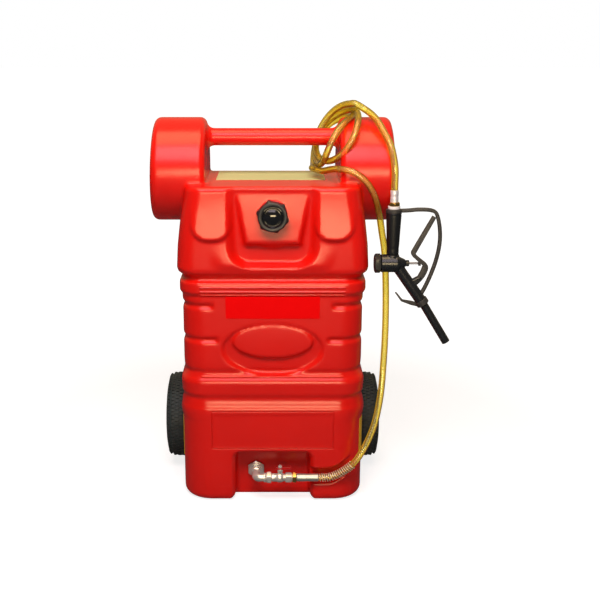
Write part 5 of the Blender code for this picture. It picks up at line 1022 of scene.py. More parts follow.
# %% Lay the sheet round the body
bpy.ops.object.select_all(action="DESELECT")
around = len(body_ring(0.4))
bpy.ops.mesh.primitive_grid_add(x_subdivisions=around, y_subdivisions=GRID_LEVELS)
body_sheet = named(bpy.context.object, "body_sheet")
rows = sorted({round(v.co.y, 5) for v in body_sheet.data.vertices})
columns = sorted({round(v.co.x, 5) for v in body_sheet.data.vertices})
print("grid:", len(columns), "columns,", len(rows), "rows; a ring has", around, "spots")
rings = []
for level in range(len(rows)):
    height = BODY_HEIGHT * level / (len(rows) - 1)
    ring = body_ring(height)
    rings.append([sheet_place(ring[index % around], height) for index in range(len(columns))])
column_of = {value: index for index, value in enumerate(columns)}
row_of = {value: index for index, value in enumerate(rows)}
for vertex in body_sheet.data.vertices:
    vertex.co = rings[row_of[round(vertex.co.y, 5)]][column_of[round(vertex.co.x, 5)]]

# %% Close the sheet at head and foot
pick_only(body_sheet)
bpy.ops.object.mode_set(mode="EDIT")
bpy.ops.mesh.select_all(action="SELECT")
bpy.ops.mesh.remove_doubles(threshold=0.00002)
bpy.ops.mesh.select_all(action="DESELECT")
bpy.ops.mesh.select_mode(type="EDGE")
bpy.ops.mesh.select_non_manifold()
bpy.ops.mesh.fill_holes(sides=0)
bpy.ops.mesh.select_all(action="SELECT")
bpy.ops.mesh.normals_make_consistent(inside=False)
bpy.ops.object.mode_set(mode="OBJECT")
print("body sheet:", len(body_sheet.data.polygons), "faces")

# %% [markdown]
# The two drums and the bar between them are turned about one axis across the body. The bar flares where it
# meets the drums.

# %% Drums and bar
DRUM_RADIUS = 0.130
DRUM_INNER_FACE = 0.166
DRUM_OUTER_FACE = 0.301
DRUM_EDGE_RADIUS = 0.016
DRUM_LEAN = 0.035
DRUM_DOME = 0.004
DRUM_Y = BODY_BACK - DRUM_RADIUS
DRUM_Z = BODY_HEIGHT + 0.021
BAR_RADIUS = 0.022
BAR_Z = DRUM_Z + 0.081
BAR_FLARE = 0.018

drum_edges = []
for face, inward, start, end in ((DRUM_INNER_FACE, 1, 180, 90), (DRUM_OUTER_FACE, -1, 90, 0)):
    centre = (face + inward * DRUM_EDGE_RADIUS, DRUM_RADIUS - DRUM_EDGE_RADIUS)
    drum_edges += [(radius, height) for height, radius in arc(centre, DRUM_EDGE_RADIUS, start, end, 8)]
drum_profile = [(0, DRUM_INNER_FACE), *drum_edges, (DRUM_RADIUS / 2, DRUM_OUTER_FACE + DRUM_DOME * 0.8),
                (0, DRUM_OUTER_FACE + DRUM_DOME)]
drums = []
for side in (-1, 1):
    drum = turned(f"drum_{side}", drum_profile, 128, (0, DRUM_Y, DRUM_Z), (side, 0, 0))
    for vertex in drum.data.vertices:
        outward = steadily(side * vertex.co.x, DRUM_INNER_FACE, DRUM_OUTER_FACE)
        vertex.co.x -= side * DRUM_LEAN * outward * (vertex.co.z - DRUM_Z)
    drums.append(drum)


def flared(radius, base, flare, steps):
    """A quarter round from a wide foot at this height to a narrow part, as (radius, way from the foot)."""
    angles = [math.pi / 2 * step / steps for step in range(steps + 1)]
    return [(radius + flare * (1 - math.sin(a)), base + flare * (1 - math.cos(a))) for a in angles]


flare = [(radius, -height) for radius, height in flared(BAR_RADIUS, -DRUM_INNER_FACE, BAR_FLARE, 8)]
bar_end = DRUM_INNER_FACE + DRUM_EDGE_RADIUS
half_bar = [(0, bar_end), (flare[0][0], bar_end), *flare]
bar = turned("bar", mirrored(half_bar), 64, (0, DRUM_Y, BAR_Z), (1, 0, 0))
print("drums and bar are turned")

# %% [markdown]
# The boss round the filler neck and the hollows of the niche, the hose channel, the wheel wells and the axle
# slot are simple solids. The remesh needs only closed shells, and the hollows are cut with Boolean modifiers
# before it, so that it rounds their edges too.

# %% Boss and cutters
BOSS_Y = BODY_FRONT + 0.001
BOSS_RADIUS = 0.0300
CAP_Z = BODY_HEIGHT - 0.069
NICHE_HALF_WIDTH = 0.106
NICHE_BACK_HALF_WIDTH = 0.093
NICHE_HEIGHT = 0.140
NICHE_DEPTH = 0.050
NICHE_CORNER = 0.022
NICHE_FOOT_FLARE = 0.020
CHANNEL_DEPTH = 0.017
CHANNEL_HALF_HEIGHT = 0.021
OVERRUN = 0.012
AXLE_Y = 0.121
AXLE_Z = 0.136
AXLE_RADIUS = 0.008
AXLE_SLOT_HALF_LENGTH = 0.26
WELL_RADIUS = 0.130
WELL_INNER, WELL_OUTER = 0.210, 0.27


def niche_ring(share, reach):
    """The niche's outline at this way in. The share is 1 at the front and 0 at the back."""
    half = between(NICHE_BACK_HALF_WIDTH, NICHE_HALF_WIDTH, share)
    high = NICHE_HEIGHT - NICHE_CORNER / 4 * (1 - share)
    head = arc((half - NICHE_CORNER, high - NICHE_CORNER), NICHE_CORNER, 0, 90, 10)
    right = [(half + NICHE_FOOT_FLARE, -OVERRUN), *flared(half, 0, NICHE_FOOT_FLARE, 6), *head]
    outline = right + [(-x, z) for x, z in reversed(right)]
    return [(x, BODY_FRONT + reach, z) for x, z in outline]


NECK_SEAT = (0, BOSS_Y, CAP_Z)
FORWARDS = (0, -1, 0)
boss_outline = [(0, -0.03), (BOSS_RADIUS, -0.03), (BOSS_RADIUS, -0.001), (BOSS_RADIUS - 0.001, 0), (0, 0)]
boss = turned("boss", boss_outline, 96, NECK_SEAT, FORWARDS)
niche_steps = ((1.0, -OVERRUN), (1.0, 0), (0.35, NICHE_DEPTH / 4), (0.0, NICHE_DEPTH))
niche = stacked("niche", [niche_ring(share, reach) for share, reach in niche_steps])
print("points of the niche's outline:", len(niche_ring(1, 0)))

# %% Channel, wheel wells and axle slot
channel_line = through([(NICHE_BACK_HALF_WIDTH, OUTLET_HEIGHT)] + [(x, z) for x, _, z in LOWER_ROUTE[:6]], 4)
channel_outline = [(p.x, p.y - CHANNEL_HALF_HEIGHT) for p in channel_line]
channel_outline += [(p.x, p.y + CHANNEL_HALF_HEIGHT) for p in reversed(channel_line)]
channel = prism("channel", channel_outline, 1, BODY_FRONT - OVERRUN, BODY_FRONT + CHANNEL_DEPTH)
well_outline = [*arc((AXLE_Y, AXLE_Z), WELL_RADIUS, 0, 180, 48), (AXLE_Y - WELL_RADIUS, -OVERRUN),
                (AXLE_Y + WELL_RADIUS, -OVERRUN)]
wells = [prism(f"well_{side}", well_outline, 0, side * WELL_INNER, side * WELL_OUTER) for side in (-1, 1)]
seat = arc((AXLE_Y, AXLE_Z), AXLE_RADIUS + 0.0003, 90, 270, 12)
slot_end = BODY_BACK + OVERRUN
slot_outline = [*seat, (slot_end, AXLE_Z - AXLE_RADIUS), (slot_end, AXLE_Z + AXLE_RADIUS)]
axle_slot = prism("axle_slot", slot_outline, 0, -AXLE_SLOT_HALF_LENGTH, AXLE_SLOT_HALF_LENGTH)
print("cutters made:", 3 + len(wells))

# %% Fuse, cut, fuse again and smooth
VOXEL = 0.0035
moulded_tank = named(body_sheet, "moulded_tank")
for part in (*drums, bar, boss):
    cut_away(moulded_tank, part, "UNION", "MANIFOLD")
for cutter in (niche, channel, *wells, axle_slot):
    cut_away(moulded_tank, cutter, solver="MANIFOLD")
apply_step(moulded_tank, "REMESH", mode="VOXEL", voxel_size=VOXEL)
apply_step(moulded_tank, "SMOOTH", factor=0.5, iterations=3)
for vertex in moulded_tank.data.vertices:
    if vertex.co.y < FRONT_LIMIT_Y and abs(vertex.co.x) < LINE_HALF_LENGTH:
        nearest = min(abs(vertex.co.z - height) for height in LINE_HEIGHTS)
        vertex.co.y -= LINE_RISE * (1 - steadily(nearest, 0, LINE_HALF_HEIGHT))
print("tank after the remesh:", len(moulded_tank.data.polygons), "faces")

# %% [markdown]
# The filler bore is cut last, so that its edge stays crisp. The neck itself is a finer piece with its thread.

# %% Filler bore and neck
NECK_RADIUS = 0.028
NECK_BORE_RADIUS = 0.023
NECK_LENGTH = 0.014
THREAD_ROOT = NECK_RADIUS - 0.0012
THREAD_PITCH = 0.004
THREAD_TURNS = 3
OUTLET_X = -0.0435
OUTLET_HOLE_RADIUS = 0.0108
NICHE_BACK = BODY_FRONT + NICHE_DEPTH
SPLIT_Y = 0.050

bore = turned("bore", rod(NECK_BORE_RADIUS, -0.045, 0.03), 64, NECK_SEAT, FORWARDS)
outlet_hole = turned("outlet_hole", rod(OUTLET_HOLE_RADIUS, -0.004, 0.03), 48,
                     (OUTLET_X, NICHE_BACK, OUTLET_HEIGHT), (0, 1, 0))
for cutter in (bore, outlet_hole):
    cut_away(moulded_tank, cutter, solver="MANIFOLD")
smooth(moulded_tank, 60)
pick_only(moulded_tank)
for face in moulded_tank.data.polygons:
    face.select = face.center.y > SPLIT_Y
bpy.ops.object.mode_set(mode="EDIT")
bpy.ops.mesh.select_mode(type="FACE")
bpy.ops.mesh.separate(type="SELECTED")
bpy.ops.object.mode_set(mode="OBJECT")
tank_rear = named(next(thing for thing in bpy.context.selected_objects if thing != moulded_tank), "tank_rear")
dress(moulded_tank, TANK_PLASTIC, "caddy", "tank_red", "tank_shell")
dress(tank_rear, TANK_PLASTIC, "caddy", "tank_red")
print("front and rear faces:", len(moulded_tank.data.polygons), len(tank_rear.data.polygons))
neck_profile = [(NECK_BORE_RADIUS, -0.01), (THREAD_ROOT, -0.01)]
for turn in range(THREAD_TURNS):
    base = 0.0015 + turn * THREAD_PITCH
    neck_profile += [(THREAD_ROOT, base), (NECK_RADIUS, base + 0.0012), (NECK_RADIUS, base + 0.0018),
                     (THREAD_ROOT, base + 0.003)]
neck_profile += [(THREAD_ROOT, NECK_LENGTH - 0.0006), (NECK_RADIUS - 0.0018, NECK_LENGTH),
                 (NECK_BORE_RADIUS + 0.0006, NECK_LENGTH), (NECK_BORE_RADIUS, NECK_LENGTH - 0.0006)]
filler_neck = smooth(turned("filler_neck", neck_profile, 72, NECK_SEAT, FORWARDS))
dress(filler_neck, TANK_PLASTIC, "caddy", "tank_red")
print("tank box:", [round(c, 3) for c in moulded_tank.dimensions])

# %% [markdown]
# ## Bare labels
# The photograph shows films with printing. Here they are bare. Each one is a thin plane with round corners,
# given a little thickness.

# %% Label films
FILM_THICKNESS = 0.0006


def label(name, node, material, slot, corner, upright):
    """A film where the frame has that label. It faces forwards if it is upright, and upwards if not."""
    low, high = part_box(node)
    middle, size = (low + high) / 2, high - low
    half_u, half_v = size.x / 2, (size.z if upright else size.y) / 2
    outline = []
    for sign_u, sign_v, start in ((1, 1, 0), (-1, 1, 90), (-1, -1, 180), (1, -1, 270)):
        centre = (sign_u * (half_u - corner), sign_v * (half_v - corner))
        outline += arc(centre, corner, start, start + 90, 6)
    piece = smooth(extruded(name, [(u, v, 0) for u, v in outline], (0, 0, FILM_THICKNESS)))
    piece.rotation_euler = (math.radians(90 if upright else 0), 0, 0)
    piece.location = (middle.x, high.y, middle.z) if upright else (middle.x, middle.y, low.z)
    pick_only(piece)
    bpy.ops.object.transform_apply(location=True, rotation=True, scale=True)
    return dress(piece, material, "caddy", slot, node)


label("front_label_film", "front_label", LABEL_RED, "label_red", 0.0025, True)
label("top_label_film", "top_label", LABEL_YELLOW, "label_yellow", 0.004, False)
print("labels are bare films")

# %% [markdown]
# The two side labels wrap the front corners. Each one is a strip of the corner's own arc with a short
# straight end.

# %% Side labels
corner_x, corner_y = BODY_HALF_WIDTH - 0.45 * WAIST_SETBACK - CORNER_RADIUS, BODY_FRONT + CORNER_RADIUS
for side, word in SIDES:
    low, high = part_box(f"{word}_side_label")
    begin = -28 if side > 0 else -10
    strip = []
    for radius in (CORNER_RADIUS + 0.0004, CORNER_RADIUS + 0.0011):
        bend = arc((corner_x, corner_y), radius, begin, 0, 16) + [(corner_x + radius, high.y)]
        strip += bend if not strip else reversed(bend)
    piece = prism(f"{word}_side_film", [(side * x, y) for x, y in strip], 2, low.z, high.z)
    dress(smooth(piece), SIDE_YELLOW, "caddy", "label_yellow", f"{word}_side_label")
print("side labels follow the corners")

# %% [markdown]
# ## The screw cap
# The cap has a lobed ring that turns and a glossy dished disc that stays. The ring is turned with fine steps,
# and then its outer points are pushed out in six lobes.

# %% Cap ring
CAP_FACE, CAP_BACK = span("cap_ring", "y")
NECK_END = BOSS_Y - NECK_LENGTH
CAP_SEAT = (0, NECK_END, CAP_Z)
CAP_RING_RADIUS = 0.0358
CAP_SEAT_RADIUS = 0.0286
CAP_LOBE_RISE = 0.0044
CAP_LOBES = 6
CAP_LOBE_TURN = math.radians(-15)
CAP_WINDOW = 0.0255

ring_low, ring_high = NECK_END - CAP_BACK, NECK_END - CAP_FACE
ring_profile = [(CAP_SEAT_RADIUS, ring_low), (CAP_RING_RADIUS - 0.001, ring_low),
                (CAP_RING_RADIUS, ring_low + 0.001)]
ring_profile += [(CAP_RING_RADIUS, ring_low + (ring_high - ring_low) * k / 8) for k in range(1, 7)]
CAP_EDGE = ((CAP_RING_RADIUS, 0.0030), (0.0352, 0.0014), (0.0338, 0.0003), (0.0318, 0), (0.0282, 0.0004),
            (0.0264, 0.0012), (CAP_WINDOW, 0.0028), (CAP_WINDOW, 0.0039), (CAP_SEAT_RADIUS, 0.0039))
ring_profile += [(radius, ring_high - drop) for radius, drop in CAP_EDGE]
lobed_ring = turned("lobed_cap_ring", ring_profile, 144)
for vertex in lobed_ring.data.vertices:
    radius = math.hypot(vertex.co.x, vertex.co.y)
    angle = math.atan2(vertex.co.y, vertex.co.x)
    lobe = (0.5 + 0.5 * math.cos(CAP_LOBES * (angle - CAP_LOBE_TURN))) ** 4
    below_face = steadily(ring_high - vertex.co.z, 0.002, 0.005)
    push = CAP_LOBE_RISE * lobe * steadily(radius, 0.031, 0.0345) * below_face
    vertex.co.x += push * math.cos(angle)
    vertex.co.y += push * math.sin(angle)
settle(smooth(lobed_ring), CAP_SEAT, FORWARDS)
dress(lobed_ring, BLACK_NYLON, "cap_collar", "black_plastic", "cap_ring")
print(f"cap ring is {1000 * (ring_high - ring_low):.1f} mm deep")

# %% Cap disc
DISH_RADIUS = 0.0205
DISH_DEPTH = 0.0050

disc_high, disc_low = (NECK_END - y for y in span("cap_disc", "y"))
crown = CAP_WINDOW - 0.0006
disc_profile = [(0, disc_low), (0.0278, disc_low), (0.0280, disc_low + 0.0004), (0.0280, disc_low + 0.004),
                (crown, disc_low + 0.004), (crown, disc_high - 0.0008), (crown - 0.0008, disc_high),
                (crown - 0.0020, disc_high - 0.0004), (crown - 0.0036, disc_high - 0.0052)]
disc_profile += [(radius, disc_high - 0.0004 - DISH_DEPTH * (radius / DISH_RADIUS) ** 2)
                 for radius in (DISH_RADIUS, 0.018, 0.015, 0.012, 0.009, 0.006, 0.003, 0)]
cap_dish = smooth(turned("cap_dish", disc_profile, 96, CAP_SEAT, FORWARDS), 40)
dress(cap_dish, GLOSS_BLACK, "cap_cover", "gloss_black", "cap_disc")
paint_node("cap_gasket", SEAL_RUBBER)
print(f"cap disc is {1000 * (disc_high - disc_low):.1f} mm deep")

# %% [markdown]
# ## Wheels
# The tyres are block-treaded. The carcass is turned. One tread block is modelled from a cube, bevelled, and
# copied round the tyre in staggered rows, each copy with its own place in the joined mesh.

# %% Tyre carcass and tread blocks
WHEEL_X = 0.2555
TYRE_RADIUS = 0.118
TYRE_HALF_WIDTH = 0.037
TREAD_HEIGHT = 0.0028
TREAD_FALL = 0.0150
TREAD_FALL_POWER = 3.4
BLOCKS_AROUND = 70
BLOCK_ROWS = (-0.0280, -0.0170, -0.0057, 0.0057, 0.0170, 0.0280)
BLOCK_LENGTH = 0.0079
BLOCK_WIDTH = 0.0092
BLOCK_EDGE = 0.0007
TYRE_SIDE = [(0.0990, 0.0354), (0.0930, 0.0366), (0.0850, 0.0370), (0.0770, 0.0366), (0.0690, 0.0352),
             (0.0630, 0.0328), (0.0588, 0.0305), (0.0512, 0.0288), (0.0512, 0.0212), (0.064, 0.0245),
             (0.080, 0.0295), (0.096, 0.0260), (0.104, 0.0120)]


def tyre_surface(across):
    """The tread's radius at this distance from the middle plane."""
    return TYRE_RADIUS - TREAD_HEIGHT - TREAD_FALL * (abs(across) / TYRE_HALF_WIDTH) ** TREAD_FALL_POWER


def tread_block(name, across, turn):
    """One block of the tread, from a cube that leans with the tread's fall."""
    bpy.ops.mesh.primitive_cube_add(size=1)
    block = named(bpy.context.object, name)
    slope = TREAD_FALL_POWER * TREAD_FALL / TYRE_HALF_WIDTH
    slope *= (abs(across) / TYRE_HALF_WIDTH) ** (TREAD_FALL_POWER - 1)
    block.scale = (TREAD_HEIGHT * 2, BLOCK_LENGTH, BLOCK_WIDTH)
    block.rotation_euler = (0, math.copysign(math.atan(slope), across), 0)
    block.location = (tyre_surface(across), 0, across)
    bpy.ops.object.transform_apply(location=True, rotation=True, scale=True)
    apply_step(block, "BEVEL", width=BLOCK_EDGE, segments=1)
    block.rotation_euler = (0, 0, turn)
    bpy.ops.object.transform_apply(location=True, rotation=True, scale=True)
    return block


print("tread radius at its middle:", round(tyre_surface(0), 4))

# %% Both tyres
crown_places = [TYRE_HALF_WIDTH * 0.92 * (k / 12 - 1) for k in range(25)]
tyre_profile = [(tyre_surface(across), across) for across in crown_places] + mirrored(TYRE_SIDE)
for side, word in SIDES:
    name = f"{word}_block_tyre"
    row_blocks = [tread_block(f"{name}_block_{row}", across, math.pi * row / BLOCKS_AROUND)
                  for row, across in enumerate(BLOCK_ROWS)]
    blocks = [joined(f"{name}_pattern", row_blocks)]
    for index in range(1, BLOCKS_AROUND):
        copy = blocks[0].copy()
        copy.data = blocks[0].data.copy()
        bpy.context.scene.collection.objects.link(copy)
        copy.rotation_euler = (0, 0, 2 * math.pi * index / BLOCKS_AROUND)
        blocks.append(copy)
    piece = smooth(joined(name, [turned(f"{name}_carcass", tyre_profile, 96), *blocks]))
    settle(piece, (side * WHEEL_X, AXLE_Y, AXLE_Z), (side, 0, 0))
    dress(piece, TYRE_RUBBER, f"{word}_wheel", "tyre", f"{word}_tyre")
print("blocks on each tyre:", BLOCKS_AROUND * len(BLOCK_ROWS))

# %% [markdown]
# The rims are pressed steel, painted, with a deep dish and a hub that holds two bearings. Six round holes
# would be usual, but the photograph hides the rims, so the dish stays plain with one rolled bead.

# %% Rims, bearings, washers and push-on caps
HUB_HALF_LENGTH = 0.0285
BEARING_BACK = 0.0188
SHAFT_BORE = 0.0083
WASHER_GAP, WASHER_THICKNESS = 0.0006, 0.002
PUSH_CAP_LENGTH = 0.009
RIM_SIDE = [(0.0435, 0.010), (0.0500, 0.0145), (0.0505, 0.0165), (0.0505, 0.0285), (0.0520, 0.0292),
            (0.0578, 0.0294), (0.0585, 0.0304), (0.0580, 0.0316), (0.0480, 0.0320), (0.0472, 0.0300),
            (0.0470, 0.0160), (0.0405, 0.0080), (0.0380, 0.0045), (0.0330, 0.0030), (0.0270, 0.0036),
            (0.0225, 0.0050), (0.0205, 0.0075), (0.0203, 0.0280), (0.0198, HUB_HALF_LENGTH),
            (0.0178, HUB_HALF_LENGTH), (0.0178, 0.0185), (0.0110, 0.0185)]


def zinc_plated(piece, node, body="caddy"):
    return dress(piece, ZINC, body, "zinc_steel", node)


for side, word in SIDES:
    centre, out = (side * WHEEL_X, AXLE_Y, AXLE_Z), (side, 0, 0)
    dish = turned(f"{word}_pressed_rim", mirrored(RIM_SIDE), 96, centre, out)
    dress(smooth(dish, 40), RIM_PAINT, f"{word}_wheel", "rim_paint", f"{word}_rim")
    for place, sign in (("outer", 1), ("inner", -1)):
        back, face = sign * BEARING_BACK, sign * HUB_HALF_LENGTH
        shield = face - sign * 0.0006
        race = [(SHAFT_BORE, back), (0.0175, back), (0.0175, face), (0.0150, face), (0.0148, shield),
                (0.0112, shield), (0.0110, face), (SHAFT_BORE, face)]
        ring = smooth(turned(f"{word}_{place}_race", race, 64, centre, out))
        zinc_plated(ring, f"{word}_{place}_bearing", f"{word}_wheel")
    paint_node(f"{word}_spacer", ZINC)
    start = HUB_HALF_LENGTH + WASHER_GAP
    washer_profile = sleeve(SHAFT_BORE, 0.015, start, start + WASHER_THICKNESS)
    ring = turned(f"{word}_flat_washer", washer_profile, 64, centre, out)
    zinc_plated(rounded(ring, 0.0003), f"{word}_washer")
    start += WASHER_THICKNESS + 0.0003
    end = start + PUSH_CAP_LENGTH
    dome = [(0, end - 0.0020), (SHAFT_BORE, end - 0.0020), (SHAFT_BORE, start), (0.0120, start),
            (0.0122, start + 0.0008), (0.0118, end - 0.0040), (0.0100, end - 0.0012), (0.0060, end - 0.0002),
            (0, end)]
    zinc_plated(smooth(turned(f"{word}_domed_cap", dome, 64, centre, out), 50), f"{word}_push_cap")
print("rims, bearings, washers and caps are on")

# %% [markdown]
# ## Axle and its clamps
# The axle is a plain bar in a slot across the back. Two bent plates with a screw each hold it there.

# %% Axle, clamps and screws
PLATE_THICKNESS = 0.003
TONGUE = 0.0075
SCREW_HEAD = [(0, -0.004), (0.0025, -0.004), (0.0025, 0.0003), (0.0050, 0.0003), (0.0050, 0.0012),
              (0.0042, 0.0024), (0.0026, 0.0030), (0, 0.0032)]

axle_low, axle_high = span("axle", "x")
axle_bar = turned("axle_bar", rod(AXLE_RADIUS, axle_low, axle_high), 64, (0, AXLE_Y, AXLE_Z), (1, 0, 0))
zinc_plated(rounded(axle_bar, 0.0008), "axle")
for side, word in SIDES:
    low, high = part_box(f"{word}_axle_clamp")
    face, nose = high.y - PLATE_THICKNESS, low.y
    bend = nose + TONGUE / 2
    outline = [(nose, AXLE_Z - TONGUE / 3), (bend, AXLE_Z - TONGUE), (high.y, AXLE_Z - TONGUE),
               (high.y, high.z), (face, high.z), (face, AXLE_Z + TONGUE), (bend, AXLE_Z + TONGUE),
               (nose, AXLE_Z + TONGUE / 3)]
    plate = prism(f"{word}_clamp_plate", outline, 0, low.x, high.x)
    zinc_plated(rounded(plate, 0.0008), f"{word}_axle_clamp")
    middle, screw_z = (low.x + high.x) / 2, AXLE_Z + AXLE_RADIUS + 0.013
    screw = turned(f"{word}_pan_screw", SCREW_HEAD, 48, (middle, high.y, screw_z), (0, 1, 0))
    bpy.ops.mesh.primitive_cube_add(size=1)
    slot_cut = bpy.context.object
    slot_cut.scale = (0.0065, 0.0022, 0.0010)
    settle(slot_cut, (middle, high.y + 0.0032, screw_z))
    cut_away(screw, slot_cut)
    zinc_plated(smooth(screw), f"{word}_clamp_screw")
print("axle:", round(axle_high - axle_low, 3), "m long")

# %% [markdown]
# ## The outlet
# A nickel-plated bulkhead fitting comes through the niche's back wall. An elbow turns the flow along the
# front, through a small ball valve with a red lever, a double nipple and a brass swivel nut, into the crimped
# sleeve of the hose.

# %% Bulkhead fitting
FLOW_RADIUS = 0.006
THREAD_OUTER = 0.0105
ALONG = (1, 0, 0)
UP = (0, 0, 1)
RUN = (0, RUN_Y, OUTLET_HEIGHT)
FITTING_SEAT = (OUTLET_X, NICHE_BACK, OUTLET_HEIGHT)


def nickelled(piece, node, body="caddy"):
    return dress(piece, NICKEL, body, "fitting_steel", node)


flange_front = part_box("bulkhead_fitting")[0].y
hub_high = NICHE_BACK - flange_front
flange = hex_nut("bulkhead_hex", 0.0205, 0.0026, 0.0096, 0.0130, FITTING_SEAT, FORWARDS)
hub_profile = [(FLOW_RADIUS, -0.020), (0.0098, -0.020), (THREAD_OUTER, -0.019), (THREAD_OUTER, 0.0061),
               (0.0135, 0.0061), (0.0135, hub_high - 0.001), (0.0125, hub_high), (FLOW_RADIUS, hub_high)]
lip_profile = [(0.0150, 0.0085), (0.0192, 0.0085), (0.0192, 0.0102), (0.0183, 0.0112), (0.0160, 0.0112),
               (0.0150, 0.0105)]
hub, lip = (turned(name, profile, 64, FITTING_SEAT, FORWARDS)
            for name, profile in (("bulkhead_hub", hub_profile), ("bulkhead_lip", lip_profile)))
nickelled(smooth(joined("bulkhead_body", [flange, hub, lip])), "bulkhead_fitting")
print("the fitting stands", round(hub_high, 4), "m out of the niche's wall")

# %% Elbow
ELBOW_BEND = 0.011
ELBOW_BEAD = 0.007
ELBOW_RADIUS = 0.0100
ELBOW_END_X = -0.0163
BEAD_STEPS = ((0, 1.14), (0.0006, 1.20), (ELBOW_BEAD, 1.20), (ELBOW_BEAD + 0.0008, 1.0))

front, along = Vector(FORWARDS), Vector(ALONG)
elbow_start = Vector((OUTLET_X, flange_front - 0.0003, OUTLET_HEIGHT))
elbow_corner = Vector((OUTLET_X, RUN_Y, OUTLET_HEIGHT))
elbow_end = Vector((ELBOW_END_X, RUN_Y, OUTLET_HEIGHT))
elbow_line = [(elbow_start + front * way, share) for way, share in BEAD_STEPS]
for step in range(13):
    angle = math.pi / 2 * step / 12
    turn = front * (1 - math.sin(angle)) - along * (1 - math.cos(angle))
    elbow_line.append((elbow_corner - ELBOW_BEND * turn, 1.04))
elbow_line += [(elbow_end - along * way, share) for way, share in reversed(BEAD_STEPS)]
elbow_places, elbow_shares = zip(*elbow_line)
nickelled(as_mesh(wire("outlet_bend", elbow_places, ELBOW_RADIUS, 10, elbow_shares)), "outlet_elbow")
paint_node("bulkhead_gasket", SEAL_RUBBER)
paint_node("bulkhead_nut", BRASS)
print("points of the elbow's line:", len(elbow_places))


# %% Nuts, valve body and nipple
def fitted_nut(name, node, half_flats, axis, bore, place):
    """A hexagon as long as its solid, along X or Z."""
    low, high = span(node, axis)
    return hex_nut(name, half_flats, low, high, bore, place, ALONG if axis == "x" else UP)


STEM_X = 0.019
VALVE_SEAT = (STEM_X, RUN_Y, OUTLET_HEIGHT)
VALVE_BULGE = ((-0.0095, THREAD_OUTER), (-0.0078, 0.0113), (-0.0045, 0.0123), (0, 0.0126), (0.0035, 0.0122),
               (0.0058, 0.0112), (0.0068, THREAD_OUTER))
STEM_BOSS = [(0, 0.0090), (0.0074, 0.0090), (0.0064, 0.0125), (0.0060, 0.0140), (0.0060, 0.0172),
             (0.0057, 0.0175), (0, 0.0175)]

nickelled(fitted_nut("union_hex", "union_nut", 0.0140, "x", FLOW_RADIUS, RUN), "union_nut")
valve_low, valve_high = span("valve_body", "x")
valve_profile = [(FLOW_RADIUS, valve_low), (0.0098, valve_low), (THREAD_OUTER, valve_low + 0.0007),
                 *[(radius, STEM_X + way) for way, radius in VALVE_BULGE],
                 (THREAD_OUTER, valve_high - 0.0007), (0.0098, valve_high), (FLOW_RADIUS, valve_high)]
valve_shells = [turned("valve_tube", valve_profile, 64, RUN, ALONG),
                turned("valve_boss", STEM_BOSS, 48, VALVE_SEAT)]
nickelled(smooth(joined("valve_casting", valve_shells)), "valve_body")
nipple_low, nipple_high = span("hex_nipple", "x")
nipple = hex_nut("nipple_hex", 0.0125, nipple_low + 0.0035, nipple_high - 0.0015, FLOW_RADIUS, RUN, ALONG)
nipple_tube = turned("nipple_tube", sleeve(FLOW_RADIUS, 0.0098, nipple_low, nipple_high), 48, RUN, ALONG)
nickelled(smooth(joined("nipple_piece", [nipple, nipple_tube])), "hex_nipple")
swivel = fitted_nut("swivel_hex", "swivel_nut", 0.0128, "x", FLOW_RADIUS, RUN)
dress(swivel, BRASS, "caddy", "brass", "swivel_nut")
print("nuts on the run: union, nipple and swivel")

# %% Crimped sleeves
CRIMPS = ((0.5, 0.0006, 0.003), (0.14, 0.0003, 0.0014), (0.86, 0.0003, 0.0014))


def crimped(name, length, place, direction):
    """A sleeve with rolled ends, a shallow crimp round its middle and a fine one near each end."""
    rows = [(FLOW_RADIUS, 0), (0.0094, 0), (0.0099, 0.0006)]
    for k in range(1, 24):
        height = length * k / 24
        pinch = sum(depth * math.exp(-((height - length * share) / width) ** 2)
                    for share, depth, width in CRIMPS)
        rows.append((0.0100 - pinch, height))
    rows += [(0.0099, length - 0.0006), (0.0094, length), (0.0088, length), (FLOW_RADIUS, length)]
    return smooth(turned(name, rows, 64, place, direction), 40)


ferrule_low, ferrule_high = span("lower_ferrule", "x")
lower_sleeve = crimped("lower_sleeve", ferrule_high - ferrule_low, (ferrule_low, RUN_Y, OUTLET_HEIGHT), ALONG)
dress(lower_sleeve, SATIN_STEEL, "caddy", "fitting_steel", "lower_ferrule")
top_low, top_high = span("upper_ferrule", "z")
upper_sleeve = crimped("upper_sleeve", top_high - top_low, (NOZZLE_X, NOZZLE_Y, top_high), (0, 0, -1))
dress(upper_sleeve, ALUMINIUM, "caddy", "fitting_steel", "upper_ferrule")
print("sleeves are crimped")

# %% [markdown]
# The valve's lever is a bent steel strip with a dipped red coat. It is drawn from above, extruded, and its
# end is turned up as a finger tab.

# %% Lever, gland, stem and its nut
LEVER_THICK = 0.003
LEVER_HALF_WIDTH = 0.006
STEM_BORE = 0.0033
STEM_AXIS = (STEM_X, RUN_Y, 0)

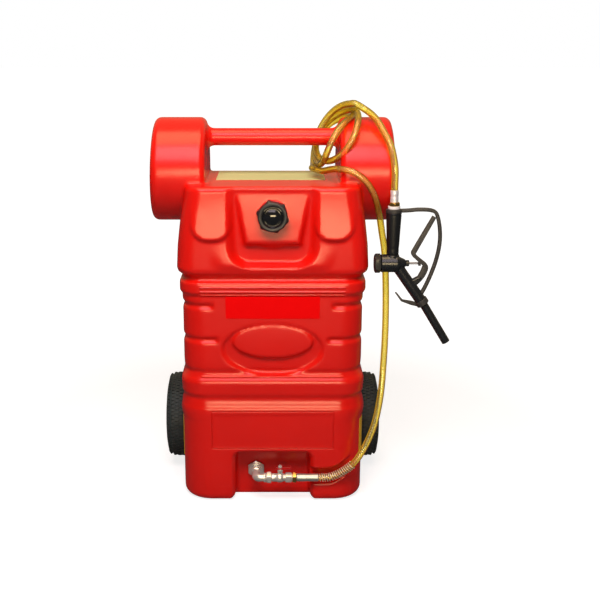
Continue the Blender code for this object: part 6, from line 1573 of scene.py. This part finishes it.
nickelled(fitted_nut("gland_hex", "gland_nut", 0.0068, "z", STEM_BORE, STEM_AXIS), "gland_nut")
lever_nut = fitted_nut("lever_hex", "lever_nut", 0.0050, "z", STEM_BORE, STEM_AXIS)
nickelled(lever_nut, "lever_nut", "valve_handle")
lever_low, lever_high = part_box("valve_lever")
under, tip = lever_low.z, lever_high.x
tail = arc((STEM_X - 0.006, 0), 0.0055, 250, 110, 8)
plan = [*tail, (STEM_X, LEVER_HALF_WIDTH), (tip - 0.001, LEVER_HALF_WIDTH), (tip, 0.005), (tip, -0.005),
        (tip - 0.001, -LEVER_HALF_WIDTH), (STEM_X, -LEVER_HALF_WIDTH)]
lever = prism("lever_strip", [(x, RUN_Y + y) for x, y in plan], 2, under, under + LEVER_THICK)
tab_outline = [(tip - LEVER_THICK, under + 0.001), (tip, under + 0.0006), (tip, lever_high.z),
               (tip - LEVER_THICK, lever_high.z)]
tab = prism("lever_tab", tab_outline, 1, RUN_Y - LEVER_HALF_WIDTH, RUN_Y + LEVER_HALF_WIDTH)
cut_away(lever, tab, "UNION")
cut_away(lever, turned("lever_hole", rod(STEM_BORE, under - 0.002, under + 0.006), 32, STEM_AXIS))
dress(rounded(lever, 0.0009, 3), LEVER_PAINT, "valve_handle", "lever_red", "valve_lever")
paint_node("valve_stem", NICKEL)
paint_node("valve_ball", NICKEL)
print("lever reaches", round(tip, 4))

# %% [markdown]
# ## The trigger nozzle
# The nozzle is a black casting with a nylon grip, guard and trigger. Its inlet tube, valve housing, cone and
# spout holder are turned, joined and fused by a fine voxel remesh, which leaves the small fillets of a
# casting.

# %% Nozzle frame
HOUSING_Z = 0.629
HOLDER_ANGLE = 54.8
HOLDER_LENGTH = 0.130
HOLDER_RADIUS = 0.0140
SPOUT_RADIUS = 0.0103
CLEARANCE = 0.0003
NOZZLE_AXIS = (NOZZLE_X, NOZZLE_Y, 0)
HOUSING = (NOZZLE_X, NOZZLE_Y, HOUSING_Z)
PIVOT = Vector((NOZZLE_X + 0.067, NOZZLE_Y, 0.589))
TUBE_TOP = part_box("nozzle_body")[1].z
GUARD_EYE_LOW = TUBE_TOP - 0.0083


def downwards(degrees):
    """A direction in X and Z, this steep below the level."""
    return Vector((math.cos(math.radians(degrees)), 0, -math.sin(math.radians(degrees))))


def black_part(piece, material, node, body="nozzle"):
    return dress(piece, material, body, "black_plastic", node)


holder_start = Vector((NOZZLE_X + 0.006, NOZZLE_Y, HOUSING_Z + 0.001))
holder_run = downwards(HOLDER_ANGLE)
holder_end = holder_start + holder_run * HOLDER_LENGTH
print("holder ends at", [round(c, 3) for c in holder_end])


# %% Flat parts of the nozzle
def strap_outline(stations):
    """The outline of a bar along stations of (x, z, half width)."""
    left, right = [], []
    for index, (x, z, half) in enumerate(stations):
        before = stations[max(index - 1, 0)]
        after = stations[min(index + 1, len(stations) - 1)]
        run_x, run_z = after[0] - before[0], after[1] - before[1]
        length = math.hypot(run_x, run_z)
        left.append((x - half * run_z / length, z + half * run_x / length))
        right.append((x + half * run_z / length, z - half * run_x / length))
    return left + right[::-1]


def flat_bar(name, outline, half_thickness, edge):
    """A bar of this outline in X and Z, in the nozzle's middle plane, with rounded edges."""
    corners = [(x, NOZZLE_Y - half_thickness, z) for x, z in outline]
    return rounded(extruded(name, corners, (0, 2 * half_thickness, 0)), edge, 3, 40)


print("straps and flat bars are ready")

# %% The casting
CASTING_VOXEL = 0.00095
EYE_RADIUS = 0.0065
HOUSING_OUTLINE = [(0, -0.028), (0.0215, -0.028), (0.0225, -0.027), (0.0225, 0.0115), (0.0215, 0.0135),
                   (0.0180, 0.0152), (0.0150, 0.0200), (0.0110, 0.0290), (0.0090, 0.0322), (0.0082, 0.033),
                   (0, 0.033)]
INLET_FOOT = [(0, 0.010), (0.0165, 0.010), (0.0165, 0.0205), (0.0155, 0.0222), (0, 0.0222)]
HOLDER_OUTLINE = [(0, 0), (HOLDER_RADIUS, 0), (HOLDER_RADIUS, HOLDER_LENGTH - 0.001),
                  (HOLDER_RADIUS - 0.001, HOLDER_LENGTH), (0, HOLDER_LENGTH)]

shells = [
    turned("housing", HOUSING_OUTLINE, 64, HOUSING, ALONG),
    turned("inlet_tube", rod(0.0105, 0.004, TUBE_TOP - HOUSING_Z), 48, HOUSING),
    turned("inlet_foot", INLET_FOOT, 48, HOUSING),
    turned("holder", HOLDER_OUTLINE, 64, holder_start, holder_run),
]
root = holder_start + holder_run * (PIVOT - holder_start).dot(holder_run)
ear_side = holder_run * 0.010
eye = arc((PIVOT.x, PIVOT.z), EYE_RADIUS, -HOLDER_ANGLE + 10, -HOLDER_ANGLE + 170, 12)
ear_outline = [(root.x - ear_side.x, root.z - ear_side.z), (root.x + ear_side.x, root.z + ear_side.z), *eye]
for sign in (-1, 1):
    near, far = sorted((NOZZLE_Y + sign * 0.0058, NOZZLE_Y + sign * 0.0093))
    shells.append(prism(f"ear_{sign}", ear_outline, 1, near, far))
casting = joined("nozzle_casting", shells)
apply_step(casting, "REMESH", mode="VOXEL", voxel_size=CASTING_VOXEL)
apply_step(casting, "SMOOTH", factor=0.5, iterations=5)
bore_outline = rod(SPOUT_RADIUS + CLEARANCE, HOLDER_LENGTH - 0.025, HOLDER_LENGTH + 0.01)
holder_bore = turned("holder_bore", bore_outline, 48, holder_start, holder_run)
cut_away(casting, holder_bore, solver="MANIFOLD")
black_part(smooth(casting, 50), BLACK_CASTING, "nozzle_body")
print("casting:", len(casting.data.polygons), "faces")

# %% Grip, seal ring and inlet nut
GRIP_BORE = 0.0108
GRIP_NECK, GRIP_HEAD = 0.0147, 0.0192

grip_low, grip_high = span("grip_sleeve", "z")
grip_rows = [(GRIP_BORE, grip_low), (0.0138, grip_low), (0.0146, grip_low + 0.001)]
for k in range(1, 30):
    share = k / 30
    swell = between(GRIP_NECK, GRIP_HEAD, share**1.15)
    swell -= 0.0007 * steadily(share, 0.93, 0.95) * (1 - steadily(share, 0.965, 0.985))
    if 0.10 < share < 0.2:
        swell -= 0.0005 * math.sin((share - 0.10) * math.pi / 0.10) ** 2
    grip_rows.append((swell, between(grip_low, grip_high, share)))
grip_rows += [(0.0194, grip_high - 0.0016), (0.0189, grip_high - 0.0005), (0.0180, grip_high),
              (GRIP_BORE, grip_high)]
grip = smooth(turned("tapered_grip", grip_rows, 72, NOZZLE_AXIS), 40)
dress(grip, GRIP_RUBBER, "nozzle", "rubber", "grip_sleeve")
seal = turned("white_seal", sleeve(FLOW_RADIUS, 0.0150, *span("inlet_seal_ring", "z")), 64, NOZZLE_AXIS)
dress(rounded(seal, 0.0008, 3), WHITE_NYLON, "caddy", "white_nylon", "inlet_seal_ring")
inlet_nut = fitted_nut("inlet_hex", "inlet_nut", 0.0128, "z", FLOW_RADIUS, NOZZLE_AXIS)
dress(inlet_nut, BRASS, "caddy", "brass", "inlet_nut")
print(f"grip is {1000 * (grip_high - grip_low):.0f} mm long")

# %% [markdown]
# The guard is one moulded bow from an eye round the inlet tube to its foot on the spout holder. Its middle
# line is a smooth curve through a few stations, and the outline follows it at half the strap's thickness. Its
# foot is cut to the holder's round side.

# %% Trigger guard
GUARD_BOW_SHARES = (
    (-1.05, 1.005),
    (-0.50, 1.014),
    (0.20, 1.010),
    (0.60, 0.985),
    (0.78, 0.925),
    (0.92, 0.810),
    (0.98, 0.680),
    (0.93, 0.540),
    (0.75, 0.380),
    (0.46, 0.215),
    (0.16, 0.080),
)
GUARD_REACH = 0.116
STRAP_HALF = 0.0045
HOLDER_ROOM = HOLDER_RADIUS + CLEARANCE

strap_away = Vector((-holder_run.z, 0, holder_run.x))
guard_foot = holder_start + holder_run * (HOLDER_LENGTH * 0.80) + strap_away * HOLDER_ROOM
eye_middle = (GUARD_EYE_LOW + TUBE_TOP - CLEARANCE) / 2
guard_line = [(NOZZLE_X + 0.0146, eye_middle)]
for share_x, share_z in GUARD_BOW_SHARES:
    guard_line.append((between(guard_foot.x, NOZZLE_X + GUARD_REACH, share_x),
                       between(guard_foot.z, eye_middle, share_z)))
guard_line.append((guard_foot.x - strap_away.x * 0.004, guard_foot.z - strap_away.z * 0.004))
stations = [(p.x, p.y, STRAP_HALF) for p in through(guard_line, 6)]
bow = flat_bar("guard_bow", strap_outline(stations), 0.006, 0.0022)
room_outline = rod(HOLDER_ROOM, 0.04, HOLDER_LENGTH + 0.02)
holder_room = turned("holder_room", room_outline, 96, holder_start, holder_run)
cut_away(bow, holder_room, solver="MANIFOLD")
eye_profile = [(0.0109, GUARD_EYE_LOW), (0.0188, GUARD_EYE_LOW), (0.0195, GUARD_EYE_LOW + 0.0007),
               (0.0195, TUBE_TOP - 0.0010), (0.0188, TUBE_TOP - 0.0003), (0.0109, TUBE_TOP - 0.0003)]
eye_ring = smooth(turned("guard_eye", eye_profile, 64, NOZZLE_AXIS))
black_part(smooth(joined("guard_piece", [bow, eye_ring])), GUARD_NYLON, "trigger_guard")
print("guard stations:", len(stations))

# %% [markdown]
# The trigger is a bent lever with its eye on a pin between the casting's ears. Its middle is as thick as a
# finger's edge and thins towards the tip, so each station has its own half thickness.

# %% Trigger and pin
TRIGGER_SHARES = (
    (0.00, -0.010, 1.00),
    (0.20, 0.050, 1.20),
    (0.40, 0.125, 1.25),
    (0.50, 0.190, 1.20),
    (0.43, 0.240, 0.88),
    (-0.28, 0.353, 0.76),
    (-0.54, 0.417, 0.92),
    (-0.38, 0.490, 0.95),
    (0.40, 0.765, 0.88),
    (1.10, 1.010, 0.78),
)
TRIGGER_REACH = 0.029
TRIGGER_HEIGHT = 0.155
TRIGGER_THICKNESS = 0.0060
TRIGGER_EYE = [(0.0028, -0.0055), (0.0058, -0.0055), (0.0065, -0.0048), (0.0065, 0.0048), (0.0058, 0.0055),
               (0.0028, 0.0055)]
BACKWARDS = (0, 1, 0)

knots = [(PIVOT.x + TRIGGER_REACH * across, PIVOT.z + TRIGGER_HEIGHT * up, TRIGGER_THICKNESS * half)
         for across, up, half in TRIGGER_SHARES]
stations = [tuple(p) for p in through(knots, 5)]
blade = flat_bar("trigger_blade", strap_outline(stations), 0.0055, 0.0019)
trigger_eye = turned("trigger_eye", TRIGGER_EYE, 40, PIVOT, BACKWARDS)
push_x = NOZZLE_X + 0.0643
push_outline = [(push_x, HOUSING_Z - 0.006), (push_x + 0.006, HOUSING_Z - 0.006),
                (push_x + 0.006, HOUSING_Z + 0.006), (push_x, HOUSING_Z + 0.006)]
push_flat = flat_bar("push_flat", push_outline, 0.0044, 0.0006)
trigger = smooth(joined("trigger_piece", [blade, trigger_eye, push_flat]))
black_part(trigger, GUARD_NYLON, "trigger", "nozzle_trigger")
pin_low, pin_high = span("trigger_pin", "y")
pin_profile = [(0, pin_low), (0.0020, pin_low), (0.0025, pin_low + 0.0005), (0.0025, pin_high - 0.0005),
               (0.0020, pin_high), (0, pin_high)]
pin = smooth(turned("pivot_pin", pin_profile, 32, (PIVOT.x, 0, PIVOT.z), BACKWARDS))
zinc_plated(pin, "trigger_pin", "nozzle")
print("trigger stations:", len(stations))

# %% End cap, gland and poppet rod
ROD_AXIS = (0, NOZZLE_Y, HOUSING_Z)

cap_left, cap_right = span("end_cap", "x")
hex_part = hex_nut("end_hex", 0.0215, cap_left, cap_left + 0.0163, 0.004, ROD_AXIS, ALONG)
plug_profile = [(0, cap_left + 0.0012), (0.0120, cap_left + 0.0012), (0.0147, cap_left + 0.006),
                (0.0147, cap_right), (0, cap_right)]
plug = turned("end_plug", plug_profile, 48, ROD_AXIS, ALONG)
black_part(smooth(joined("hex_end_cap", [hex_part, plug])), BLACK_NYLON, "end_cap")
gland_piece = fitted_nut("gland_piece", "rod_gland", 0.0070, "x", STEM_BORE, ROD_AXIS)
dress(gland_piece, BLACK_CASTING, "nozzle", "brass", "rod_gland")
rod_low, rod_high = span("poppet", "x")
poppet_profile = [(0, rod_low), (0.0108, rod_low), (0.0115, rod_low + 0.0007), (0.0115, rod_low + 0.005),
                  (0.0030, rod_low + 0.005), (0.0030, rod_high - 0.0012), (0.0024, rod_high - 0.0003),
                  (0, rod_high)]
poppet = smooth(turned("poppet_rod", poppet_profile, 48, ROD_AXIS, ALONG))
dress(poppet, NICKEL, "nozzle_poppet", "zinc_steel", "poppet")
paint_node("poppet_spring", ZINC)
print("end cap, gland and rod are in")

# %% Spout
SPOUT_ANGLE = 58.5
SPOUT_LENGTH = 0.116
SPOUT_WALL = 0.0013

spout_fall = downwards(SPOUT_ANGLE)
spout_line = [holder_end - holder_run * 0.018, holder_end - holder_run * 0.004, holder_end,
              holder_end + (holder_run + spout_fall) * SPOUT_RADIUS / 2]
spout_tip = spout_line[-1] + spout_fall * (SPOUT_LENGTH - SPOUT_RADIUS)
spout_line += [spout_line[-1].lerp(spout_tip, k / 8) for k in range(1, 9)]
spout = hollow_tube("spout_pipe", spout_line, SPOUT_RADIUS, SPOUT_RADIUS - SPOUT_WALL, 40)
black_part(spout, BLACK_CASTING, "spout")
print("spout tip at", [round(c, 3) for c in spout_tip])

# %% Hanging hook
COLLAR_LENGTH = 0.014
WEB_HALF = 0.007

collar_high = HOLDER_LENGTH - CLEARANCE
collar_low = collar_high - COLLAR_LENGTH
collar_profile = [(HOLDER_ROOM, collar_low), (0.0157, collar_low), (0.0164, collar_low + 0.0008),
                  (0.0164, collar_high - 0.0012), (0.0155, collar_high), (HOLDER_ROOM, collar_high)]
collar = smooth(turned("hook_collar", collar_profile, 64, holder_start, holder_run))
hook_root = holder_start + holder_run * (collar_low + collar_high) / 2 - strap_away * HOLDER_RADIUS
hook_bend = hook_root + Vector((-0.038, 0, 0.012))
hook_tip = hook_bend + Vector((-0.016, 0, 0.020))
web_side = holder_run * WEB_HALF
HOOK_CORNERS = (
    (hook_root + web_side, 0.003, 0.001),
    (hook_root, -0.016, 0.0005),
    (hook_bend, -0.0012, -0.0026),
    (hook_bend, -0.0034, -0.0010),
    (hook_tip, -0.0021, -0.0008),
    (hook_tip, -0.0010, 0.0012),
    (hook_tip, 0.0016, 0.0008),
    (hook_bend, 0.0012, 0.0022),
    (hook_root, -0.014, 0.0105),
    (hook_root - web_side, 0.002, 0.001),
)
hook_outline = [(place.x + x, place.z + z) for place, x, z in HOOK_CORNERS]
web = flat_bar("hook_web", hook_outline, 0.004, 0.0010)
black_part(smooth(joined("hanging_hook", [collar, web])), GUARD_NYLON, "nozzle_hook")
print("hook corners:", len(HOOK_CORNERS))

# %% [markdown]

# %% [markdown]
# ## Floor, backdrop and light
# The photograph is a cut-out on white. The floor keeps the object's shadow, and the world shows white to the
# camera only. Large soft lamps stand in front, above and at both sides.


# %% Floor
def white_to_camera(tree, lit, white, output):
    """Shows the white shader to the camera and through clear parts, and the lit one to all other rays."""
    seen = add_node(tree, "LightPath")
    clear_ray = add_node(tree, "Math", "MAXIMUM")
    either = add_node(tree, "MixShader")
    link_all(tree, (seen, "Is Camera Ray", clear_ray, 0), (seen, "Is Transmission Ray", clear_ray, 1),
             (clear_ray, "Value", either, "Fac"), (lit, 0, either, 1), (white, 0, either, 2),
             (either, "Shader", tree.nodes[output], "Surface"))
    return seen


FLOOR_SIZE = 60
FLOOR_NEAR_GLOW = 0.79
FLOOR_NEAR, FLOOR_FAR = 0.9, 1.7
FLOOR_GREY = 0.42
MIRROR_GLOW = 0.07

bpy.ops.object.select_all(action="DESELECT")
bpy.ops.mesh.primitive_plane_add(size=FLOOR_SIZE, location=(0, 0, -0.0005))
floor = named(bpy.context.object, "floor")
floor_paint = bpy.data.materials.new("floor_paint")
floor_paint.use_nodes = True
tree = floor_paint.node_tree
paint = set_inputs(tree.nodes["Principled BSDF"], Base_Color=(FLOOR_GREY, FLOOR_GREY, FLOOR_GREY, 1),
                   Roughness=0.9, Specular_IOR_Level=0.0)
place = add_node(tree, "TexCoord")
distance = add_node(tree, "VectorMath", "LENGTH")
glow_rise = add_node(tree, "MapRange", From_Min=FLOOR_NEAR, From_Max=FLOOR_FAR, To_Min=FLOOR_NEAR_GLOW,
                     To_Max=1.0)
glow = add_node(tree, "Emission")
glow_and_paint = add_node(tree, "AddShader")
mirror_glow = add_node(tree, "Emission", Strength=MIRROR_GLOW)
in_mirror = add_node(tree, "MixShader")
seen = white_to_camera(tree, in_mirror, glow_and_paint, "Material Output")
link_all(tree, (place, "Object", distance, 0), (distance, "Value", glow_rise, "Value"),
         (glow_rise, "Result", glow, "Strength"), (glow, "Emission", glow_and_paint, 0),
         (paint, "BSDF", glow_and_paint, 1), (seen, "Is Glossy Ray", in_mirror, "Fac"),
         (paint, "BSDF", in_mirror, 1), (mirror_glow, "Emission", in_mirror, 2))
floor.data.materials.append(floor_paint)
print("floor is down")

# %% [markdown]
# The world is white to the camera and through clear parts. To light and mirrors it is a studio: white behind
# the object, and dim in front of it, so that the red plastic stays deep.

# %% World
WORLD_FRONT, WORLD_BACK = 0.09, 0.42

world = bpy.data.worlds.new("studio")
bpy.context.scene.world = world
world.use_nodes = True
tree = world.node_tree
studio = set_inputs(tree.nodes["Background"], Color=(1.0, 0.76, 0.46, 1))
white = add_node(tree, "Background", Color=(1, 1, 1, 1), Strength=1.0)
direction = add_node(tree, "TexCoord")
split = add_node(tree, "SeparateXYZ")
depth_glow = add_node(tree, "MapRange", From_Min=-0.2, From_Max=0.6, To_Min=WORLD_FRONT, To_Max=WORLD_BACK)
depth_glow.interpolation_type = "SMOOTHSTEP"
white_to_camera(tree, studio, white, "World Output")
link_all(tree, (direction, "Generated", split, "Vector"), (split, "Y", depth_glow, "Value"),
         (depth_glow, "Result", studio, "Strength"))
print("world: dim in front, white behind")


# %% Lamps
def soft_lamp(name, place, target, size, power, colour, fills):
    data = bpy.data.lights.new(name, "AREA")
    data.shape = "RECTANGLE"
    data.size, data.size_y = size
    data.energy = power
    data.color = colour
    lamp = bpy.data.objects.new(name, data)
    bpy.context.scene.collection.objects.link(lamp)
    lamp.location = place
    lamp.rotation_euler = (Vector(target) - Vector(place)).to_track_quat("-Z", "Y").to_euler()
    lamp.visible_glossy = not fills
    lamp.visible_diffuse = fills
    return lamp


soft_lamp("fill_front", (-0.10, -1.30, 2.05), (0, 0, 0.75), (1.2, 0.7), 47, (1, 0.85, 0.85), True)
soft_lamp("fill_low", (0, -1.8, 0.30), (0, 0, 0.10), (0.8, 0.3), 2.2, (1, 0.90, 0.85), True)
soft_lamp("fill_above", (0, 0.3, 3.0), (0, 0, 0.5), (2.2, 1.4), 8, (1, 0.80, 0.60), True)
soft_lamp("fill_left", (-2.6, -0.9, 1.3), (0, 0, 0.5), (1.0, 1.8), 1.5, (1, 1, 1), True)
soft_lamp("fill_right", (2.6, -1.2, 1.4), (0, 0, 0.5), (1.0, 1.8), 2.5, (1, 1, 1), True)
soft_lamp("shine_high", (-0.2, -1.75, 2.30), (0, 0, 0.75), (1.8, 1.5), 24, (1, 0.84, 0.92), False)
soft_lamp("shine_low", (0.1, -2.7, 0.82), (0, 0, 0.75), (1.5, 0.42), 27, (1, 0.78, 0.44), False)
soft_lamp("shine_above", (0, -0.45, 3.0), (0, 0, 0.85), (2.2, 1.3), 42, (1, 0.72, 0.38), False)

# %% [markdown]
# ## The last line
# The colours are shown through the Standard view transform.

# %% View transform
bpy.context.scene.view_settings.view_transform = "Standard"
